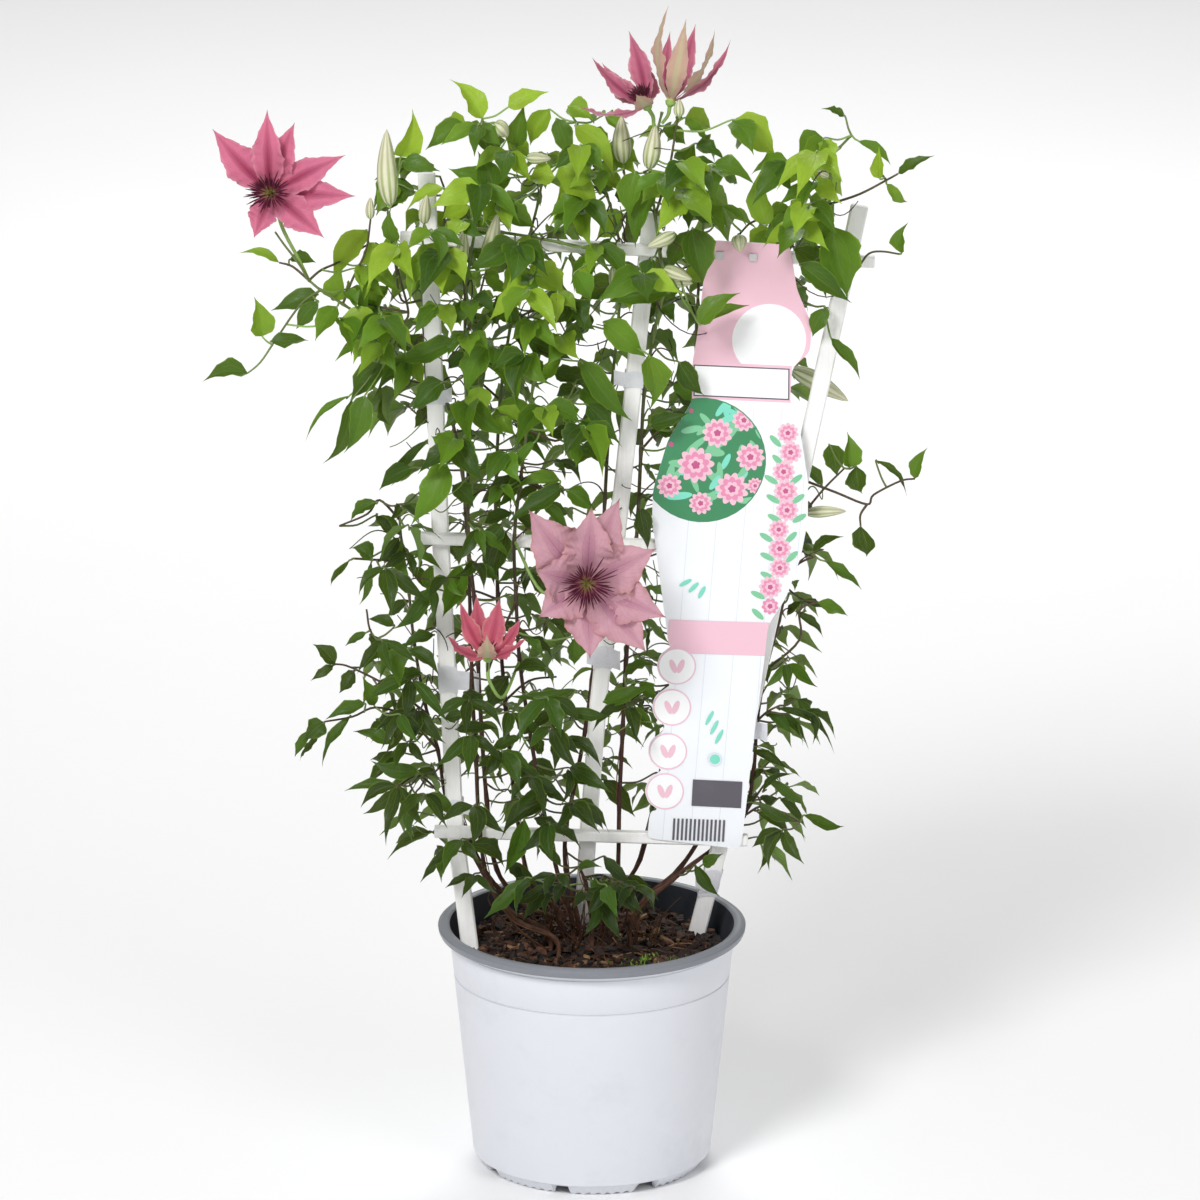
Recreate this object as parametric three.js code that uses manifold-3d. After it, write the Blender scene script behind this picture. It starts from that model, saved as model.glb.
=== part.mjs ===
// A potted clematis on a white wooden fan trellis, in millimetres, +Z up, seen from the front along +Y.
// The origin is on the pot's axis, at the level of the surface that the pot stands on.
import * as THREE from "three";
import { mergeVertices } from "three/addons/utils/BufferGeometryUtils.js";
import Module from "manifold-3d";

const wasm = await Module();
wasm.setup();

// Clearance between neighbouring pieces, and how far a joined surface may be evened out
const GAP = 0.3;
const MERGE_TOLERANCE = 0.12;

// Pot: a thin moulded wall with a rolled rim and notched feet
const POT_HEIGHT = 155;
const POT_RIM_RADIUS = 95;
const POT_RIM_WIDTH = 7.5;
const POT_RIM_DROP = 7;
const POT_TOP_RADIUS = 88;
const POT_SEAM_RADIUS = 74;
const POT_FOOT_RADIUS = 67.5;
const POT_WALL = 1.8;
const POT_SEAM_HEIGHT = 8;
const POT_GROOVE_HEIGHT = 122.5;
const POT_GROOVE_DEPTH = 0.6;
const POT_FLOOR_UNDERSIDE = 5.6;
const POT_FLOOR_TOP = 8.4;
const POT_PAD_RADIUS = 13;
const POT_SIDES = 28;
const POT_NOTCHES = 8;
const POT_NOTCH_WIDTH = 13;
const POT_NOTCH_HEIGHT = 5;

// Soil: a filled cone with a lumpy top
const SOIL_TOP = 139;
const SOIL_LUMP = 4.5;
const SOIL_RINGS = 5;
const SOIL_SIDES = 20;
const SOIL_MOUND = 3;
const ROOTING_DEPTH = 11;

// Trellis: three uprights behind three crossbars
const UPRIGHT_WIDTH = 10.5;
const UPRIGHT_DEPTH = 6;
const UPRIGHT_Y = 10;
const RAIL_HEIGHT = 7;
const RAIL_DEPTH = 6.7;
const RAIL_Y = 3.35;
const UPRIGHTS = {
  left: [[-74.5, -11, 126], [-75, -10, 139], [-84, UPRIGHT_Y, 207], [-92, UPRIGHT_Y, 396],
    [-99, UPRIGHT_Y, 624]],
  middle: [[-6.5, 27, 126], [-6, 25, 139], [-2.5, UPRIGHT_Y, 207], [4, UPRIGHT_Y, 293],
    [23, UPRIGHT_Y, 471], [36, UPRIGHT_Y, 600]],
  right: [[62.5, 21, 126], [65, 20, 139], [80.5, UPRIGHT_Y, 207], [161, UPRIGHT_Y, 604]],
};
const RAILS = {
  bottom: [[-97, 211.5], [96, 205.9]],
  middle: [[-107, 399], [127, 391.5]],
  top: [[-115, 586], [170, 571]],
};

// Label card, pinned to the top crossbar and hanging in front of the right half
const CARD_THICKNESS = 1;
const CARD_BACK_Y = -GAP;
const CARD_OUTLINE = [
  [69.8, 585.4], [119, 582.3], [123.4, 554.6], [132.6, 533], [131.5, 516.3], [120.8, 506.3], [119.7, 485.2],
  [125.9, 467.8], [131, 436.5], [131.2, 411.4], [127.2, 388.7], [118.3, 362.2], [107.4, 345], [105.7, 326],
  [99.9, 278], [95.9, 239.6], [91.8, 201.5], [33.9, 208.6], [35.7, 225.4],
];
const CARD_LEFT_EDGE = [
  [47.7, 326], [41.5, 373.5], [36.6, 411.4], [37.1, 430.2], [46.1, 461.5], [60.6, 485.2], [60.5, 507.6],
  [64, 530],
];
const CARD_LOBES = [[44.9, 238.9], [46.7, 264.6], [49.1, 292.8], [52, 319]];
const CARD_LOBE_RADIUS = 12.6;
const CARD_LOBE_POINTS = 5;
const CARD_PIN_HOLES = [[77, 576.1], [96.8, 574.9]];
const CARD_HOLE = [93.6, 507];
const CARD_HOLE_RADIUS = 1.4;
const PIN_HEAD = 4.6;
const PIN_HEAD_THICKNESS = 1.1;
const PIN_RADIUS = 1.1;
const PIN_LENGTH = 5.2;

// Tapes that hold the stems to the uprights: place along the upright, height and flags
const TAPE_THICKNESS = 0.9;
const TAPES = [
  { name: "tape_left_lower", upright: "left", z: 226, height: 9, flags: [[1, 9, 7, -4], [-1, 7, 6, -4]] },
  { name: "tape_left_middle", upright: "left", z: 308, height: 17, flags: [[1, 14, 12, -2]] },
  { name: "tape_left_upper", upright: "left", z: 487, height: 11, flags: [[1, 5, 9, 1]] },
  {
    name: "tape_middle_lower",
    upright: "middle",
    z: 322,
    height: 14,
    flags: [[1, 5, 12, -2], [-1, 5, 11, 2]],
  },
  { name: "tape_middle_upper", upright: "middle", z: 497, height: 10, flags: [[-1, 7, 9, 2]] },
  { name: "tape_right_lower", upright: "right", z: 175, height: 18, flags: [[-1, 4, 10, 3]] },
  { name: "tape_right_middle", upright: "right", z: 276, height: 12, flags: [[1, 8, 11, -2]] },
];

// Stems, petioles and leaves
const STEM_ROOT_RADIUS = 2.3;
const STEM_TIP_RADIUS = 1.1;
const SPRIG_RADIUS = 0.95;
const SPRIG_ROOT_RADIUS = 0.65;
const SPRIG_TIP_RADIUS = 0.8;
const PETIOLE_RADIUS = 0.75;
const PETIOLE_ROOT_RADIUS = 0.42;
const LEAF_THICKNESS = 1.3;
const SLIM_LEAF_WIDTH = 9.5;
const LEAF_SHOULDER = 0.3;
const LEAF_MIDDLE = 0.4;
const LEAF_WAIST = 0.66;
const LEAF_WAIST_WIDTH = 0.62;
const LEAF_ARCH = 0.09;
const LEAF_CLEARANCE = 4.4;
const OWN_LEAF_CLEARANCE = 2.2;
const PETIOLE_CLEARANCE = 2.2;
const LEAF_SAMPLE = 4;
const DEPTH_TRIES = [0, -7, 7, -14, 14, -21, 21, -28, 28];
const GOLDEN_ANGLE = 2.39996;
const FILL_LENGTH = 36;
const FILL_WIDTH = 17;
const FILL_SLIM = 0.6;
const FILL_SLIM_BELOW = 450;
const FILL_REACH = 150;
const FILL_FRONT = 75;
const FILL_BACK = 98;

// Each stem: its route from the soil, its side sprigs, and the leaves and buds that show,
// as [base x, base z, tip x, tip z, width, depth y]
const VINES = [
  {
    name: "vine_left_outer",
    main: [
      [-27, -16, 151], [-52, -10, 166], [-67, 10, 182], [-79, 20, 202], [-90, 22, 226], [-95, 20, 259],
      [-103, 16, 292], [-109, 14, 331], [-112, 16, 362], [-116, 20, 390], [-118, 22, 415],
    ],
    sprigs: [
      [[-90, 22, 226], [-106, 4, 247], [-119, -8, 244]],
      [[-95, 20, 259], [-113, 6, 284], [-132, -6, 294], [-146, -12, 290], [-163, -16, 288]],
      [[-100, 17, 282], [-121, 24, 296], [-148, 26, 310], [-159, 24, 313]],
      [[-109, 14, 325], [-121, 2, 325], [-134, -8, 342], [-137, -8, 357]],
      [[-115, 18, 381], [-131, 0, 386], [-145, -8, 389]],
      [[-117, 22, 405], [-129, 6, 422], [-136, 0, 415], [-153, -6, 409]],
    ],
    leaves: [
      [-158, 313, -171, 326, 10, 22], [-159, 312, -173, 304, 6, 24], [-146, 310, -156, 297, 9, 20],
      [-133, 294, -140, 314, 9, -2], [-138, 299, -163, 291, 10, -14], [-147, 292, -167, 261, 7, -16],
      [-163, 288, -176, 278, 12, -18], [-171, 284, -182, 265, 6, -20], [-167, 278, -179, 260, 6, -12],
      [-120, 290, -127, 275, 12, -6], [-122, 272, -146, 280, 9, -2], [-114, 283, -115, 306, 10, -4],
      [-106, 254, -135, 262, 10, -10], [-120, 246, -152, 242, 7, -12], [-119, 241, -141, 224, 7, -4],
      [-108, 237, -116, 217, 7, 4], [-107, 237, -111, 207, 7, -6], [-120, 346, -137, 350, 8, -6],
      [-137, 343, -151, 335, 5, -10], [-135, 342, -128, 326, 8, -12], [-96, 338, -117, 330, 9, 2],
      [-104, 314, -123, 310, 9, 0], [-130, 422, -148, 409, 9, 2], [-133, 388, -147, 394, 11, -6],
      [-117, 399, -131, 384, 8, 4], [-134, 385, -142, 356, 5, 0], [-147, 388, -161, 370, 4, -8],
    ],
    buds: [
    ],
  },
  {
    name: "vine_left",
    main: [
      [-22, -26, 151], [-48, -24, 164], [-63, -16, 184], [-69, -6, 215], [-71, -4, 260], [-73, -3, 304],
      [-74, -3, 349], [-75, -4, 400], [-75, -4, 456], [-76, -4, 500], [-76, -4, 543], [-73, -6, 573],
      [-68, -10, 603], [-63, -8, 624], [-58, -4, 641],
    ],
    sprigs: [
      [[-58, -4, 641], [-64, -2, 653], [-65, -4, 660]],
      [[-58, -4, 641], [-49, 2, 639], [-46, 4, 642]],
      [[-73, -6, 573], [-91, -16, 581], [-98, -18, 579], [-101, -18, 589], [-100, -18, 599]],
      [[-76, -4, 531], [-76, -14, 551], [-77, -16, 574]],
      [[-76, -4, 524], [-68, -16, 552], [-63, -18, 571]],
    ],
    leaves: [
      [-65, 660, -84, 684, 14, -4], [-50, 666, -25, 675, 11, 0], [-45, 641, -40, 668, 12, 6],
      [-59, 641, -72, 652, 8, -10], [-61, 619, -86, 631, 14, -14], [-59, 621, -68, 643, 15, -12],
      [-82, 580, -107, 554, 19, -22], [-88, 619, -113, 603, 11, -16], [-62, 523, -75, 493, 16, -14],
      [-68, 498, -71, 476, 15, -12], [-82, 528, -123, 516, 14, -22], [-89, 503, -109, 486, 15, -22],
      [-82, 465, -97, 468, 12, -20], [-87, 452, -111, 415, 18, -22], [-84, 436, -71, 422, 12, -12],
      [-79, 385, -91, 352, 14, -16], [-78, 306, -66, 291, 13, -14], [-51, 314, -65, 286, 15, -20],
      [-78, 293, -91, 289, 8, -18], [-83, 283, -56, 283, 8, -16], [-76, 277, -78, 258, 8, -14],
      [-75, 212, -53, 196, 12, -26], [-52, 408, -60, 374, 15, -18], [-54, 414, -69, 399, 11, -14],
    ],
    buds: [
      [-100, 599, -98, 618, 7, -18], [-63, 571, -56, 606, 10, -18], [-77, 574, -76, 595, 7, -16],
      [-39, 637, -24, 637, 7, 0], [-58, 658, -50, 649, 10, -6],
    ],
  },
  {
    name: "vine_left_top",
    main: [
      [-20, 2, 153], [-41, 16, 159], [-59, 24, 180], [-65, 24, 225], [-68, 24, 270], [-70, 24, 315],
      [-72, 24, 354], [-76, 24, 392], [-79, 24, 436], [-85, 22, 468], [-92, 20, 491], [-101, 19, 510],
      [-114, -6, 524], [-133, -14, 538], [-149, -18, 550], [-162, -20, 559], [-169, -20, 565],
    ],
    sprigs: [
      [[-114, -6, 524], [-114, -10, 535], [-110, -10, 543], [-116, -12, 569], [-121, -12, 594],
        [-122, -12, 609]],
      [[-149, -18, 550], [-143, -16, 565], [-135, -14, 582], [-132, -14, 601]],
      [[-162, -20, 559], [-174, -24, 551], [-191, -26, 527]],
      [[-110, -10, 543], [-128, -4, 545], [-144, 4, 546]],
      [[-169, -20, 565], [-162, -10, 569], [-151, 0, 572], [-134, 8, 581]],
      [[-169, -21, 565], [-174, -27, 576], [-183, -33, 590], [-188, -35, 598]],
      [[-169, -20, 565], [-179, -14, 572], [-187, -12, 574]],
    ],
    leaves: [
      [-197, 532, -201, 557, 15, -26], [-206, 510, -233, 506, 12, -28], [-192, 530, -169, 531, 10, -30],
      [-164, 555, -193, 545, 12, -14], [-163, 554, -177, 535, 10, -28], [-152, 550, -166, 529, 13, -24],
      [-156, 552, -149, 573, 14, -12], [-187, 574, -211, 581, 6, -12], [-181, 575, -165, 573, 8, -8],
      [-135, 591, -156, 558, 15, 2], [-122, 557, -132, 537, 12, -2], [-117, 587, -121, 608, 9, -16],
      [-114, 637, -106, 667, 14, -4], [-113, 636, -90, 631, 11, -8], [-132, 527, -155, 512, 6, -8],
      [-125, 511, -146, 488, 16, -12], [-136, 495, -149, 460, 14, -16], [-144, 491, -160, 449, 9, -10],
      [-146, 490, -174, 463, 5, -4], [-104, 507, -133, 487, 14, 2], [-100, 456, -128, 429, 6, 6],
      [-109, 440, -130, 425, 11, 8], [-121, 545, -118, 521, 11, 2], [-99, 375, -96, 349, 12, 4],
    ],
    buds: [
      [-120, 608, -122, 655, 12, -12], [-132, 601, -132, 614, 5, -14], [-127, 563, -130, 579, 6, -10],
    ],
  },
  {
    name: "vine_centre_left",
    main: [
      [-12, -10, 157], [-20, -14, 186], [-27, -12, 217], [-33, -10, 249], [-39, -8, 287], [-44, -6, 324],
      [-46, -6, 362], [-47, -6, 400], [-43, -6, 438], [-39, -8, 470], [-35, -8, 498], [-28, -8, 532],
      [-21, -10, 560], [-15, -16, 578],
    ],
    sprigs: [
      [[-46, -6, 362], [-56, -22, 342], [-63, -30, 324], [-63, -34, 331]],
      [[-39, -8, 470], [-19, -14, 465], [-15, -14, 490]],
      [[-43, -6, 438], [-28, -16, 434], [-13, -18, 435]],
      [[-39, -8, 287], [-25, -16, 297], [-16, -18, 301]],
      [[-33, -10, 249], [-44, -16, 258], [-52, -20, 265]],
    ],
    leaves: [
      [-62, 511, -44, 482, 13, -6], [-57, 485, -37, 473, 9, -14], [-39, 528, -11, 514, 14, -16],
      [-18, 515, -33, 502, 8, -12], [-17, 492, -15, 475, 13, -20], [-7, 515, 25, 476, 14, -20],
      [-9, 501, 18, 491, 10, -10], [-3, 487, 16, 466, 12, -14], [-9, 473, -28, 468, 8, -20],
      [6, 457, -11, 449, 10, -12], [-34, 465, -55, 447, 7, -18], [-18, 439, -52, 416, 13, -26],
      [-15, 436, 3, 423, 11, -22], [-19, 439, -49, 436, 11, -12], [-27, 324, -49, 323, 10, -22],
      [-10, 308, -53, 305, 6, -16], [-10, 342, -10, 322, 12, -16], [-24, 296, -38, 285, 7, -22],
      [-14, 297, 12, 294, 8, -22], [-51, 264, -24, 241, 9, -20], [-19, 255, 5, 247, 7, -20],
      [-27, 239, -56, 214, 13, -18], [-41, 230, -54, 193, 11, -22], [-35, 228, -15, 216, 9, -22],
      [-37, 574, -15, 552, 18, -20], [-49, 574, -43, 544, 16, -14], [-57, 265, -71, 261, 6, -20],
    ],
    buds: [
    ],
  },
  {
    name: "vine_centre",
    main: [
      [-9, 8, 154], [-16, 14, 183], [-16, 20, 207], [-10, 24, 238], [-4, 26, 270], [0, 26, 302],
      [4, 26, 340], [6, 26, 379], [8, 26, 417], [10, 26, 455], [12, 26, 486], [15, 22, 518],
      [17, 18, 544], [18, 14, 568], [15, 10, 590], [9, 4, 612], [3, 0, 631],
    ],
    sprigs: [
      [[15, 10, 590], [22, 0, 604], [21, -4, 617], [19, -6, 630]],
      [[9, 4, 612], [-7, -2, 624], [-18, -4, 634]],
      [[3, 0, 631], [-4, -2, 647], [-9, 0, 657]],
      [[0, 26, 302], [17, 16, 293], [23, 0, 296]],
    ],
    leaves: [
      [-25, 664, -37, 640, 12, -2], [-21, 661, -12, 634, 12, -8], [-14, 666, 1, 659, 14, 4],
      [-10, 658, 15, 625, 15, -14], [-19, 635, 7, 606, 17, -18], [-22, 626, -40, 621, 17, -12],
      [-48, 623, -68, 605, 14, -6], [-52, 608, -33, 595, 14, -14], [-1, 652, 13, 642, 10, 2],
      [7, 538, 34, 514, 16, -14], [34, 522, 35, 485, 17, -24], [46, 559, 8, 551, 15, -18],
      [7, 297, 40, 310, 11, -4], [20, 316, 40, 324, 8, -2], [7, 238, 27, 211, 11, 4],
      [-13, 232, 13, 216, 9, 2], [7, 207, 26, 186, 9, -4], [-10, 575, 0, 556, 13, -14],
    ],
    buds: [
      [19, 630, 18, 660, 11, -6], [13, 570, 13, 551, 5, -10],
    ],
  },
  {
    name: "vine_centre_right",
    main: [
      [12, 4, 156], [16, 10, 184], [17, 14, 228], [19, 16, 273], [21, 16, 318], [25, 16, 362],
      [28, 16, 407], [30, 16, 451], [32, 16, 488], [38, 14, 526], [44, 4, 557], [41, -8, 578],
      [38, -12, 603], [35, -10, 627], [38, -8, 648], [42, -8, 665],
    ],
    sprigs: [
      [[38, -12, 603], [46, -14, 631], [50, -14, 655], [52, -14, 666]],
      [[35, -10, 627], [31, -12, 629], [34, -14, 631]],
      [[44, 4, 557], [50, -10, 566], [59, -16, 575]],
      [[30, 16, 451], [41, 6, 466], [53, -6, 478]],
    ],
    leaves: [
      [26, 631, 23, 602, 15, -18], [38, 621, 26, 583, 14, -14], [42, 632, 29, 613, 12, -20],
      [46, 626, 67, 624, 11, -12], [59, 635, 75, 633, 5, -6], [66, 609, 49, 610, 16, -14],
      [60, 598, 67, 562, 20, -24], [58, 594, 47, 566, 12, -14], [36, 580, 35, 565, 11, -20],
      [64, 541, 89, 560, 13, -18], [66, 537, 95, 548, 7, -20], [52, 513, 68, 490, 12, -12],
      [35, 472, 59, 481, 11, -6], [38, 603, 52, 596, 10, -8], [29, 421, 35, 394, 12, 6],
      [29, 306, 39, 296, 9, -8],
    ],
    buds: [
      [34, 631, 38, 658, 10, -14], [52, 666, 52, 676, 6, -14], [50, 593, 33, 586, 8, -18],
      [43, 572, 60, 566, 8, -18], [43, 558, 61, 558, 6, -20],
    ],
  },
  {
    name: "vine_right",
    main: [
      [25, -12, 160], [49, -4, 182], [77, 22, 196], [94, 24, 215], [100, 26, 244], [102, 26, 276],
      [107, 26, 308], [115, 24, 341], [121, 22, 373], [126, 18, 406], [130, 18, 431],
    ],
    sprigs: [
      [[130, 18, 431], [148, 6, 427], [167, 0, 421], [171, 0, 427], [187, 2, 435],
        [196, 4, 436]],
      [[167, 0, 421], [163, -2, 415], [163, -4, 409]],
      [[126, 18, 406], [140, 6, 428], [153, 2, 443]],
      [[121, 22, 373], [128, 10, 382], [136, 4, 387]],
      [[107, 26, 308], [127, 14, 331], [127, 10, 351], [138, 8, 357]],
      [[102, 26, 276], [108, 12, 286], [115, 8, 291]],
      [[94, 24, 215], [104, 14, 235], [110, 10, 244]],
      [[94, 24, 215], [107, 6, 227], [128, 2, 218]],
    ],
    leaves: [
      [156, 444, 155, 466, 13, 0], [144, 457, 149, 435, 13, 6], [160, 446, 164, 427, 12, -4],
      [172, 448, 194, 426, 5, 2], [196, 436, 202, 456, 8, 4], [163, 409, 167, 388, 13, -6],
      [134, 392, 153, 402, 6, 2], [142, 384, 167, 368, 8, 4], [138, 357, 157, 347, 10, 8],
      [125, 350, 143, 333, 6, 12], [113, 291, 152, 264, 6, 4], [106, 283, 135, 259, 8, 10],
      [108, 284, 124, 271, 7, 16], [99, 259, 121, 248, 6, 18], [105, 237, 124, 249, 5, 10],
      [108, 244, 131, 225, 6, 8], [102, 230, 127, 219, 7, 2], [102, 222, 123, 204, 7, 10],
      [130, 223, 156, 214, 7, 0], [63, 196, 78, 175, 8, -16], [68, 195, 80, 204, 8, -12],
      [104, 319, 108, 301, 8, 20],
    ],
    buds: [
      [130, 411, 155, 413, 7, 10],
    ],
  },
  {
    name: "vine_right_top",
    main: [
      [30, 20, 158], [55, 34, 178], [72, 42, 206], [81, 42, 245], [87, 40, 285], [93, 38, 324],
      [98, 38, 363], [104, 38, 401], [109, 38, 439], [111, 36, 477], [112, 32, 516], [115, 24, 549],
      [123, 14, 576], [134, 4, 595], [142, 0, 610], [143, 0, 623], [142, 0, 634], [148, -2, 642],
      [155, -4, 650],
    ],
    sprigs: [
      [[142, 0, 610], [125, -6, 607], [117, -8, 604]],
      [[142, 0, 607], [160, -4, 614], [176, -6, 623], [183, -6, 627]],
      [[176, -6, 623], [172, -4, 628]],
      [[123, 14, 576], [107, 6, 595], [96, 0, 596], [88, -4, 589]],
      [[123, 14, 576], [142, -8, 582], [157, -9, 570], [166, -6, 578], [174, -4, 579],
        [184, -2, 577]],
      [[115, 24, 549], [133, 12, 542], [140, 2, 544]],
    ],
    leaves: [
      [138, 607, 129, 592, 13, -10], [144, 601, 132, 582, 12, -14], [144, 597, 154, 552, 24, -16],
      [121, 583, 141, 550, 16, -12], [142, 544, 133, 525, 10, 4], [151, 662, 137, 668, 6, -6],
      [159, 647, 179, 631, 6, -6], [172, 625, 171, 645, 8, -4], [176, 621, 190, 607, 7, -6],
      [183, 627, 204, 640, 8, -6], [186, 577, 188, 596, 9, 0], [144, 525, 164, 501, 8, 6],
      [105, 596, 102, 632, 14, -8], [118, 604, 110, 586, 12, -12], [78, 608, 94, 596, 7, -8],
      [124, 577, 156, 553, 14, -22],
    ],
    buds: [
      [121, 500, 156, 479, 12, 8], [142, 624, 135, 627, 4, -2], [143, 617, 137, 612, 4, -4],
      [88, 590, 89, 580, 9, -6],
    ],
  },
  {
    name: "vine_arch",
    main: [
      [-27, 30, 146], [-57, 34, 163], [-76, 36, 195], [-87, 34, 235], [-91, 32, 287], [-93, 30, 352],
      [-96, 30, 416], [-100, 30, 479], [-102, 26, 542], [-100, 20, 578], [-89, 16, 589], [-73, 6, 591],
      [-55, 0, 590], [-37, -4, 588], [-19, -6, 585], [-1, -7, 581], [12, -7, 576], [27, -8, 570],
      [38, -11, 564],
    ],
    sprigs: [
      [[-102, 26, 542], [-115, 22, 543], [-119, 22, 568]],
      [[-89, 16, 589], [-88, 16, 609], [-91, 14, 621]],
      [[38, -11, 564], [51, -12, 557], [64, -12, 553]],
    ],
    leaves: [
      [-25, 571, 6, 574, 10, 2], [-73, 606, -90, 597, 12, 6], [-100, 570, -96, 586, 8, 16],
      [-83, 544, -79, 529, 8, 14], [-98, 474, -108, 463, 9, 20],
    ],
    buds: [
    ],
  },
  {
    name: "vine_back_left",
    main: [
      [-20, 40, 147], [-39, 52, 164], [-48, 58, 214], [-54, 58, 279], [-58, 56, 345], [-59, 54, 409],
      [-56, 52, 473], [-49, 48, 524], [-40, 42, 569], [-32, 36, 602], [-28, 30, 628],
    ],
    sprigs: [
      [[-58, 56, 345], [-76, 66, 348], [-94, 66, 342]],
      [[-56, 52, 473], [-70, 62, 483], [-87, 66, 495]],
      [[-59, 54, 409], [-44, 64, 419], [-27, 68, 425]],
      [[-54, 58, 279], [-39, 68, 289], [-22, 70, 291]],
      [[-49, 48, 524], [-32, 60, 528], [-16, 64, 522]],
    ],
    leaves: [
    ],
    buds: [
    ],
  },
  {
    name: "vine_back_right",
    main: [
      [12, 44, 150], [30, 56, 176], [42, 62, 226], [50, 62, 278], [56, 60, 344], [60, 58, 408],
      [63, 56, 472], [64, 50, 524], [66, 40, 564], [68, 30, 591], [72, 22, 607],
    ],
    sprigs: [
      [[50, 62, 278], [35, 70, 282], [24, 72, 275]],
      [[60, 58, 408], [44, 68, 412], [33, 72, 404]],
      [[60, 58, 408], [76, 66, 425], [91, 70, 424]],
      [[63, 56, 472], [47, 66, 482], [34, 68, 487]],
      [[64, 50, 524], [81, 58, 534], [98, 60, 534]],
      [[42, 62, 226], [61, 66, 218], [78, 66, 212]],
    ],
    leaves: [
    ],
    buds: [
    ],
  },
  {
    name: "basal_shoots",
    main: [
      [0, -22, 159], [-2, -26, 177], [-5, -28, 192], [-8, -28, 199],
    ],
    sprigs: [
      [[-5, -28, 192], [7, -30, 194], [15, -32, 189]],
      [[-2, -26, 177], [-16, -30, 188], [-24, -32, 190]],
    ],
    leaves: [
      [-28, 189, -49, 175, 6, -32], [-16, 191, -23, 178, 7, -34], [5, 194, 29, 180, 7, -32],
      [-1, 193, 12, 181, 7, -36], [-19, 199, -36, 214, 6, -26], [-8, 200, 6, 205, 7, -30],
    ],
    buds: [
    ],
  },
];

// How much of each stem's rule-placed leaves grow, by stem
const FILL = {
  vine_left_outer: 0.05,
  vine_left: 0.06,
  vine_left_top: 0,
  vine_centre_left: 0.06,
  vine_centre: 0.1,
  vine_centre_right: 0.1,
  vine_right: 0.06,
  vine_right_top: 0.1,
  vine_arch: 0.3,
  vine_back_left: 0.35,
  vine_back_right: 0.33,
  basal_shoots: 0.2,
};

// Blooms: centre, facing, sepal tips, the stem that carries the stalk, and the sprig point it leaves from
const SEPAL_THICKNESS = 0.9;
const SEPAL_LAYER = 0.75;
const STALK_RADIUS = 1.2;
const RECEPTACLE_BELOW = 2.6;
const RECEPTACLE_ABOVE = 1.2;
const RECEPTACLE_RADIUS = 3.4;
const STAMEN_COUNT = 7;
const STAMEN_LENGTH = 13;
const STAMEN_CORE_RADIUS = 2.4;
const BLOOMS = [
  {
    name: "bloom_left", vine: "vine_left_top", centre: [-190, -38, 622], facing: [-0.12, -0.95, 0.25],
    stalk: [[-169, -20, 565], [-174, -26, 578], [-184, -31, 600]], width: 18, arch: 0.05, spread: 0.75,
    tips: [[-224, -42, 662], [-191, -48, 675], [-175, -42, 666], [-145, -46, 647], [-139, -50, 623],
      [-158, -52, 598], [-200, -48, 597]],
    colour: 0xc9627f,
  },
  {
    name: "bloom_front", vine: "vine_centre_left", centre: [-3, -44, 384], facing: [0.05, -0.98, 0.15],
    stalk: [[-47, -6, 400], [-30, -22, 372], [-8, -32, 376]], width: 27, arch: 0.06, spread: 0.8,
    tips: [[-38, -52, 432], [0, -56, 435], [17, -48, 438], [39, -50, 407], [45, -54, 365], [33, -54, 343],
      [-1, -54, 339], [-32, -58, 366], [-34, -60, 396]],
    colour: 0xb9738a,
  },
  {
    name: "bloom_low", vine: "vine_centre_left", centre: [-63, -34, 334], facing: [0, -0.35, 0.94],
    stalk: [[-44, -6, 324], [-54, -24, 306], [-62, -31, 318]], width: 12, arch: -0.14, spread: 0.3,
    tips: [[-88, -42, 352], [-80, -22, 367], [-70, -14, 369], [-56, -16, 367], [-43, -28, 358],
      [-39, -44, 350], [-63, -58, 356]],
    colour: 0xc5556f,
  },
  {
    name: "bloom_top_left", vine: "vine_centre_right", centre: [33, -10, 669], facing: [-0.45, -0.2, 0.87],
    stalk: [[38, -8, 648], [37, -9, 657]], width: 12, arch: -0.12, spread: 0.4,
    tips: [[-11, -22, 673], [0, -6, 698], [6, 12, 691], [22, 4, 712], [33, 16, 690], [26, -38, 682]],
    colour: 0xb4566c,
  },
  {
    name: "bloom_top_right", vine: "vine_centre_right", centre: [47, -8, 671], facing: [0.18, 0, 0.98],
    stalk: [[42, -8, 658]], width: 12, arch: -0.14, spread: 0.22,
    tips: [[46, -14, 731], [56, -24, 725], [62, 10, 715], [73, -16, 717], [83, 4, 707], [47, 18, 709]],
    colour: 0xb87f86,
  },
];

const COLOURS = {
  pot: 0xe9eaec,
  soil: 0x3a2219,
  wood: 0xeeebe4,
  tape: 0xeef0f2,
  card: 0xf0c6d6,
  pin: 0xe4e4e6,
  leaf: 0x3f7a2b,
  stamen: 0x6b1838,
};

const vector = (p) => new THREE.Vector3(p[0], p[1], p[2]);

// A repeatable draw between 0 and 1 from two numbers
function noise(a, b) {
  const v = Math.sin(a * 12.9898 + b * 78.233) * 43758.5453;
  return v - Math.floor(v);
}

// A closed solid from points and triangles, turned so that its faces point out
function solidOf(points, triangles) {
  const vertProperties = new Float32Array(points.flatMap((p) => [p.x, p.y, p.z]));
  const triVerts = new Uint32Array(triangles.flat());
  const made = new wasm.Manifold(new wasm.Mesh({ numProp: 3, vertProperties, triVerts }));
  if (made.volume() >= 0) return made;
  const turned = new Uint32Array(triangles.flatMap(([a, b, c]) => [a, c, b]));
  return new wasm.Manifold(new wasm.Mesh({ numProp: 3, vertProperties, triVerts: turned }));
}

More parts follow.
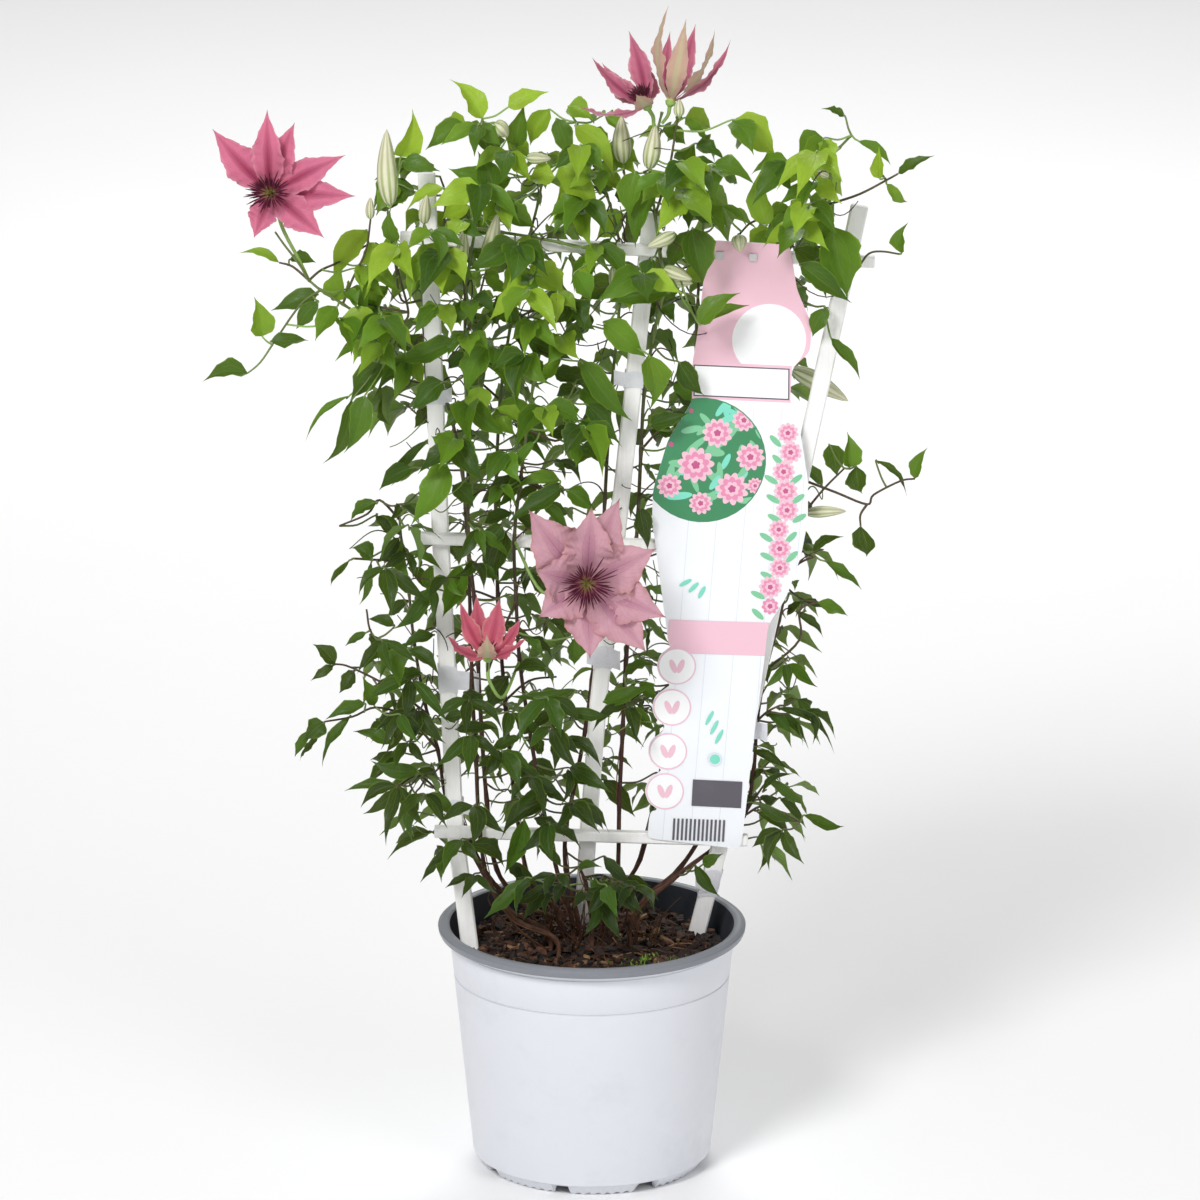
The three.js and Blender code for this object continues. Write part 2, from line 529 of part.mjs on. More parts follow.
// A closed three.js geometry as a solid
function solidFrom(geometry) {
  const bare = geometry.clone();
  bare.deleteAttribute("normal");
  bare.deleteAttribute("uv");
  const merged = mergeVertices(bare, 1e-4);
  const at = merged.attributes.position;
  const points = [];
  for (let i = 0; i < at.count; i++) points.push(new THREE.Vector3().fromBufferAttribute(at, i));
  const triangles = [];
  for (let i = 0; i < merged.index.count; i += 3)
    triangles.push([merged.index.getX(i), merged.index.getX(i + 1), merged.index.getX(i + 2)]);
  return solidOf(points, triangles.filter(([a, b, c]) => a !== b && b !== c && a !== c));
}

// A named mesh of a solid, with its colour
function meshOf(name, solid, colour, roughness = 0.6) {
  const data = solid.getMesh();
  const geometry = new THREE.BufferGeometry();
  geometry.setAttribute("position", new THREE.BufferAttribute(new Float32Array(data.vertProperties), 3));
  geometry.setIndex(new THREE.BufferAttribute(new Uint32Array(data.triVerts), 1));
  geometry.computeVertexNormals();
  const material = new THREE.MeshStandardMaterial({ color: colour, roughness, metalness: 0 });
  const mesh = new THREE.Mesh(geometry, material);
  mesh.name = name;
  return mesh;
}

// A solid skinned over rings of equal point counts, closed by a fan or, at its far end, in a point
function skin(rings, tip = null) {
  const points = rings.flat();
  const sides = rings[0].length;
  const triangles = [];
  for (let r = 0; r + 1 < rings.length; r++) {
    for (let k = 0; k < sides; k++) {
      const a = r * sides + k;
      const b = r * sides + ((k + 1) % sides);
      triangles.push([a, b, a + sides], [b, b + sides, a + sides]);
    }
  }
  const last = (rings.length - 1) * sides;
  for (let k = 1; k + 1 < sides; k++) {
    triangles.push([0, k + 1, k]);
    if (!tip) triangles.push([last, last + k, last + k + 1]);
  }
  if (tip) {
    const end = points.push(tip.clone()) - 1;
    for (let k = 0; k < sides; k++) triangles.push([last + k, last + ((k + 1) % sides), end]);
  }
  return solidOf(points, triangles);
}

// A round tube along points, its frames carried without twist, ending flat or in a point
function tube(points, radii, sides, tip = null) {
  const rings = [];
  let side = null;
  points.forEach((p, i) => {
    const before = points[Math.max(0, i - 1)];
    const after = points[Math.min(points.length - 1, i + 1)];
    const along = after.clone().sub(before).normalize();
    if (!side) side = Math.abs(along.z) > 0.9 ? new THREE.Vector3(1, 0, 0) : new THREE.Vector3(0, 0, 1);
    side = side.clone().addScaledVector(along, -side.dot(along)).normalize();
    const across = new THREE.Vector3().crossVectors(along, side);
    const ring = [];
    for (let k = 0; k < sides; k++) {
      const turn = (2 * Math.PI * k) / sides;
      ring.push(p.clone().addScaledVector(side, radii[i] * Math.cos(turn))
        .addScaledVector(across, radii[i] * Math.sin(turn)));
    }
    rings.push(ring);
  });
  return skin(rings, tip);
}

// The largest body of a solid, without its loose scraps
function largest(solid) {
  return solid.decompose().reduce((best, body) => (body.volume() > best.volume() ? body : best));
}

// A bar whose sections stay level, for the uprights
function upright(route, width, depth) {
  return skin(route.map(([x, y, z]) => [
    new THREE.Vector3(x - width / 2, y - depth / 2, z),
    new THREE.Vector3(x + width / 2, y - depth / 2, z),
    new THREE.Vector3(x + width / 2, y + depth / 2, z),
    new THREE.Vector3(x - width / 2, y + depth / 2, z),
  ]));
}

// A bar whose sections stay across x, for the crossbars
function rail(ends) {
  return skin(ends.map(([x, z]) => [
    new THREE.Vector3(x, RAIL_Y - RAIL_DEPTH / 2, z - RAIL_HEIGHT / 2),
    new THREE.Vector3(x, RAIL_Y + RAIL_DEPTH / 2, z - RAIL_HEIGHT / 2),
    new THREE.Vector3(x, RAIL_Y + RAIL_DEPTH / 2, z + RAIL_HEIGHT / 2),
    new THREE.Vector3(x, RAIL_Y - RAIL_DEPTH / 2, z + RAIL_HEIGHT / 2),
  ]));
}

// A box between two corners
function box(low, high) {
  const size = vector(high).sub(vector(low));
  const geometry = new THREE.BoxGeometry(size.x, size.y, size.z);
  geometry.translate((low[0] + high[0]) / 2, (low[1] + high[1]) / 2, (low[2] + high[2]) / 2);
  return solidFrom(geometry);
}

// The point where a route passes a height
function atHeight(route, z) {
  const i = route.findIndex((p, k) => k > 0 && p[2] >= z);
  const [a, b] = [route[i - 1], route[i]];
  const t = (z - a[2]) / (b[2] - a[2]);
  return [a[0] + (b[0] - a[0]) * t, a[1] + (b[1] - a[1]) * t, z];
}

// Inner radius of the pot wall at a height
function potInside(z) {
  const rise = (z - POT_SEAM_HEIGHT) / (POT_HEIGHT - POT_RIM_DROP - POT_SEAM_HEIGHT);
  return POT_SEAM_RADIUS + (POT_TOP_RADIUS - POT_SEAM_RADIUS) * rise - POT_WALL;
}

// The pot is one lathed shell with a groove, a rolled rim, a floor and a pad, and notches between its feet
function makePot() {
  const lip = POT_RIM_RADIUS - POT_RIM_WIDTH;
  const groove = potInside(POT_GROOVE_HEIGHT) + POT_WALL;
  const under = POT_HEIGHT - POT_RIM_DROP;
  const profile = [
    [0, 0], [POT_PAD_RADIUS, 0],
    [POT_PAD_RADIUS + 2, POT_FLOOR_UNDERSIDE], [POT_FOOT_RADIUS - 3, POT_FLOOR_UNDERSIDE],
    [POT_FOOT_RADIUS - 2, 0], [POT_FOOT_RADIUS, 0], [POT_SEAM_RADIUS, POT_SEAM_HEIGHT],
    [groove, POT_GROOVE_HEIGHT - 1], [groove - POT_GROOVE_DEPTH, POT_GROOVE_HEIGHT],
    [groove, POT_GROOVE_HEIGHT + 1],
    [POT_TOP_RADIUS, under], [POT_RIM_RADIUS - 1.2, under + 1], [POT_RIM_RADIUS, under + 4],
    [POT_RIM_RADIUS - 2, POT_HEIGHT], [lip + 1, POT_HEIGHT - 0.5], [lip, POT_HEIGHT - 3],
    [potInside(under - 2), under - 2], [potInside(POT_FLOOR_TOP), POT_FLOOR_TOP],
    [0, POT_FLOOR_TOP],
  ].map(([r, z]) => new THREE.Vector2(r, z));
  const lathe = new THREE.LatheGeometry(profile, POT_SIDES);
  lathe.rotateX(Math.PI / 2);
  const shell = solidFrom(lathe);
  const notches = [];
  for (let k = 0; k < POT_NOTCHES; k++) {
    const width = POT_NOTCH_WIDTH * (k % 2 ? 0.6 : 1);
    const notch = new THREE.BoxGeometry(20, width, 2 * POT_NOTCH_HEIGHT);
    notch.translate(POT_FOOT_RADIUS + 4, 0, 0);
    notch.rotateZ(((k + 0.65) * 2 * Math.PI) / POT_NOTCHES);
    notches.push(solidFrom(notch));
  }
  return shell.subtract(wasm.Manifold.union(notches));
}

// Height of the soil's top at a place
function soilHeight(x, y) {
  const r = Math.hypot(x, y);
  const mound = SOIL_MOUND * Math.max(0, 1 - r / 60);
  return SOIL_TOP + mound + SOIL_LUMP * (noise(Math.round(x * 7), Math.round(y * 7)) - 0.5);
}

// The soil fills the pot to a little under its rim
function makeSoil() {
  const top = [];
  const low = POT_FLOOR_TOP + GAP;
  const inside = (z) => potInside(z) * Math.cos(Math.PI / POT_SIDES) - GAP;
  const edge = inside(SOIL_TOP);
  const points = [new THREE.Vector3(0, 0, soilHeight(0, 0)), new THREE.Vector3(0, 0, low)];
  for (let r = 1; r <= SOIL_RINGS; r++) {
    for (let k = 0; k < SOIL_SIDES; k++) {
      const turn = (2 * Math.PI * (k + (r % 2) / 2)) / SOIL_SIDES;
      const radius = (edge * r) / SOIL_RINGS;
      const x = radius * Math.cos(turn);
      const y = radius * Math.sin(turn);
      const z = r === SOIL_RINGS ? SOIL_TOP - 1 : soilHeight(x, y);
      top.push(points.push(new THREE.Vector3(x, y, z)) - 1);
    }
  }
  const bottom = [];
  for (let k = 0; k < SOIL_SIDES; k++) {
    const turn = (2 * Math.PI * (k + (SOIL_RINGS % 2) / 2)) / SOIL_SIDES;
    const radius = inside(low);
    bottom.push(points.push(new THREE.Vector3(radius * Math.cos(turn), radius * Math.sin(turn), low)) - 1);
  }
  const triangles = [];
  const ring = (r, k) => top[(r - 1) * SOIL_SIDES + ((k + SOIL_SIDES) % SOIL_SIDES)];
  for (let k = 0; k < SOIL_SIDES; k++) {
    triangles.push([0, ring(1, k), ring(1, k + 1)]);
    for (let r = 1; r < SOIL_RINGS; r++) {
      const shift = r % 2;
      triangles.push([ring(r, k), ring(r + 1, k + shift), ring(r, k + 1)]);
      triangles.push([ring(r, k + 1), ring(r + 1, k + shift), ring(r + 1, k + shift + 1)]);
    }
    const next = (k + 1) % SOIL_SIDES;
    triangles.push([ring(SOIL_RINGS, k), bottom[k], ring(SOIL_RINGS, next)]);
    triangles.push([ring(SOIL_RINGS, next), bottom[k], bottom[next]]);
    triangles.push([1, bottom[next], bottom[k]]);
  }
  return solidOf(points, triangles);
}

// A flat plate in the picture plane from an outline of [x, z] points
function plate(outline, holes, backY, thickness) {
  const shape = new THREE.Shape(outline.map(([x, z]) => new THREE.Vector2(x, z)));
  shape.holes = holes.map((hole) => new THREE.Path(hole.map(([x, z]) => new THREE.Vector2(x, z))));
  const geometry = new THREE.ExtrudeGeometry(shape, { depth: thickness, bevelEnabled: false });
  geometry.rotateX(Math.PI / 2);
  geometry.translate(0, backY, 0);
  return solidFrom(geometry);
}

// Points of a regular polygon in the picture plane
function ringPoints([x, z], radius, count) {
  return Array.from({ length: count }, (_, k) => {
    const turn = (2 * Math.PI * (k + 0.5)) / count;
    return [x + radius * Math.cos(turn), z + radius * Math.sin(turn)];
  });
}

// The card's outline, with a round lobe beside each ring on its left edge
function cardOutline() {
  const lobes = CARD_LOBES.flatMap(([x, z]) => Array.from({ length: CARD_LOBE_POINTS }, (_, k) => {
    const turn = Math.PI * (1.4 - (0.8 * k) / (CARD_LOBE_POINTS - 1));
    return [x + CARD_LOBE_RADIUS * Math.cos(turn), z + CARD_LOBE_RADIUS * Math.sin(turn)];
  }));
  return [...CARD_OUTLINE, ...lobes, ...CARD_LEFT_EDGE];
}

function makeCard() {
  const holes = CARD_PIN_HOLES.map((at) => ringPoints(at, PIN_RADIUS + GAP, 6));
  holes.push(ringPoints(CARD_HOLE, CARD_HOLE_RADIUS, 6));
  return plate(cardOutline(), holes, CARD_BACK_Y, CARD_THICKNESS);
}

// A square-headed pin through the card into the top crossbar, with its round shank along y
function makePin([x, z], extra = 0) {
  const head = CARD_BACK_Y - CARD_THICKNESS - GAP;
  const shank = new THREE.CylinderGeometry(PIN_RADIUS + extra, PIN_RADIUS + extra, PIN_LENGTH, 6);
  shank.translate(x, head - 0.5 + PIN_LENGTH / 2, z);
  const round = solidFrom(shank);
  if (extra) return round;
  const half = PIN_HEAD / 2;
  return round.add(box([x - half, head - PIN_HEAD_THICKNESS, z - half], [x + half, head, z + half]));
}

// A tape wrapped round an upright, with the loose ends that stick out
function makeTape({ upright: name, z, height, flags }) {
  const route = UPRIGHTS[name];
  const [low, high] = [atHeight(route, z - height / 2), atHeight(route, z + height / 2)];
  const hole = [atHeight(route, z - height / 2 - 2), atHeight(route, z + height / 2 + 2)];
  const inner = upright(hole, UPRIGHT_WIDTH + 2 * GAP, UPRIGHT_DEPTH + 2 * GAP);
  const wide = 2 * (GAP + TAPE_THICKNESS);
  let band = upright([low, high], UPRIGHT_WIDTH + wide, UPRIGHT_DEPTH + wide);
  const centre = atHeight(route, z);
  const front = centre[1] - UPRIGHT_DEPTH / 2 - GAP;
  flags.forEach(([side, length, tall, drop]) => {
    const root = centre[0] + side * (UPRIGHT_WIDTH / 2 - 1.5);
    const end = centre[0] + side * (UPRIGHT_WIDTH / 2 + length);
    const [low, high] = [z - tall / 2, z + tall / 2];
    const outline = [[root, low], [end, low + drop], [end, high + drop], [root, high]];
    band = band.add(plate(outline, [], front, TAPE_THICKNESS));
  });
  return band.subtract(inner);
}

// What already stands somewhere, as sample points in a grid of cells, so that leaves can keep clear of it
class Crowd {
  constructor(cell) {
    this.cell = cell;
    this.cells = new Map();
  }

  place(p) {
    return [p.x, p.y, p.z].map((v) => Math.floor(v / this.cell));
  }

  add(points, owner, radius, blade = false) {
    points.forEach((p) => {
      const key = this.place(p).join();
      if (!this.cells.has(key)) this.cells.set(key, []);
      this.cells.get(key).push({ p, owner, radius, blade });
    });
  }

  // Whether points keep a gap to other owners, and a smaller one to their own owner's blades
  isClear(points, owner, gap, ownGap = 0) {
    return points.every((p) => {
      const [i, j, k] = this.place(p);
      for (let a = i - 1; a <= i + 1; a++)
        for (let b = j - 1; b <= j + 1; b++)
          for (let c = k - 1; c <= k + 1; c++)
            for (const other of this.cells.get([a, b, c].join()) ?? [])
              if (other.p.distanceTo(p) < this.needed(other, owner, gap, ownGap)) return false;
      return true;
    });
  }

  hasRoom(points, owner) {
    return this.isClear(points, owner, LEAF_CLEARANCE, OWN_LEAF_CLEARANCE);
  }

  needed(other, owner, gap, ownGap) {
    if (other.owner !== owner) return gap + other.radius;
    return other.blade ? ownGap : 0;
  }
}

// Points at an even step along a route
function along(route, step) {
  const found = [];
  for (let i = 0; i + 1 < route.length; i++) {
    const count = Math.max(1, Math.ceil(route[i].distanceTo(route[i + 1]) / step));
    for (let k = 0; k < count; k++) found.push(route[i].clone().lerp(route[i + 1], k / count));
  }
  found.push(route[route.length - 1].clone());
  return found;
}

// Half width of a leaf at a fraction of its length
function leafHalfWidth(width, t) {
  if (t < LEAF_SHOULDER) return (width / 2) * (t / LEAF_SHOULDER);
  if (t < LEAF_WAIST) {
    const past = (t - LEAF_SHOULDER) / (LEAF_WAIST - LEAF_SHOULDER);
    return (width / 2) * (1 - (1 - LEAF_WAIST_WIDTH) * past);
  }
  return (width / 2) * LEAF_WAIST_WIDTH * ((1 - t) / (1 - LEAF_WAIST));
}

// A leaf's axes: along its rib, across it, and out of its upper face
function leafAxes(leaf) {
  const rib = leaf.tip.clone().sub(leaf.base);
  const length = rib.length();
  rib.normalize();
  const across = new THREE.Vector3().crossVectors(rib, leaf.up).normalize();
  const up = new THREE.Vector3().crossVectors(across, rib).normalize();
  return { rib, across, up, length };
}

// A point of a leaf at a fraction of its length and a signed fraction of its half width
function leafPoint(leaf, axes, t, u) {
  const half = leafHalfWidth(leaf.width, t) * u;
  const lift = axes.length * LEAF_ARCH * 4 * t * (1 - t);
  return leaf.base.clone().addScaledVector(axes.rib, axes.length * t).addScaledVector(axes.across, half)
    .addScaledVector(axes.up, lift);
}

// Sample points over a leaf's blade
function leafSamples(leaf) {
  const axes = leafAxes(leaf);
  const rows = Math.max(2, Math.ceil(axes.length / LEAF_SAMPLE));
  const found = [];
  for (let i = 0; i <= rows; i++) {
    const t = i / rows;
    const cols = Math.ceil(leafHalfWidth(leaf.width, t) / LEAF_SAMPLE);
    for (let k = -cols; k <= cols; k++) found.push(leafPoint(leaf, axes, t, cols ? k / cols : 0));
  }
  return found;
}

// The curve of a petiole from the stem to the leaf's base, sagging a little
function petioleRoute(root, base) {
  const middle = root.clone().lerp(base, 0.5);
  middle.z -= 0.1 * root.distanceTo(base);
  return [root, middle, base];
}

// The nearest of some points
function nearest(points, target) {
  return points.reduce((best, p) => (p.distanceTo(target) < best.distanceTo(target) ? p : best));
}

// One row of leaf data as a leaf that faces the front and a little up, at a trial depth
function rowLeaf(row, index, shift) {
  const [bx, bz, tx, tz, width, y] = row;
  const lean = 12 * (noise(index, 3.1) - 0.5);
  return {
    base: new THREE.Vector3(bx, y + shift, bz),
    tip: new THREE.Vector3(tx, y + shift + lean, tz),
    up: new THREE.Vector3(0.9 * (noise(index, 5.7) - 0.5), -1, 0.55 + 0.5 * noise(index, 7.3)),
    width,
  };
}

// The three leaflets of a rule-placed leaf, and the end of its petiole
function fillLeaf(root, turn, seed, behind) {
  const slim = root.z < FILL_SLIM_BELOW ? FILL_SLIM : 1;
  const out = new THREE.Vector3(Math.cos(turn), Math.sin(turn), 0.25);
  const reach = 22 + 16 * noise(seed, 1.3);
  const end = root.clone().addScaledVector(out, reach);
  end.z -= 4;
  const face = new THREE.Vector3(out.x * 0.4, behind ? 0.8 : -0.9, 0.75);
  const leaflets = [0, 1.15, -1.15].map((swing, k) => {
    const way = turn + swing;
    const length = FILL_LENGTH * (k ? 0.85 : 1) * (0.8 + 0.4 * noise(seed, 2.9 + k));
    const droop = -0.35 - 0.7 * noise(seed, 6.1 + k);
    const rib = new THREE.Vector3(Math.cos(way), Math.sin(way), droop).normalize();
    return {
      base: end.clone().addScaledVector(rib, 1),
      tip: end.clone().addScaledVector(rib, length),
      up: face,
      width: FILL_WIDTH * slim * (k ? 0.85 : 1) * (0.8 + 0.4 * noise(seed, 9.7 + k)),
    };
  });
  return { root, end, leaflets };
}

// Everything that grows from one stem, kept clear of what stands there already
function growVine(vine, order, crowd) {
  const main = vine.main.map(vector);
  const sprigs = vine.sprigs.map((route) => route.map(vector));
  const stems = [main, ...sprigs].flatMap((route) => along(route, 3));
  const grown = { vine, main, sprigs, leaves: [], buds: [] };
  const petioleIsClear = (route) => crowd.isClear(along(route, 3).slice(2), vine.name, PETIOLE_CLEARANCE);
  const keep = (item, list, samples, route) => {
    crowd.add(samples, vine.name, 0, true);
    crowd.add(along(route, 3), vine.name, 1);
    list.push(item);
  };
  vine.buds.forEach((row, i) => {
    for (const shift of DEPTH_TRIES) {
      const bud = rowLeaf(row, order * 50 + i + 0.5, shift);
      const route = petioleRoute(nearest(stems, bud.base), bud.base);
      const samples = along([bud.base, bud.tip], 3);
      if (!crowd.isClear(samples, vine.name, 2 + bud.width / 2) || !petioleIsClear(route)) continue;
      keep({ ...bud, route }, grown.buds, samples, route);
      break;
    }
  });
  vine.leaves.forEach((row, i) => {
    for (const shift of DEPTH_TRIES) {
      const leaf = rowLeaf(row, order * 100 + i, shift);
      const route = petioleRoute(nearest(stems, leaf.base), leaf.base);
      const samples = leafSamples(leaf);
      if (!crowd.hasRoom(samples, vine.name) || !petioleIsClear(route)) continue;
      keep({ ...leaf, route }, grown.leaves, samples, route);
      break;
    }
  });
  return grown;
}

// Whether a leaf tip stays within the plant's spread
function isWithin({ x, y, z }) {
  return Math.abs(x - 5) < FILL_REACH && y > -FILL_FRONT && y < FILL_BACK && z > 160 && z < 655;
}

// Rule-placed leaves at the stem's joints, turned by the golden angle from joint to joint
function fillVine(grown, order, crowd) {
  const { vine, main, sprigs } = grown;
  const joints = [...main.slice(4, -1), ...sprigs.flatMap((route) => route.slice(1))];
  joints.forEach((root, i) => {
    const seed = order * 31 + i * 1.7;
    if (noise(seed, 4.4) > FILL[vine.name]) return;
    const behind = root.y > 20;
    for (let attempt = 0; attempt < 6; attempt++) {
      const turn = GOLDEN_ANGLE * (i + attempt) + order;
      const leaf = fillLeaf(root, turn, seed + attempt * 0.37, behind);
      const route = petioleRoute(root, leaf.end);
      const free = crowd.isClear(along(route, 3).slice(2), vine.name, PETIOLE_CLEARANCE)
        && leaf.leaflets.every((part) => crowd.hasRoom(leafSamples(part), vine.name));
      if (!free || !leaf.leaflets.every(({ tip }) => isWithin(tip))) continue;
      leaf.leaflets.forEach((part, k) => {
        crowd.add(leafSamples(part), vine.name, 0, true);
        grown.leaves.push({ ...part, route: k ? null : route });
      });
      crowd.add(along(route, 3), vine.name, 1);
      break;
    }
  });
}

// A leaf and its petiole as one lofted body with a keel: level above, thickest under the rib
function leafSolid(leaf) {
  const axes = leafAxes(leaf);
  const stations = leaf.width > SLIM_LEAF_WIDTH ? [LEAF_SHOULDER, LEAF_WAIST] : [LEAF_MIDDLE];
  const blade = stations.map((t, k) => ({
    centre: leafPoint(leaf, axes, t, 0),
    half: leafHalfWidth(leaf.width, t),
    keel: LEAF_THICKNESS * (k ? 0.85 : 1),
  }));
  const stalk = leaf.route ? stalkPoints(leaf.route) : [leaf.base];
  const slim = stalk.map((centre, i) => {
    const radius = i ? PETIOLE_RADIUS : PETIOLE_ROOT_RADIUS;
    return { centre, half: radius, keel: radius * 1.6 };
  });
  return loft([...slim, ...blade], leaf.tip, axes.across);
}

// The points of a petiole: its end where it is more than a few millimetres long, its bend where it is long
function stalkPoints([root, middle, end]) {
  const length = root.distanceTo(end);
  if (length < 6) return [root];
  return length < 18 ? [root, end] : [root, middle, end];
}

// A body lofted over triangular sections that ends in a point, its frames carried back from the tip
function loft(sections, tip, across) {
  const centres = [...sections.map((section) => section.centre), tip];
  let side = across.clone();
  const rings = sections.map(() => null);
  for (let i = sections.length - 1; i >= 0; i--) {
    const way = centres[i + 1].clone().sub(centres[Math.max(0, i - 1)]).normalize();
    side = side.clone().addScaledVector(way, -side.dot(way)).normalize();
    const up = new THREE.Vector3().crossVectors(side, way).normalize();
    const { centre, half, keel } = sections[i];
    rings[i] = [
      centre.clone().addScaledVector(side, half).addScaledVector(up, keel / 3),
      centre.clone().addScaledVector(side, -half).addScaledVector(up, keel / 3),
      centre.clone().addScaledVector(up, (-2 * keel) / 3),
    ];
  }
  return skin(rings, tip);
}

// A pointed bud with its stalk, as one spindle
function budSolid(bud) {
  const rib = bud.tip.clone().sub(bud.base);
  const stations = [[0.03, 0.4], [0.33, 1], [0.72, 0.6]];
  const stalk = stalkPoints(bud.route);
  const points = [...stalk, ...stations.map(([t]) => bud.base.clone().addScaledVector(rib, t))];
  const slim = stalk.map((_, i) => (i ? SPRIG_RADIUS : PETIOLE_ROOT_RADIUS));
  const radii = [...slim, ...stations.map(([, r]) => (r * bud.width) / 2)];
  return tube(points, radii, 4, bud.tip);
}

// Radii that run evenly from one end of a route to the other
function taper(count, from, to) {
  return Array.from({ length: count }, (_, i) => from + ((to - from) * i) / Math.max(1, count - 1));
}

// The first stretch of a stem, from under the soil's top
const rooted = (main) => [main[0].clone().setZ(SOIL_TOP - ROOTING_DEPTH), ...main];

function vineSolid(grown, stalks) {
  const route = rooted(grown.main);
  const pieces = [tube(route, taper(route.length, STEM_ROOT_RADIUS, STEM_TIP_RADIUS), 4)];
  grown.sprigs.forEach((sprig) => {
    const radii = [SPRIG_ROOT_RADIUS, ...taper(sprig.length - 1, SPRIG_RADIUS, SPRIG_TIP_RADIUS)];
    pieces.push(tube(sprig, radii, 3));
  });
  stalks.forEach((stalk) => pieces.push(tube(stalk, taper(stalk.length, SPRIG_RADIUS, STALK_RADIUS), 4)));
  grown.leaves.forEach((leaf) => pieces.push(leafSolid(leaf)));
  grown.buds.forEach((bud) => pieces.push(budSolid(bud)));
  return largest(wasm.Manifold.union(pieces).simplify(MERGE_TOLERANCE));
}

// A bloom's stalk ends just under its receptacle, in line with its axis

function bloomAxis(bloom) {
  return vector(bloom.facing).normalize();
}

function stalkRoute(bloom) {
  const axis = bloomAxis(bloom);
  const centre = vector(bloom.centre);
  return [
    ...bloom.stalk.map(vector),
    centre.clone().addScaledVector(axis, -8),
    centre.clone().addScaledVector(axis, -RECEPTACLE_BELOW - GAP),
  ];
}

// A sepal: an arched blade from the receptacle to its pointed tip, on one of two layers
function sepalSolid(bloom, tip, index, extra) {
  const axis = bloomAxis(bloom);
  const centre = vector(bloom.centre);
  const reach = vector(tip).sub(centre);
  const length = reach.length();
  const rib = reach.clone().normalize();
  const across = new THREE.Vector3().crossVectors(rib, axis).normalize();
  const up = new THREE.Vector3().crossVectors(across, rib).normalize();
  const width = bloom.width * (0.85 + 0.3 * noise(index, bloom.width));
  const layer = SEPAL_LAYER * (index % 2 ? 1 : -1);
  const thickness = SEPAL_THICKNESS / 2 + extra;
  const rings = [[0.03, 0.2], [0.3, 0.88], [0.56, 0.95], [0.97, 0.06]].map(([t, w], k) => {
    const lift = bloom.arch * length * 4 * t * (1 - t) + (k === 1 || k === 2 ? layer : 0);
    const middle = centre.clone().addScaledVector(rib, length * t).addScaledVector(up, lift);
    const half = (w * width) / 2 + extra;
    return [[half, 1], [-half, 1], [-half, -1], [half, -1]].map(([u, side]) => middle.clone()
      .addScaledVector(across, u).addScaledVector(up, side * thickness));
  });
  return skin(rings);
}

function makeBloom(bloom, extra = 0) {
  const axis = bloomAxis(bloom);
  const centre = vector(bloom.centre);
  const ends = [-RECEPTACLE_BELOW, RECEPTACLE_ABOVE].map((h) => centre.clone().addScaledVector(axis, h));
  const receptacle = tube(ends, [RECEPTACLE_RADIUS * 0.6, RECEPTACLE_RADIUS], 6);
  return wasm.Manifold.union([receptacle, ...bloom.tips.map((tip, i) => sepalSolid(bloom, tip, i, extra))])
    .simplify(MERGE_TOLERANCE);
}

// The stamens: slim spikes that fan out round the bloom's axis from one foot
function makeStamens(bloom) {
  const axis = bloomAxis(bloom);
  const side = new THREE.Vector3().crossVectors(axis, new THREE.Vector3(0.3, 0.2, 1)).normalize();
  const across = new THREE.Vector3().crossVectors(axis, side);
  const foot = vector(bloom.centre).addScaledVector(axis, RECEPTACLE_ABOVE + GAP);
  const at = (turn, radius, rise) => foot.clone().addScaledVector(axis, rise)
    .addScaledVector(side, radius * Math.cos(turn)).addScaledVector(across, radius * Math.sin(turn));
  const rings = [[], []];
  for (let k = 0; k < 2 * STAMEN_COUNT; k++) {
    const turn = (Math.PI * k) / STAMEN_COUNT;
    const length = STAMEN_LENGTH * (0.8 + 0.3 * noise(k, 8.8));
    const lean = Math.atan(bloom.spread * (0.55 + 0.45 * noise(k, bloom.width)));
    rings[0].push(at(turn, STAMEN_CORE_RADIUS, 0));
    rings[1].push(k % 2 ? at(turn, 0.5 * STAMEN_CORE_RADIUS, 4.4)
      : at(turn, STAMEN_CORE_RADIUS * 0.6 + length * Math.sin(lean), 2 + length * Math.cos(lean)));
  }
  return largest(skin(rings, at(0, 0, 5.4)).subtract(makeBloom(bloom, GAP)));
}

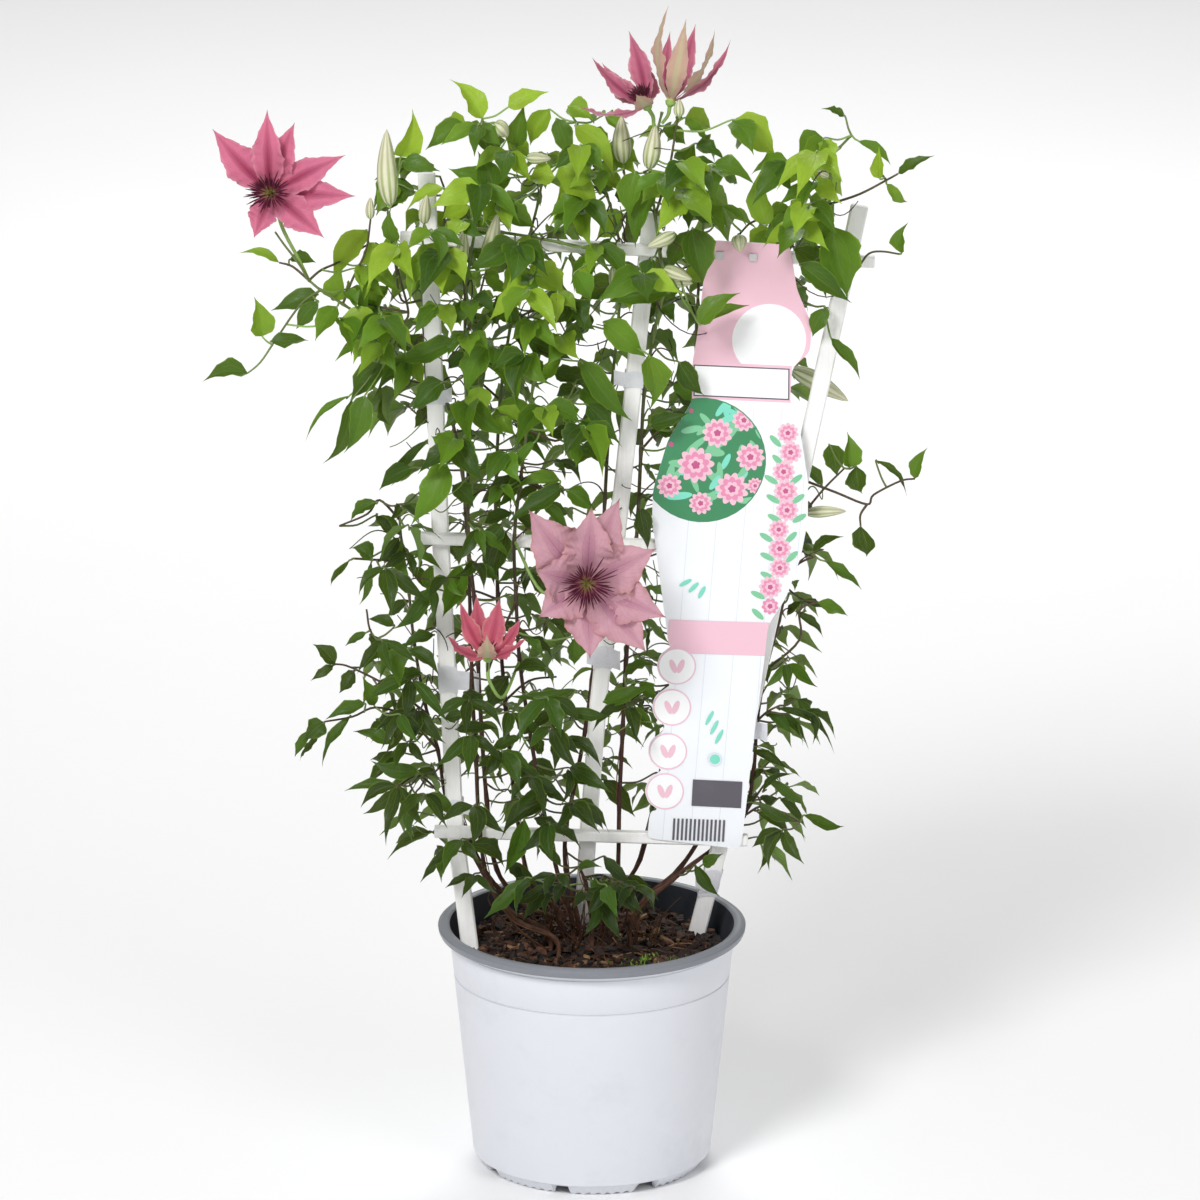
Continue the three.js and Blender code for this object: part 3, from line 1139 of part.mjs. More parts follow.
// Sample points of everything that the leaves keep clear of
function standing(crowd) {
  Object.entries(UPRIGHTS).forEach(([name, route]) => along(route.map(vector), 4).forEach((p) => {
    const points = [-3, 3].map((x) => p.clone().add(new THREE.Vector3(x, 0, 0)));
    crowd.add(points, name, 3.2);
  }));
  Object.values(RAILS).forEach((ends) => {
    crowd.add(along(ends.map(([x, z]) => new THREE.Vector3(x, RAIL_Y, z)), 4), "rail", 4.2);
  });
  const left = Math.min(...CARD_LEFT_EDGE.map((p) => p[0]));
  const right = Math.max(...CARD_OUTLINE.map((p) => p[0]));
  const cardY = CARD_BACK_Y - CARD_THICKNESS / 2;
  for (let z = 202; z < 586; z += 5)
    for (let x = left - 4; x < right; x += 5)
      if (insideCard(x, z)) crowd.add([new THREE.Vector3(x, cardY, z)], "card", 1);
  for (let z = POT_HEIGHT; z > 125; z -= 6)
    for (let k = 0; k < 90; k++) {
      const turn = (2 * Math.PI * k) / 90;
      crowd.add([new THREE.Vector3(90 * Math.cos(turn), 90 * Math.sin(turn), z)], "pot", 5);
    }
  for (let x = -84; x <= 84; x += 7)
    for (let y = -84; y <= 84; y += 7)
      if (Math.hypot(x, y) < 86) crowd.add([new THREE.Vector3(x, y, SOIL_TOP)], "soil", 4);
  TAPES.forEach(({ upright: name, z, height, flags }) => {
    const [x, y] = atHeight(UPRIGHTS[name], z);
    for (let h = -height / 2; h <= height / 2; h += 4) {
      crowd.add([-4, 0, 4].map((dx) => new THREE.Vector3(x + dx, y, z + h)), "tape", 4.6);
    }
    flags.forEach(([side, length, tall, drop]) => {
      for (let reach = 0; reach <= length; reach += 4)
        for (let h = -tall / 2; h <= tall / 2; h += 4) {
          const away = side * (UPRIGHT_WIDTH / 2 + reach);
          const fall = (drop * reach) / length;
          crowd.add([new THREE.Vector3(x + away, y - 4, z + h + fall)], "tape", 1.5);
        }
    });
  });
  BLOOMS.forEach((bloom) => {
    const centre = vector(bloom.centre);
    bloom.tips.forEach((tip) => {
      const rib = vector(tip).sub(centre);
      const across = new THREE.Vector3().crossVectors(rib, bloomAxis(bloom)).normalize();
      const up = new THREE.Vector3().crossVectors(across, rib).normalize();
      for (let t = 0.1; t <= 1; t += 0.1) {
        const half = bloom.width * 0.5 * Math.min(1, 2.4 * (1 - t));
        [-half, 0, half].forEach((u) => {
          const lift = bloom.arch * rib.length() * 4 * t * (1 - t);
          const at = centre.clone().addScaledVector(rib, t).addScaledVector(across, u);
          crowd.add([at.addScaledVector(up, lift)], bloom.name, 2);
        });
      }
    });
    const heart = centre.clone().addScaledVector(bloomAxis(bloom), 9);
    crowd.add([heart], bloom.name, 8);
  });
}

// Whether a place in the picture plane lies on the card
function insideCard(x, z) {
  const outline = cardOutline();
  let inside = false;
  outline.forEach(([ax, az], i) => {
    const [bx, bz] = outline[(i + 1) % outline.length];
    if (az > z !== bz > z && x < ax + ((bx - ax) * (z - az)) / (bz - az)) inside = !inside;
  });
  return inside;
}

const crowd = new Crowd(10);
standing(crowd);
VINES.forEach((vine) => {
  const routes = [rooted(vine.main.map(vector)), ...vine.sprigs.map((route) => route.map(vector))];
  const stalks = BLOOMS.filter((bloom) => bloom.vine === vine.name).map(stalkRoute);
  [...routes, ...stalks].forEach((route) => crowd.add(along(route, 3), vine.name, 2));
});
const grown = VINES.map((vine, order) => growVine(vine, order, crowd));
grown.forEach((one, order) => fillVine(one, order, crowd));

const clematis = new THREE.Group();
const add = (name, solid, colour, roughness) => clematis.add(meshOf(name, solid, colour, roughness));

add("pot", makePot(), COLOURS.pot, 0.45);
const uprightHoles = Object.values(UPRIGHTS).map((route) => {
  const deeper = [[route[0][0], route[0][1], route[0][2] - 2 * GAP], ...route.slice(1, 3)];
  return upright(deeper, UPRIGHT_WIDTH + 2 * GAP, UPRIGHT_DEPTH + 2 * GAP);
});
const stemHoles = VINES.map(({ main }) => {
  const top = vector(main[0]);
  const foot = top.clone().setZ(SOIL_TOP - ROOTING_DEPTH - GAP);
  return tube([foot, top, top.clone().setZ(top.z + 5)], Array(3).fill(STEM_ROOT_RADIUS + 0.5), 4);
});
add("soil", makeSoil().subtract(wasm.Manifold.union([...uprightHoles, ...stemHoles])), COLOURS.soil, 0.95);
Object.entries(UPRIGHTS).forEach(([name, route]) => {
  add("upright_" + name, upright(route, UPRIGHT_WIDTH, UPRIGHT_DEPTH), COLOURS.wood);
});
const pinBores = wasm.Manifold.union(CARD_PIN_HOLES.map((at) => makePin(at, GAP)));
Object.entries(RAILS).forEach(([name, ends]) => {
  const bar = rail(ends);
  add("crossbar_" + name, name === "top" ? bar.subtract(pinBores) : bar, COLOURS.wood);
});
TAPES.forEach((tape) => add(tape.name, makeTape(tape), COLOURS.tape, 0.5));
add("label_card", makeCard(), COLOURS.card, 0.35);
CARD_PIN_HOLES.forEach((at, i) => add("card_pin_" + (i ? "right" : "left"), makePin(at), COLOURS.pin, 0.4));
BLOOMS.forEach((bloom) => {
  add(bloom.name, makeBloom(bloom), bloom.colour, 0.55);
  add(bloom.name.replace("bloom", "stamens"), makeStamens(bloom), COLOURS.stamen, 0.6);
});
grown.forEach((one) => {
  const stalks = BLOOMS.filter((bloom) => bloom.vine === one.vine.name).map(stalkRoute);
  add(one.vine.name, vineSolid(one, stalks), COLOURS.leaf, 0.55);
});

export default clematis;
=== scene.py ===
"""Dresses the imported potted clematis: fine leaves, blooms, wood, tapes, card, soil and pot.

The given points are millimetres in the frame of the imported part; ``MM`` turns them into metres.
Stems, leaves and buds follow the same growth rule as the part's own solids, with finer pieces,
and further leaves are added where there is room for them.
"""

from __future__ import annotations

import logging
import math
from dataclasses import dataclass, field
from enum import Enum, IntEnum
from typing import Protocol, Sequence

import bpy
import numpy as np
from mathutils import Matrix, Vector

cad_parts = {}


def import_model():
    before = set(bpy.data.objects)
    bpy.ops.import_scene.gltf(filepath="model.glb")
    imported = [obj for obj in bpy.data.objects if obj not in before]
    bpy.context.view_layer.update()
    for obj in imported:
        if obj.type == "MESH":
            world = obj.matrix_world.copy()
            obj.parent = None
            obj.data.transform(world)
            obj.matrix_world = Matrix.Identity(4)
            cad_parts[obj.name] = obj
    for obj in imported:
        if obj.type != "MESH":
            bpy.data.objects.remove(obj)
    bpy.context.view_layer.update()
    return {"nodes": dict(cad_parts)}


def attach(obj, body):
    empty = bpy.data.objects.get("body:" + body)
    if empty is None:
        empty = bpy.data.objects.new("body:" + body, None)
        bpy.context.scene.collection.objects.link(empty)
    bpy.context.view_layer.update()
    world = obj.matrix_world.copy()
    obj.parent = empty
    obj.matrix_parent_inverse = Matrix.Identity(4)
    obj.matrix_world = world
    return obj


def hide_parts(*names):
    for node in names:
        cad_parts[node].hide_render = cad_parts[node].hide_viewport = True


LOG = logging.getLogger("clematis")

Point = tuple[float, float, float]
Colour = tuple[float, float, float, float]
Clouds = tuple[float, float, float]
Stops = tuple[tuple[float, str], ...]

MM = 0.001
BODY = "root"

SOIL_TOP = 139.0
ROOTING_DEPTH = 11.0

RAIL_Y = 3.35
UPRIGHTS: dict[str, tuple[Point, ...]] = {
    "left": ((-74.5, -11, 126), (-75, -10, 139), (-84, 10, 207), (-92, 10, 396), (-99, 10, 624)),
    "middle": (
        (-6.5, 27, 126), (-6, 25, 139), (-2.5, 10, 207), (4, 10, 293), (23, 10, 471), (36, 10, 600),
    ),
    "right": ((62.5, 21, 126), (65, 20, 139), (80.5, 10, 207), (161, 10, 604)),
}
RAILS: dict[str, tuple[Point, Point]] = {
    "bottom": ((-97, RAIL_Y, 211.5), (96, RAIL_Y, 205.9)),
    "middle": ((-107, RAIL_Y, 399), (127, RAIL_Y, 391.5)),
    "top": ((-115, RAIL_Y, 586), (170, RAIL_Y, 571)),
}

CARD_OUTLINE = (
    (69.8, 585.4), (119, 582.3), (123.4, 554.6), (132.6, 533), (131.5, 516.3), (120.8, 506.3),
    (119.7, 485.2), (125.9, 467.8), (131, 436.5), (131.2, 411.4), (127.2, 388.7), (118.3, 362.2),
    (107.4, 345), (105.7, 326), (99.9, 278), (95.9, 239.6), (91.8, 201.5), (33.9, 208.6),
    (35.7, 225.4),
)
CARD_LEFT_EDGE = (
    (46.8, 333), (41.5, 373.5), (36.6, 411.4), (37.1, 430.2), (46.1, 461.5), (60.6, 485.2),
    (60.5, 507.6), (64, 530),
)
CARD_LOBES = ((44.9, 238.9), (46.7, 264.6), (49.1, 292.8), (52, 319))

LEAF_SHOULDER = 0.3
LEAF_WAIST = 0.66
LEAF_WAIST_WIDTH = 0.62
LEAF_ARCH = 0.09
LEAF_SAMPLE = 4
OLD_LEAF_TOP = 200
FRESH_LEAF_RISE = 400
SHADED_BEHIND = 25
SLIM_LEAF = 9
BROAD_LEAF = 11
FINE_BLADE = (12, 9)
PLAIN_BLADE = (10, 7)
STEM_STEP = 3
SOLID_STEP = 4
DEPTH_TRIES = (0, -7, 7, -14, 14, -21, 21, -28, 28)
GOLDEN_ANGLE = 2.39996
FILL_SHARES = {
    "vine_left_outer": 0.05, "vine_left": 0.06, "vine_left_top": 0, "vine_centre_left": 0.06,
    "vine_centre": 0.1, "vine_centre_right": 0.1, "vine_right": 0.06, "vine_right_top": 0.1,
    "vine_arch": 0.3, "vine_back_left": 0.35, "vine_back_right": 0.33, "basal_shoots": 0.2,
}


@dataclass(frozen=True)
class Vine:
    """A stem from the soil with its side sprigs, and rows of the leaves and buds that show.

    A row holds base x, base z, tip x, tip z, width and depth y.
    """

    name: str
    main: tuple[Point, ...]
    sprigs: tuple[tuple[Point, ...], ...] = ()
    leaves: tuple[tuple[float, ...], ...] = ()
    buds: tuple[tuple[float, ...], ...] = ()


@dataclass(frozen=True)
class Tape:
    """A tape round an upright: its height on it, its width, and flags that stick out of it.

    A flag holds its side, length, height and drop.
    """

    name: str
    upright: str
    z: float
    height: float
    flags: tuple[tuple[float, float, float, float], ...]


@dataclass(frozen=True)
class Bloom:
    """A flower: its heart, the way it faces, its sepal tips and its colours."""

    name: str
    vine: str
    centre: Point
    facing: Point
    stalk: tuple[Point, ...]
    width: float
    arch: float
    spread: float
    tips: tuple[Point, ...]
    colours: tuple[str, str, str, str]
    stamen_length: float = 13.5
    pale_bars: float = 0.0

    @property
    def axis(self) -> np.ndarray:
        """The unit vector along which the flower faces."""
        return unit(np.array(self.facing, float))


TAPES = (
    Tape("tape_left_lower", "left", 226, 9, ((1, 9, 7, -4), (-1, 7, 6, -4))),
    Tape("tape_left_middle", "left", 308, 17, ((1, 14, 12, -2),)),
    Tape("tape_left_upper", "left", 487, 11, ((1, 5, 9, 1),)),
    Tape("tape_middle_lower", "middle", 322, 14, ((1, 5, 12, -2), (-1, 5, 11, 2))),
    Tape("tape_middle_upper", "middle", 497, 10, ((-1, 7, 9, 2),)),
    Tape("tape_right_lower", "right", 175, 18, ((-1, 4, 10, 3),)),
    Tape("tape_right_middle", "right", 276, 12, ((1, 8, 11, -2),)),
)

BLOOMS = (
    Bloom(
        "bloom_left", "vine_left_top", (-190, -38, 622), (-0.12, -0.95, 0.25),
        ((-169, -20, 565), (-174, -26, 578), (-184, -31, 600)), 18, 0.05, 0.75,
        ((-224, -42, 662), (-191, -48, 675), (-175, -42, 666), (-145, -46, 647), (-139, -50, 623),
         (-158, -52, 598), (-200, -48, 597)),
        ("d3718f", "9c2b52", "dd97a8", "cf9f9c"), 19,
    ),
    Bloom(
        "bloom_front", "vine_centre_left", (-3, -44, 384), (0.05, -0.98, 0.15),
        ((-47, -6, 400), (-30, -22, 372), (-8, -32, 376)), 27, 0.06, 0.8,
        ((-38, -52, 432), (0, -56, 435), (17, -48, 438), (39, -50, 407), (45, -54, 365),
         (33, -54, 343), (-1, -54, 339), (-32, -58, 366), (-34, -60, 396)),
        ("d3a0ae", "b57a92", "c9908c", "d3cfae"), 24, 1,
    ),
    Bloom(
        "bloom_low", "vine_centre_left", (-63, -34, 334), (0, -0.35, 0.94),
        ((-44, -6, 324), (-54, -24, 306), (-62, -31, 318)), 12, -0.14, 0.3,
        ((-88, -42, 352), (-80, -22, 367), (-70, -14, 369), (-56, -16, 367), (-43, -28, 358),
         (-39, -44, 350), (-63, -58, 356)),
        ("d5697f", "bd3f60", "e0b0a4", "c3cda0"), 10,
    ),
    Bloom(
        "bloom_top_left", "vine_centre_right", (33, -10, 669), (-0.45, -0.2, 0.87),
        ((38, -8, 648), (37, -9, 657)), 12, -0.12, 0.4,
        ((-11, -22, 673), (0, -6, 698), (6, 12, 691), (22, 4, 712), (33, 16, 690), (26, -38, 682)),
        ("c8708a", "a03c60", "dcb3b4", "c6c597"), 13,
    ),
    Bloom(
        "bloom_top_right", "vine_centre_right", (47, -8, 671), (0.18, 0, 0.98),
        ((42, -8, 658),), 12, -0.14, 0.22,
        ((46, -14, 731), (56, -24, 725), (62, 10, 715), (73, -16, 717), (83, 4, 707), (47, 18, 709)),
        ("c8708a", "a03c60", "dcb3b4", "c6c597"), 12,
    ),
)
VINES: tuple[Vine, ...] = (
    Vine(
        "vine_left_outer",
        main=(
            (-27, -16, 151), (-52, -10, 166), (-67, 10, 182), (-79, 20, 202), (-90, 22, 226),
            (-95, 20, 259), (-103, 16, 292), (-109, 14, 331), (-112, 16, 362), (-116, 20, 390),
            (-118, 22, 415),
        ),
        sprigs=(
            ((-90, 22, 226), (-106, 4, 247), (-119, -8, 244),),
            ((-95, 20, 259), (-113, 6, 284), (-132, -6, 294), (-146, -12, 290), (-163, -16, 288),),
            ((-100, 17, 282), (-121, 24, 296), (-148, 26, 310), (-159, 24, 313),),
            ((-109, 14, 325), (-121, 2, 325), (-134, -8, 342), (-137, -8, 357),),
            ((-115, 18, 381), (-131, 0, 386), (-145, -8, 389),),
            ((-117, 22, 405), (-129, 6, 422), (-136, 0, 415), (-153, -6, 409),),
        ),
        leaves=(
            (-158, 313, -171, 326, 10, 22), (-159, 312, -173, 304, 6, 24),
            (-146, 310, -156, 297, 9, 20), (-133, 294, -140, 314, 9, -2),
            (-138, 299, -163, 291, 10, -14), (-147, 292, -167, 261, 7, -16),
            (-163, 288, -176, 278, 12, -18), (-171, 284, -182, 265, 6, -20),
            (-167, 278, -179, 260, 6, -12), (-120, 290, -127, 275, 12, -6),
            (-122, 272, -146, 280, 9, -2), (-114, 283, -115, 306, 10, -4),
            (-106, 254, -135, 262, 10, -10), (-120, 246, -152, 242, 7, -12),
            (-119, 241, -141, 224, 7, -4), (-108, 237, -116, 217, 7, 4),
            (-107, 237, -111, 207, 7, -6), (-120, 346, -137, 350, 8, -6),
            (-137, 343, -151, 335, 5, -10), (-135, 342, -128, 326, 8, -12),
            (-96, 338, -117, 330, 9, 2), (-104, 314, -123, 310, 9, 0),
            (-130, 422, -148, 409, 9, 2), (-133, 388, -147, 394, 11, -6),
            (-117, 399, -131, 384, 8, 4), (-134, 385, -142, 356, 5, 0),
            (-147, 388, -161, 370, 4, -8),
        ),
    ),
    Vine(
        "vine_left",
        main=(
            (-22, -26, 151), (-48, -24, 164), (-63, -16, 184), (-69, -6, 215), (-71, -4, 260),
            (-73, -3, 304), (-74, -3, 349), (-75, -4, 400), (-75, -4, 456), (-76, -4, 500),
            (-76, -4, 543), (-73, -6, 573), (-68, -10, 603), (-63, -8, 624), (-58, -4, 641),
        ),
        sprigs=(
            ((-58, -4, 641), (-64, -2, 653), (-65, -4, 660),),
            ((-58, -4, 641), (-49, 2, 639), (-46, 4, 642),),
            ((-73, -6, 573), (-91, -16, 581), (-98, -18, 579), (-101, -18, 589), (-100, -18, 599),),
            ((-76, -4, 531), (-76, -14, 551), (-77, -16, 574),),
            ((-76, -4, 524), (-68, -16, 552), (-63, -18, 571),),
        ),
        leaves=(
            (-65, 660, -84, 684, 14, -4), (-50, 666, -25, 675, 11, 0), (-45, 641, -40, 668, 12, 6),
            (-59, 641, -72, 652, 8, -10), (-61, 619, -86, 631, 14, -14),
            (-59, 621, -68, 643, 15, -12), (-82, 580, -107, 554, 19, -22),
            (-88, 619, -113, 603, 11, -16), (-62, 523, -75, 493, 16, -14),
            (-68, 498, -71, 476, 15, -12), (-82, 528, -123, 516, 14, -22),
            (-89, 503, -109, 486, 15, -22), (-82, 465, -97, 468, 12, -20),
            (-87, 452, -111, 415, 18, -22), (-84, 436, -71, 422, 12, -12),
            (-79, 385, -91, 352, 14, -16), (-78, 306, -66, 291, 13, -14),
            (-51, 314, -65, 286, 15, -20), (-78, 293, -91, 289, 8, -18),
            (-83, 283, -56, 283, 8, -16), (-76, 277, -78, 258, 8, -14),
            (-75, 212, -53, 196, 12, -26), (-52, 408, -60, 374, 15, -18),
            (-54, 414, -69, 399, 11, -14),
        ),
        buds=(
            (-100, 599, -98, 618, 7, -18), (-63, 571, -56, 606, 10, -18),
            (-77, 574, -76, 595, 7, -16), (-39, 637, -24, 637, 7, 0), (-58, 658, -50, 649, 10, -6),
        ),
    ),
    Vine(
        "vine_left_top",
        main=(
            (-20, 2, 153), (-41, 16, 159), (-59, 24, 180), (-65, 24, 225), (-68, 24, 270),
            (-70, 24, 315), (-72, 24, 354), (-76, 24, 392), (-79, 24, 436), (-85, 22, 468),
            (-92, 20, 491), (-101, 19, 510), (-114, -6, 524), (-133, -14, 538), (-149, -18, 550),
            (-162, -20, 559), (-169, -20, 565),
        ),
        sprigs=(
            ((-114, -6, 524), (-114, -10, 535), (-110, -10, 543), (-116, -12, 569),
             (-121, -12, 594), (-122, -12, 609),),
            ((-149, -18, 550), (-143, -16, 565), (-135, -14, 582), (-132, -14, 601),),
            ((-162, -20, 559), (-174, -24, 551), (-191, -26, 527),),
            ((-110, -10, 543), (-128, -4, 545), (-144, 4, 546),),
            ((-169, -20, 565), (-162, -10, 569), (-151, 0, 572), (-134, 8, 581),),
            ((-169, -21, 565), (-174, -27, 576), (-183, -33, 590), (-188, -35, 598),),
            ((-169, -20, 565), (-179, -14, 572), (-187, -12, 574),),
        ),
        leaves=(
            (-197, 532, -201, 557, 15, -26), (-206, 510, -233, 506, 12, -28),
            (-192, 530, -169, 531, 10, -30), (-164, 555, -193, 545, 12, -14),
            (-163, 554, -177, 535, 10, -28), (-152, 550, -166, 529, 13, -24),
            (-156, 552, -149, 573, 14, -12), (-187, 574, -211, 581, 6, -12),
            (-181, 575, -165, 573, 8, -8), (-135, 591, -156, 558, 15, 2),
            (-122, 557, -132, 537, 12, -2), (-117, 587, -121, 608, 9, -16),
            (-114, 637, -106, 667, 14, -4), (-113, 636, -90, 631, 11, -8),
            (-132, 527, -155, 512, 6, -8), (-125, 511, -146, 488, 16, -12),
            (-136, 495, -149, 460, 14, -16), (-144, 491, -160, 449, 9, -10),
            (-146, 490, -174, 463, 5, -4), (-104, 507, -133, 487, 14, 2),
            (-100, 456, -128, 429, 6, 6), (-109, 440, -130, 425, 11, 8),
            (-121, 545, -118, 521, 11, 2), (-99, 375, -96, 349, 12, 4),
        ),
        buds=(
            (-120, 608, -122, 655, 12, -12), (-132, 601, -132, 614, 5, -14),
            (-127, 563, -130, 579, 6, -10),
        ),
    ),
    Vine(
        "vine_centre_left",
        main=(
            (-12, -10, 157), (-20, -14, 186), (-27, -12, 217), (-33, -10, 249), (-39, -8, 287),
            (-44, -6, 324), (-46, -6, 362), (-47, -6, 400), (-43, -6, 438), (-39, -8, 470),
            (-35, -8, 498), (-28, -8, 532), (-21, -10, 560), (-15, -16, 578),
        ),
        sprigs=(
            ((-46, -6, 362), (-56, -22, 342), (-63, -30, 324), (-63, -34, 331),),
            ((-39, -8, 470), (-19, -14, 465), (-15, -14, 490),),
            ((-43, -6, 438), (-28, -16, 434), (-13, -18, 435),),
            ((-39, -8, 287), (-25, -16, 297), (-16, -18, 301),),
            ((-33, -10, 249), (-44, -16, 258), (-52, -20, 265),),
        ),
        leaves=(
            (-62, 511, -44, 482, 13, -6), (-57, 485, -37, 473, 9, -14),
            (-39, 528, -11, 514, 14, -16), (-18, 515, -33, 502, 8, -12),
            (-17, 492, -15, 475, 13, -20), (-7, 515, 25, 476, 14, -20),
            (-9, 501, 18, 491, 10, -10), (-3, 487, 16, 466, 12, -14), (-9, 473, -28, 468, 8, -20),
            (6, 457, -11, 449, 10, -12), (-34, 465, -55, 447, 7, -18),
            (-18, 439, -52, 416, 13, -26), (-15, 436, 3, 423, 11, -22),
            (-19, 439, -49, 436, 11, -12), (-27, 324, -49, 323, 10, -22),
            (-10, 308, -53, 305, 6, -16), (-10, 342, -10, 322, 12, -16),
            (-24, 296, -38, 285, 7, -22), (-14, 297, 12, 294, 8, -22),
            (-51, 264, -24, 241, 9, -20), (-19, 255, 5, 247, 7, -20),
            (-27, 239, -56, 214, 13, -18), (-41, 230, -54, 193, 11, -22),
            (-35, 228, -15, 216, 9, -22), (-37, 574, -15, 552, 18, -20),
            (-49, 574, -43, 544, 16, -14), (-57, 265, -71, 261, 6, -20),
        ),
    ),
    Vine(
        "vine_centre",
        main=(
            (-9, 8, 154), (-16, 14, 183), (-16, 20, 207), (-10, 24, 238), (-4, 26, 270),
            (0, 26, 302), (4, 26, 340), (6, 26, 379), (8, 26, 417), (10, 26, 455), (12, 26, 486),
            (15, 22, 518), (17, 18, 544), (18, 14, 568), (15, 10, 590), (9, 4, 612), (3, 0, 631),
        ),
        sprigs=(
            ((15, 10, 590), (22, 0, 604), (21, -4, 617), (19, -6, 630),),
            ((9, 4, 612), (-7, -2, 624), (-18, -4, 634),),
            ((3, 0, 631), (-4, -2, 647), (-9, 0, 657),),
            ((0, 26, 302), (17, 16, 293), (23, 0, 296),),
        ),
        leaves=(
            (-25, 664, -37, 640, 12, -2), (-21, 661, -12, 634, 12, -8), (-14, 666, 1, 659, 14, 4),
            (-10, 658, 15, 625, 15, -14), (-19, 635, 7, 606, 17, -18),
            (-22, 626, -40, 621, 17, -12), (-48, 623, -68, 605, 14, -6),
            (-52, 608, -33, 595, 14, -14), (-1, 652, 13, 642, 10, 2), (7, 538, 34, 514, 16, -14),
            (34, 522, 35, 485, 17, -24), (46, 559, 8, 551, 15, -18), (7, 297, 40, 310, 11, -4),
            (20, 316, 40, 324, 8, -2), (7, 238, 27, 211, 11, 4), (-13, 232, 13, 216, 9, 2),
            (7, 207, 26, 186, 9, -4), (-10, 575, 0, 556, 13, -14),
        ),
        buds=(
            (19, 630, 18, 660, 11, -6), (13, 570, 13, 551, 5, -10),
        ),
    ),
    Vine(
        "vine_centre_right",
        main=(
            (12, 4, 156), (16, 10, 184), (17, 14, 228), (19, 16, 273), (21, 16, 318),
            (25, 16, 362), (28, 16, 407), (30, 16, 451), (32, 16, 488), (38, 14, 526),
            (44, 4, 557), (41, -8, 578), (38, -12, 603), (35, -10, 627), (38, -8, 648),
            (42, -8, 665),
        ),
        sprigs=(
            ((38, -12, 603), (46, -14, 631), (50, -14, 655), (52, -14, 666),),
            ((35, -10, 627), (31, -12, 629), (34, -14, 631),),
            ((44, 4, 557), (50, -10, 566), (59, -16, 575),),
            ((30, 16, 451), (41, 6, 466), (53, -6, 478),),
        ),
        leaves=(
            (26, 631, 23, 602, 15, -18), (38, 621, 26, 583, 14, -14), (42, 632, 29, 613, 12, -20),
            (46, 626, 67, 624, 11, -12), (59, 635, 75, 633, 5, -6), (66, 609, 49, 610, 16, -14),
            (60, 598, 67, 562, 20, -24), (58, 594, 47, 566, 12, -14), (36, 580, 35, 565, 11, -20),
            (64, 541, 89, 560, 13, -18), (66, 537, 95, 548, 7, -20), (52, 513, 68, 490, 12, -12),
            (35, 472, 59, 481, 11, -6), (38, 603, 52, 596, 10, -8), (29, 421, 35, 394, 12, 6),
            (29, 306, 39, 296, 9, -8),
        ),
        buds=(
            (34, 631, 38, 658, 10, -14), (52, 666, 52, 676, 6, -14), (50, 593, 33, 586, 8, -18),
            (43, 572, 60, 566, 8, -18), (43, 558, 61, 558, 6, -20),
        ),
    ),
    Vine(
        "vine_right",
        main=(
            (25, -12, 160), (49, -4, 182), (77, 22, 196), (94, 24, 215), (100, 26, 244),
            (102, 26, 276), (107, 26, 308), (115, 24, 341), (121, 22, 373), (126, 18, 406),
            (130, 18, 431),
        ),
        sprigs=(
            ((130, 18, 431), (148, 6, 427), (167, 0, 421), (171, 0, 427), (187, 2, 435),
             (196, 4, 436),),
            ((167, 0, 421), (163, -2, 415), (163, -4, 409),),
            ((126, 18, 406), (140, 6, 428), (153, 2, 443),),
            ((121, 22, 373), (128, 10, 382), (136, 4, 387),),
            ((107, 26, 308), (127, 14, 331), (127, 10, 351), (138, 8, 357),),
            ((102, 26, 276), (108, 12, 286), (115, 8, 291),),
            ((94, 24, 215), (104, 14, 235), (110, 10, 244),),
            ((94, 24, 215), (107, 6, 227), (128, 2, 218),),
        ),
        leaves=(
            (156, 444, 155, 466, 13, 0), (144, 457, 149, 435, 13, 6), (160, 446, 164, 427, 12, -4),
            (172, 448, 194, 426, 5, 2), (196, 436, 202, 456, 8, 4), (163, 409, 167, 388, 13, -6),
            (134, 392, 153, 402, 6, 2), (142, 384, 167, 368, 8, 4), (138, 357, 157, 347, 10, 8),
            (125, 350, 143, 333, 6, 12), (113, 291, 152, 264, 6, 4), (106, 283, 135, 259, 8, 10),
            (108, 284, 124, 271, 7, 16), (99, 259, 121, 248, 6, 18), (105, 237, 124, 249, 5, 10),
            (108, 244, 131, 225, 6, 8), (102, 230, 127, 219, 7, 2), (102, 222, 123, 204, 7, 10),
            (130, 223, 156, 214, 7, 0), (63, 196, 78, 175, 8, -16), (68, 195, 80, 204, 8, -12),
            (104, 319, 108, 301, 8, 20),
        ),
        buds=(
            (130, 411, 155, 413, 7, 10),
        ),
    ),
    Vine(
        "vine_right_top",
        main=(
            (30, 20, 158), (55, 34, 178), (72, 42, 206), (81, 42, 245), (87, 40, 285),
            (93, 38, 324), (98, 38, 363), (104, 38, 401), (109, 38, 439), (111, 36, 477),
            (112, 32, 516), (115, 24, 549), (123, 14, 576), (134, 4, 595), (142, 0, 610),
            (143, 0, 623), (142, 0, 634), (148, -2, 642), (155, -4, 650),
        ),
        sprigs=(
            ((142, 0, 610), (125, -6, 607), (117, -8, 604),),
            ((142, 0, 607), (160, -4, 614), (176, -6, 623), (183, -6, 627),),
            ((176, -6, 623), (172, -4, 628),),
            ((123, 14, 576), (107, 6, 595), (96, 0, 596), (88, -4, 589),),
            ((123, 14, 576), (142, -8, 582), (157, -9, 570), (166, -6, 578), (174, -4, 579),
             (184, -2, 577),),
            ((115, 24, 549), (133, 12, 542), (140, 2, 544),),
        ),
        leaves=(
            (138, 607, 129, 592, 13, -10), (144, 601, 132, 582, 12, -14),
            (144, 597, 154, 552, 24, -16), (121, 583, 141, 550, 16, -12),
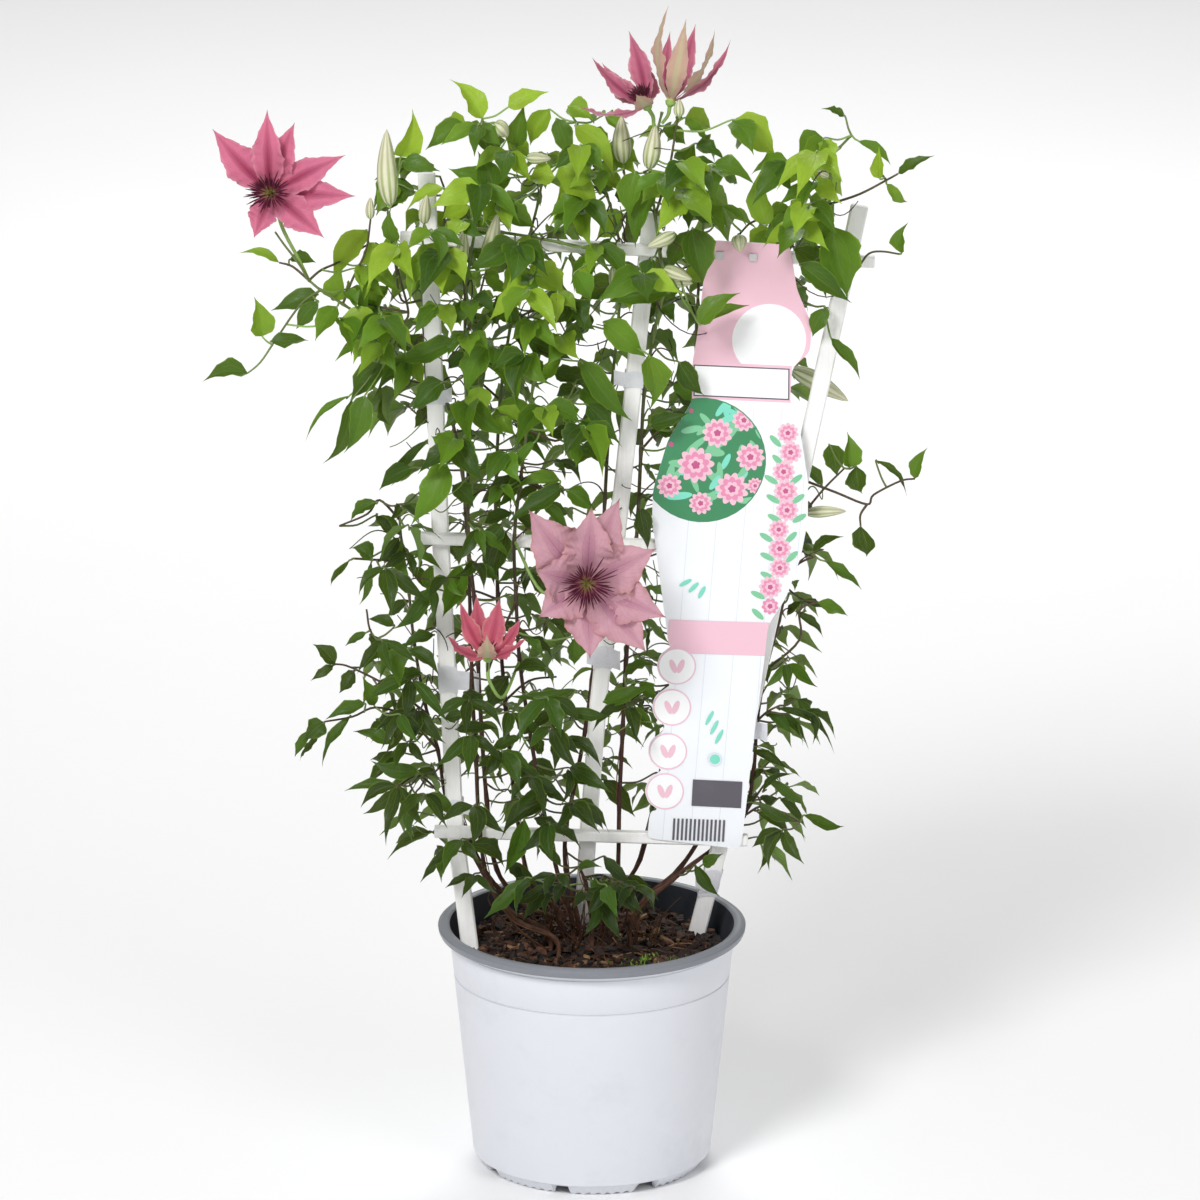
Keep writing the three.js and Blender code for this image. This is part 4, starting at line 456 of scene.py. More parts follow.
            (142, 544, 133, 525, 10, 4), (151, 662, 137, 668, 6, -6), (159, 647, 179, 631, 6, -6),
            (172, 625, 171, 645, 8, -4), (176, 621, 190, 607, 7, -6), (183, 627, 204, 640, 8, -6),
            (186, 577, 188, 596, 9, 0), (144, 525, 164, 501, 8, 6), (105, 596, 102, 632, 14, -8),
            (118, 604, 110, 586, 12, -12), (78, 608, 94, 596, 7, -8),
            (124, 577, 156, 553, 14, -22),
        ),
        buds=(
            (121, 500, 156, 479, 12, 8), (142, 624, 135, 627, 4, -2), (143, 617, 137, 612, 4, -4),
            (88, 590, 89, 580, 9, -6),
        ),
    ),
    Vine(
        "vine_arch",
        main=(
            (-27, 30, 146), (-57, 34, 163), (-76, 36, 195), (-87, 34, 235), (-91, 32, 287),
            (-93, 30, 352), (-96, 30, 416), (-100, 30, 479), (-102, 26, 542), (-100, 20, 578),
            (-89, 16, 589), (-73, 6, 591), (-55, 0, 590), (-37, -4, 588), (-19, -6, 585),
            (-1, -7, 581), (12, -7, 576), (27, -8, 570), (38, -11, 564),
        ),
        sprigs=(
            ((-102, 26, 542), (-115, 22, 543), (-119, 22, 568),),
            ((-89, 16, 589), (-88, 16, 609), (-91, 14, 621),),
            ((38, -11, 564), (51, -12, 557), (64, -12, 553),),
        ),
        leaves=(
            (-25, 571, 6, 574, 10, 2), (-73, 606, -90, 597, 12, 6), (-100, 570, -96, 586, 8, 16),
            (-83, 544, -79, 529, 8, 14), (-98, 474, -108, 463, 9, 20),
        ),
    ),
    Vine(
        "vine_back_left",
        main=(
            (-20, 40, 147), (-39, 52, 164), (-48, 58, 214), (-54, 58, 279), (-58, 56, 345),
            (-59, 54, 409), (-56, 52, 473), (-49, 48, 524), (-40, 42, 569), (-32, 36, 602),
            (-28, 30, 628),
        ),
        sprigs=(
            ((-58, 56, 345), (-76, 66, 348), (-94, 66, 342),),
            ((-56, 52, 473), (-70, 62, 483), (-87, 66, 495),),
            ((-59, 54, 409), (-44, 64, 419), (-27, 68, 425),),
            ((-54, 58, 279), (-39, 68, 289), (-22, 70, 291),),
            ((-49, 48, 524), (-32, 60, 528), (-16, 64, 522),),
        ),
    ),
    Vine(
        "vine_back_right",
        main=(
            (12, 44, 150), (30, 56, 176), (42, 62, 226), (50, 62, 278), (56, 60, 344),
            (60, 58, 408), (63, 56, 472), (64, 50, 524), (66, 40, 564), (68, 30, 591),
            (72, 22, 607),
        ),
        sprigs=(
            ((50, 62, 278), (35, 70, 282), (24, 72, 275),),
            ((60, 58, 408), (44, 68, 412), (33, 72, 404),),
            ((60, 58, 408), (76, 66, 425), (91, 70, 424),),
            ((63, 56, 472), (47, 66, 482), (34, 68, 487),),
            ((64, 50, 524), (81, 58, 534), (98, 60, 534),),
            ((42, 62, 226), (61, 66, 218), (78, 66, 212),),
        ),
    ),
    Vine(
        "basal_shoots",
        main=(
            (0, -22, 159), (-2, -26, 177), (-5, -28, 192), (-8, -28, 199),
        ),
        sprigs=(
            ((-5, -28, 192), (7, -30, 194), (15, -32, 189),),
            ((-2, -26, 177), (-16, -30, 188), (-24, -32, 190),),
        ),
        leaves=(
            (-28, 189, -49, 175, 6, -32), (-16, 191, -23, 178, 7, -34), (5, 194, 29, 180, 7, -32),
            (-1, 193, 12, 181, 7, -36), (-19, 199, -36, 214, 6, -26), (-8, 200, 6, 205, 7, -30),
        ),
    ),
)


def unit(v: np.ndarray) -> np.ndarray:
    """Scale a vector to length one."""
    return v / max(float(np.linalg.norm(v)), 1e-9)


def noise(a: float, b: float) -> float:
    """Return a repeatable draw between 0 and 1 for two seeds."""
    value = math.sin(a * 12.9898 + b * 78.233) * 43758.5453
    return value - math.floor(value)


def along(route: Sequence[Sequence[float]], step: float) -> list[np.ndarray]:
    """Return points along a route's straight stretches, at most a step apart.

    Args:
        route: The points of the route.
        step: The greatest gap between two points.

    Returns:
        The points, with both ends.
    """
    points = [np.array(p, float) for p in route]
    found: list[np.ndarray] = []
    for start, end in zip(points, points[1:]):
        count = max(1, math.ceil(float(np.linalg.norm(end - start)) / step))
        found.extend(start + (end - start) * (k / count) for k in range(count))
    found.append(points[-1])
    return found


def curve(route: Sequence[Sequence[float]], pieces: int) -> np.ndarray:
    """Return a smooth curve through a route's points.

    Args:
        route: The points to pass through.
        pieces: The number of stretches between two of them.

    Returns:
        The curve's points, one row each.
    """
    p = np.array(route, float)
    p = np.vstack([2 * p[0] - p[1], p, 2 * p[-1] - p[-2]])
    found = []
    for a, b, c, d in zip(p, p[1:], p[2:], p[3:]):
        for t in np.arange(pieces) / pieces:
            found.append(0.5 * (2 * b + (c - a) * t + (2 * a - 5 * b + 4 * c - d) * t**2
                                + (3 * b - a - 3 * c + d) * t**3))
    found.append(p[-2])
    return np.array(found)


def at_height(route: Sequence[Point], z: float) -> np.ndarray:
    """Return the point where a rising route passes a height.

    Args:
        route: The points of the route.
        z: The height.

    Returns:
        The point.
    """
    a, b = next((a, b) for a, b in zip(route, route[1:]) if b[2] >= z)
    t = (z - a[2]) / (b[2] - a[2])
    return np.array([a[0] + (b[0] - a[0]) * t, a[1] + (b[1] - a[1]) * t, z])


def inside(outline: Sequence[tuple[float, float]], x: float, z: float) -> bool:
    """Tell whether a place in the picture plane lies within an outline.

    Args:
        outline: The outline's points.
        x: The place's x.
        z: The place's z.

    Returns:
        True where it does.
    """
    found = False
    for (ax, az), (bx, bz) in zip(outline, [*outline[1:], outline[0]]):
        if (az > z) != (bz > z) and x < ax + (bx - ax) * (z - az) / (bz - az):
            found = not found
    return found


@dataclass
class Crowd:
    """Everything that stands or grows, kept in a grid of cells to find neighbours fast."""

    cell: float = 10
    cells: dict[tuple[int, int, int], list[tuple]] = field(default_factory=dict)

    def _place(self, p: Sequence[float]) -> tuple[int, int, int]:
        """Return the cell that a point lies in."""
        c = self.cell
        return math.floor(p[0] / c), math.floor(p[1] / c), math.floor(p[2] / c)

    def add(self, points: Sequence, owner: str, radius: float, blade: bool = False) -> None:
        """Note sample points with their owner and radius.

        Args:
            points: The sample points.
            owner: The name of what they belong to.
            radius: Their radius.
            blade: Whether they lie on a leaf blade.
        """
        for p in points:
            entry = (float(p[0]), float(p[1]), float(p[2]), owner, radius, blade)
            self.cells.setdefault(self._place(p), []).append(entry)

    def is_clear(self, points: Sequence, owner: str, gap: float, own_gap: float = 0) -> bool:
        """Tell whether points keep a gap to other owners and a smaller one to their own blades."""
        return all(self._point_clear(p, owner, gap, own_gap) for p in points)

    def _point_clear(self, p: Sequence[float], owner: str, gap: float, own_gap: float) -> bool:
        """Tell whether one point keeps its gaps.

        Args:
            p: The point.
            owner: The name of what they belong to.
            gap: The gap to everything else.
            own_gap: The smaller gap to the owner's own blades.

        Returns:
            True where it does.
        """
        i, j, k = self._place(p)
        x, y, z = float(p[0]), float(p[1]), float(p[2])
        for a in (i - 1, i, i + 1):
            for b in (j - 1, j, j + 1):
                for c in (k - 1, k, k + 1):
                    for ox, oy, oz, whose, radius, blade in self.cells.get((a, b, c), ()):
                        if whose != owner:
                            need = gap + radius
                        else:
                            need = own_gap if blade else 0
                        if (ox - x) ** 2 + (oy - y) ** 2 + (oz - z) ** 2 < need * need:
                            return False
        return True


@dataclass
class Leaf:
    """A leaf blade or a bud, with the petiole that carries it."""

    base: np.ndarray
    tip: np.ndarray
    up: np.ndarray
    width: float
    seed: float
    route: list[np.ndarray] | None = None

    @property
    def length(self) -> float:
        """The blade's length in millimetres."""
        return float(np.linalg.norm(self.tip - self.base))

    @property
    def age(self) -> float:
        """How bright the leaf looks: 0 for an old dark one, 1 for a new bright one; leaves behind are
        painted darker, as painted shade.
        """
        rise = min(1.0, max(0.0, (float(self.tip[2]) - OLD_LEAF_TOP) / FRESH_LEAF_RISE))
        tone_by_age_and_shade = 0.1 + 0.66 * rise**1.4 + 0.76 * (noise(self.seed, 8.1) - 0.5)
        # Leaves behind the middle are painted darker: painted shade.
        if self.base[1] > SHADED_BEHIND:
            tone_by_age_and_shade -= 0.15
        if self.width < SLIM_LEAF:
            tone_by_age_and_shade -= 0.14
        return min(1.0, max(0.0, tone_by_age_and_shade))

    def axes(self) -> tuple[np.ndarray, np.ndarray, np.ndarray]:
        """Return the unit vectors along the rib, across the blade and out of its face.

        Returns:
            The three unit vectors.
        """
        rib = unit(self.tip - self.base)
        across = unit(np.cross(rib, self.up))
        return rib, across, unit(np.cross(across, rib))

    def half_width(self, t: float) -> float:
        """Return half the blade's width at a fraction of its length, as the solids have it.

        Args:
            t: The fraction of the length.

        Returns:
            Half the width in millimetres.
        """
        if t < LEAF_SHOULDER:
            return self.width / 2 * t / LEAF_SHOULDER
        if t < LEAF_WAIST:
            past = (t - LEAF_SHOULDER) / (LEAF_WAIST - LEAF_SHOULDER)
            return self.width / 2 * (1 - (1 - LEAF_WAIST_WIDTH) * past)
        return self.width / 2 * LEAF_WAIST_WIDTH * (1 - t) / (1 - LEAF_WAIST)

    def samples(self) -> list[np.ndarray]:
        """Return sample points over the blade.

        Returns:
            The points.
        """
        rib, across, up = self.axes()
        length = self.length
        rows = max(2, math.ceil(length / LEAF_SAMPLE))
        found = []
        for i in range(rows + 1):
            t = i / rows
            half = self.half_width(t)
            cols = math.ceil(half / LEAF_SAMPLE)
            for k in range(-cols, cols + 1):
                u = k / cols if cols else 0
                lift = length * LEAF_ARCH * 4 * t * (1 - t)
                found.append(self.base + rib * length * t + across * half * u + up * lift)
        return found


def petiole_route(root: np.ndarray, base: np.ndarray) -> list[np.ndarray]:
    """Return the curve of a petiole from the stem to a leaf's base, sagging a little.

    Args:
        root: The place on the stem.
        base: The leaf's base.

    Returns:
        The route's three points.
    """
    middle = (root + base) / 2
    middle[2] -= 0.1 * float(np.linalg.norm(base - root))
    return [root, middle, base]


def row_leaf(row: Sequence[float], index: float, shift: float) -> Leaf:
    """Return one row of leaf data as a leaf that faces the front and a little up.

    Args:
        row: Base x, base z, tip x, tip z, width and depth y.
        index: Its number.
        shift: How far the leaf is moved in depth.

    Returns:
        The leaf.
    """
    bx, bz, tx, tz, width, y = row
    lean = 12 * (noise(index, 3.1) - 0.5)
    up = np.array([0.9 * (noise(index, 5.7) - 0.5), -1, 0.55 + 0.5 * noise(index, 7.3)])
    base = np.array([bx, y + shift, bz], float)
    tip = np.array([tx, y + shift + lean, tz], float)
    return Leaf(base, tip, up, width, index)


def stalk_route(bloom: Bloom) -> list[np.ndarray]:
    """Return the route of a flower stalk, which ends in line with the flower's axis.

    Args:
        bloom: The flower.

    Returns:
        The route's points.
    """
    centre = np.array(bloom.centre, float)
    ends = [centre - bloom.axis * 8, centre - bloom.axis * 2.9]
    return [*(np.array(p, float) for p in bloom.stalk), *ends]


@dataclass
class Grown:
    """What has grown from one stem."""

    vine: Vine
    leaves: list[Leaf] = field(default_factory=list)
    buds: list[Leaf] = field(default_factory=list)


@dataclass
class Garden:
    """Grows every vine by the shared rule, then fills the room that is left with more leaves."""

    pot: PotMaker
    trellis: TrellisMaker
    card: CardMaker
    leaf_gap: float = 4.4
    own_leaf_gap: float = 2.2
    own_leaf_gap_when_thick: float = 1.2
    petiole_gap: float = 2.2
    fill_length: float = 36
    fill_width: float = 17
    slim: float = 0.6
    slim_below: float = 450
    middle: float = 5
    reach: float = 150
    front: float = 75
    back: float = 98
    lowest: float = 160
    lowest_basal: float = 150
    highest: float = 655
    card_rows: range = range(202, 586, 5)
    card_step: float = 5
    pot_ring_radius: float = 90
    pot_ring_points: int = 90
    soil_rows: range = range(-84, 85, 7)
    soil_reach: float = 86
    fill_attempts: int = 6
    thick_attempts: int = 5
    crowd: Crowd = field(default_factory=Crowd)
    grown: list[Grown] = field(default_factory=list)

    def __post_init__(self) -> None:
        """Note all that stands, grow the vines from their rows, then fill the room left."""
        self._outline = self.card.plan()
        self._stand()
        for vine in VINES:
            rooted = [(*vine.main[0][:2], SOIL_TOP - ROOTING_DEPTH), *vine.main]
            stalks = [stalk_route(b) for b in BLOOMS if b.vine == vine.name]
            for route in [rooted, *vine.sprigs, *stalks]:
                self.crowd.add(along(route, STEM_STEP), vine.name, 2)
        self.grown = [self._grow(vine, order) for order, vine in enumerate(VINES)]
        for order, one in enumerate(self.grown):
            self._fill(one, order)
        for order, one in enumerate(self.grown):
            self._thicken(one, order)

    def _stand(self) -> None:
        """Note sample points of everything that the leaves keep clear of."""
        crowd = self.crowd
        for name, route in UPRIGHTS.items():
            for p in along(route, SOLID_STEP):
                crowd.add([p + (-3, 0, 0), p + (3, 0, 0)], name, 3.2)
        for ends in RAILS.values():
            crowd.add(along(ends, SOLID_STEP), "rail", 4.2)
        left = min(x for x, _ in CARD_LEFT_EDGE)
        right = max(x for x, _ in CARD_OUTLINE)
        for z in self.card_rows:
            for x in np.arange(left - 4, right, self.card_step):
                if inside(self._outline, x, z):
                    crowd.add([(x, self.card.middle_y, z)], "card", 1)
        for z in range(int(self.pot.height), 125, -6):
            count, reach = self.pot_ring_points, self.pot_ring_radius
            turns = [2 * math.pi * k / count for k in range(count)]
            crowd.add([(reach * math.cos(t), reach * math.sin(t), z) for t in turns], "pot", 5)
        for x in self.soil_rows:
            spots = [(x, y, SOIL_TOP) for y in self.soil_rows if math.hypot(x, y) < self.soil_reach]
            crowd.add(spots, "soil", 4)
        for tape in TAPES:
            self._stand_tape(tape)
        for bloom in BLOOMS:
            self._stand_bloom(bloom)

    def _stand_tape(self, tape: Tape) -> None:
        """Note sample points of a tape and its flags.

        Args:
            tape: The tape.
        """
        x, y, _ = at_height(UPRIGHTS[tape.upright], tape.z)
        for h in np.arange(-tape.height / 2, tape.height / 2 + 1e-9, 4):
            self.crowd.add([(x + dx, y, tape.z + h) for dx in (-4, 0, 4)], "tape", 4.6)
        for side, length, tall, drop in tape.flags:
            for reach in np.arange(0, length + 1e-9, 4):
                for h in np.arange(-tall / 2, tall / 2 + 1e-9, 4):
                    away = side * (self.trellis.upright_width / 2 + reach)
                    fall = drop * reach / length
                    self.crowd.add([(x + away, y - 4, tape.z + h + fall)], "tape", 1.5)

    def _stand_bloom(self, bloom: Bloom) -> None:
        """Note sample points of a flower's sepals and stamens.

        Args:
            bloom: The flower.
        """
        centre = np.array(bloom.centre, float)
        for tip in bloom.tips:
            rib = np.array(tip, float) - centre
            across = unit(np.cross(rib, bloom.axis))
            up = unit(np.cross(across, rib))
            for t in np.arange(0.1, 1.0001, 0.1):
                half = bloom.width * 0.5 * min(1, 2.4 * (1 - t))
                lift = bloom.arch * float(np.linalg.norm(rib)) * 4 * t * (1 - t)
                points = [centre + rib * t + across * u + up * lift for u in (-half, 0, half)]
                self.crowd.add(points, bloom.name, 2)
        self.crowd.add([centre + bloom.axis * 9], bloom.name, 8)

    def _has_room(self, leaf: Leaf, owner: str, own_gap: float) -> bool:
        """Tell whether a blade keeps its gaps."""
        return self.crowd.is_clear(leaf.samples(), owner, self.leaf_gap, own_gap)

    def _petiole_clear(self, route: list[np.ndarray], owner: str) -> bool:
        """Tell whether a petiole keeps its gap past its first points."""
        return self.crowd.is_clear(along(route, STEM_STEP)[2:], owner, self.petiole_gap)

    def _grow(self, vine: Vine, order: int) -> Grown:
        """Place a vine's rows of buds and leaves, each at the first depth that has room.

        Args:
            vine: The vine.
            order: The vine's place in the list.

        Returns:
            The vine with its leaves and buds.
        """
        grown = Grown(vine)
        stems = np.array([p for route in [vine.main, *vine.sprigs] for p in along(route, STEM_STEP)])
        for i, row in enumerate(vine.buds):
            for shift in DEPTH_TRIES:
                bud = row_leaf(row, order * 50 + i + 0.5, shift)
                bud.route = self._joined(stems, bud.base)
                samples = along([bud.base, bud.tip], STEM_STEP)
                free = self.crowd.is_clear(samples, vine.name, 2 + bud.width / 2)
                if free and self._petiole_clear(bud.route, vine.name):
                    self._keep(grown.buds, bud, samples, vine.name)
                    break
        for i, row in enumerate(vine.leaves):
            for shift in DEPTH_TRIES:
                leaf = row_leaf(row, order * 100 + i, shift)
                leaf.route = self._joined(stems, leaf.base)
                free = self._has_room(leaf, vine.name, self.own_leaf_gap)
                if free and self._petiole_clear(leaf.route, vine.name):
                    self._keep(grown.leaves, leaf, leaf.samples(), vine.name)
                    break
        return grown

    @staticmethod
    def _joined(stems: np.ndarray, base: np.ndarray) -> list[np.ndarray]:
        """Return the route of the petiole from the nearest place on the stems."""
        nearest = stems[int(np.argmin(((stems - base) ** 2).sum(axis=1)))]
        return petiole_route(nearest.copy(), base)

    def _keep(self, kept: list[Leaf], leaf: Leaf, samples: list, owner: str) -> None:
        """Keep a leaf or bud and note the room that it takes.

        Args:
            kept: The list that it goes to.
            leaf: The leaf.
            samples: Its sample points.
            owner: The name of what they belong to.
        """
        self.crowd.add(samples, owner, 0, True)
        if leaf.route:
            self.crowd.add(along(leaf.route, STEM_STEP), owner, 1)
        kept.append(leaf)

    def _leaflets(self, root: np.ndarray, turn: float, seed: float,
                  size: float = 1) -> tuple[list[Leaf], list[np.ndarray]]:
        """Return the three leaflets of a rule-placed leaf and the route of its petiole.

        Args:
            root: The place on the stem.
            turn: The direction in radians.
            seed: The seed of its repeatable draws.
            size: The leaf's size against the usual one.

        Returns:
            The leaflets and the route.
        """
        slim = self.slim if root[2] < self.slim_below else 1
        out = np.array([math.cos(turn), math.sin(turn), 0.25])
        end = root + out * size * (22 + 16 * noise(seed, 1.3))
        end[2] -= 4
        face = np.array([out[0] * 0.4, 0.8 if root[1] > 20 else -0.9, 0.75])
        parts = []
        for k, swing in enumerate((0, 1.15, -1.15)):
            way = turn + swing
            scale = size * (0.85 if k else 1)
            length = self.fill_length * scale * (0.8 + 0.4 * noise(seed, 2.9 + k))
            droop = -0.35 - 0.7 * noise(seed, 6.1 + k)
            rib = unit(np.array([math.cos(way), math.sin(way), droop]))
            width = self.fill_width * slim * scale * (0.8 + 0.4 * noise(seed, 9.7 + k))
            parts.append(Leaf(end + rib, end + rib * length, face, width, seed + k))
        return parts, petiole_route(root, end)

    def _try_leaf(self, grown: Grown, parts: list[Leaf], route: list[np.ndarray],
                  own_gap: float) -> bool:
        """Keep a leaf of three leaflets where all of them have room.

        Args:
            grown: What has grown on the vine so far.
            parts: The leaflets.
            route: The petiole's route.
            own_gap: The smaller gap to the owner's own blades.

        Returns:
            True where it was kept.
        """
        name = grown.vine.name
        hangs = name == "basal_shoots" and own_gap < self.own_leaf_gap
        lowest = self.lowest_basal if hangs else self.lowest
        within = all(abs(p.tip[0] - self.middle) < self.reach and -self.front < p.tip[1] < self.back
                     and lowest < p.tip[2] < self.highest for p in parts)
        if not within or not self._petiole_clear(route, name):
            return False
        if not all(self._has_room(p, name, own_gap) for p in parts):
            return False
        for k, part in enumerate(parts):
            part.route = None if k else route
            self._keep(grown.leaves, part, part.samples(), name)
        return True

    def _fill(self, grown: Grown, order: int) -> None:
        """Place leaves at the stem's joints, turned by the golden angle from joint to joint.

        Args:
            grown: What has grown on the vine so far.
            order: The vine's place in the list.
        """
        vine = grown.vine
        joints = [*vine.main[4:-1], *(p for route in vine.sprigs for p in route[1:])]
        for i, joint in enumerate(joints):
            seed = order * 31 + i * 1.7
            if noise(seed, 4.4) > FILL_SHARES[vine.name]:
                continue
            for attempt in range(self.fill_attempts):
                turn = GOLDEN_ANGLE * (i + attempt) + order
                parts, route = self._leaflets(np.array(joint, float), turn, seed + attempt * 0.37)
                if self._try_leaf(grown, parts, route, self.own_leaf_gap):
                    break

    def _thicken(self, grown: Grown, order: int) -> None:
        """Add further leaves all along the stem, where they fit and hide neither card nor bloom.

        Args:
            grown: What has grown on the vine so far.
            order: The vine's place in the list.
        """
        vine = grown.vine
        low = vine.name == "basal_shoots"
        spots = [*along(vine.main[1 if low else 2:], 5 if low else 12)[1:]]
        for route in vine.sprigs:
            spots.extend(along(route, 7 if low else 24)[1:])
        for i, root in enumerate(spots):
            seed = 500 + order * 61 + i * 2.3
            for attempt in range(self.thick_attempts):
                turn = GOLDEN_ANGLE * (i + 2 * attempt) + order
                size = 0.62 + 0.42 * noise(seed, attempt + 0.5)
                parts, route = self._leaflets(root, turn, seed + attempt * 0.41, size)
                if any(self._hides(p) for p in parts):
                    continue
                if self._try_leaf(grown, parts, route, self.own_leaf_gap_when_thick):
                    break

    def _hides(self, leaf: Leaf) -> bool:
        """Tell whether a leaf would stand in front of the card or a flower.

        Args:
            leaf: The leaf.

        Returns:
            True where it would.
        """
        for p in (leaf.base, (leaf.base + leaf.tip) / 2, leaf.tip):
            if p[1] < 0 and inside(self._outline, p[0], p[2]):
                return True
            for bloom in BLOOMS:
                reach = math.hypot(p[0] - bloom.centre[0], p[2] - bloom.centre[2])
                if p[1] < bloom.centre[1] + 12 and reach < 2.1 * bloom.width:
                    return True
        return False


def colour(code: str) -> Colour:
    """Turn a six-digit display colour into the linear colour that the shaders take.

    Args:
        code: Six hexadecimal digits.

    Returns:
        Linear red, green, blue and alpha.
    """
    found = []
    for k in (0, 2, 4):
        c = int(code[k:k + 2], 16) / 255
        found.append(c / 12.92 if c <= 0.04045 else ((c + 0.055) / 1.055) ** 2.4)
    return found[0], found[1], found[2], 1.0


class Slot(Enum):
    """The material slots of the part's record."""

    POT = "pot_plastic"
    SOIL = "potting_soil"
    WOOD = "painted_wood"
    TAPE = "tie_tape"
    CARD = "label_card"
    PIN = "pin_plastic"
    SEPALS = "sepals"
    STAMENS = "stamens"
    FOLIAGE = "foliage"


@dataclass(frozen=True)
class Value:
    """A value or colour at a node's output, on which sums are written as on a number."""

    graph: Graph
    socket: bpy.types.NodeSocket

    def __add__(self, other: object) -> Value:
        """Return the sum with something after it."""
        return self.graph.math("ADD", self, other)

    def __radd__(self, other: object) -> Value:
        """Return the sum with something before it."""
        return self.graph.math("ADD", other, self)

    def __sub__(self, other: object) -> Value:
        """Return it less something."""
        return self.graph.math("SUBTRACT", self, other)

    def __rsub__(self, other: object) -> Value:
        """Return something less it."""
        return self.graph.math("SUBTRACT", other, self)

    def __mul__(self, other: object) -> Value:
        """Return the product."""
        return self.graph.math("MULTIPLY", self, other)

    def __abs__(self) -> Value:
        """Return its size without a sign."""
        return self.graph.math("ABSOLUTE", self)


@dataclass
class Graph:
    """Adds shader nodes to one node tree and joins them up."""

    tree: bpy.types.NodeTree
    placed: int = 0

    def node(self, kind: str, settings: dict | None = None, **inputs: object) -> bpy.types.Node:
        """Add a node.

        Args:
            kind: The node's type.
            settings: The properties to set on it.
            inputs: Values or sockets for its inputs, with _ for a space in their names.

        Returns:
            The node.
        """
        made = self.tree.nodes.new(kind)
        made.location = (180 * (self.placed % 12), -260 * (self.placed // 12))
        self.placed += 1
        for key, value in (settings or {}).items():
            setattr(made, key, value)
        for key, value in inputs.items():
            self.feed(made.inputs[key.replace("_", " ")], value)
        return made

    def read(self, kind: str, settings: dict | None = None, **inputs: object) -> dict[str, Value]:
        """Add a node and return its outputs by name.

        Args:
            kind: The node's type.
            settings: The properties to set on it.
            inputs: Values or sockets for its inputs.

        Returns:
            The outputs.
        """
        made = self.node(kind, settings, **inputs)
        return {socket.name: Value(self, socket) for socket in made.outputs}

    def feed(self, socket: bpy.types.NodeSocket, value: object) -> None:
        """Link a socket to an input, or set a value on it; a text is a display colour's code.

        Args:
            socket: The input's socket.
            value: A socket, a value or a colour's code.
        """
        source = value.socket if isinstance(value, Value) else value
        if isinstance(source, bpy.types.NodeSocket):
            self.tree.links.new(source, socket)
        else:
            socket.default_value = colour(source) if isinstance(source, str) else source

    def math(self, operation: str, a: object, b: object = 0.0) -> Value:
        """Return the result of a sum on two values.

        Args:
            operation: The sum's name in Blender.
            a: The first value.
            b: The second value.

        Returns:
            The result.
        """
        made = self.node("ShaderNodeMath", {"operation": operation})
        self.feed(made.inputs[0], a)
        self.feed(made.inputs[1], b)
        return Value(self, made.outputs[0])

    def mix(self, share: object, a: object, b: object, blend: str = "MIX") -> Value:
        """Return two colours mixed.

        Args:
            share: The share of the second one.
            a: The first colour.
            b: The second colour.
            blend: The way they are mixed.

        Returns:
            The result.
        """
        made = self.node("ShaderNodeMix", {"data_type": "RGBA", "blend_type": blend})
        for place, item in ((0, share), (6, a), (7, b)):
            self.feed(made.inputs[place], item)
        return Value(self, made.outputs[2])

    def ranged(self, value: object, low: object, high: object, start: object = 0.0,
               end: object = 1.0) -> Value:
        """Return a value moved from one range to another, held within it.

        Args:
            value: The value.
            low: Where the first range starts.
            high: Where it ends.
            start: Where the second range starts.
            end: Where it ends.

        Returns:
            The result.
        """
        made = self.node("ShaderNodeMapRange", {"interpolation_type": "SMOOTHSTEP"})
        for place, item in enumerate((value, low, high, start, end)):
            self.feed(made.inputs[place], item)
        return Value(self, made.outputs[0])

    def ramp(self, value: object, stops: Stops) -> Value:
        """Return a colour from a row of stops.

        Args:
            value: The value.
            stops: Rows of a place and a colour's code.

        Returns:
            The result.
        """
        made = self.node("ShaderNodeValToRGB")
        self.feed(made.inputs[0], value)
        elements = made.color_ramp.elements
        while len(elements) < len(stops):
            elements.new(0.5)
        for element, (place, code) in zip(elements, stops):
            element.position = place
            element.color = colour(code)
        return Value(self, made.outputs[0])

    def clouds(self, vector: object, scale: object, detail: float = 3.0,
               roughness: float = 0.55) -> Value:
        """Return a cloudy value between 0 and 1.

        Args:
            vector: The place.
            scale: The number of clouds in a metre.
            detail: The number of finer layers.
            roughness: How strong the finer layers are.

        Returns:
            The result.
        """
        made = self.node("ShaderNodeTexNoise", Vector=vector, Scale=scale, Detail=detail,
                         Roughness=roughness)
        return Value(self, made.outputs[0])

    def place(self) -> Value:
        """Return the place on the object."""
        return self.read("ShaderNodeTexCoord")["Object"]

    def bump(self, height: object, strength: float, distance: float) -> Value:
        """Return a normal roughened by a height."""
        return self.read("ShaderNodeBump", Strength=strength, Distance=distance, Height=height)["Normal"]

    def group(self, tree: bpy.types.NodeTree, **inputs: object) -> dict[str, Value]:
        """Place a node group and return its outputs by name."""
        return self.read("ShaderNodeGroup", {"node_tree": tree}, **inputs)


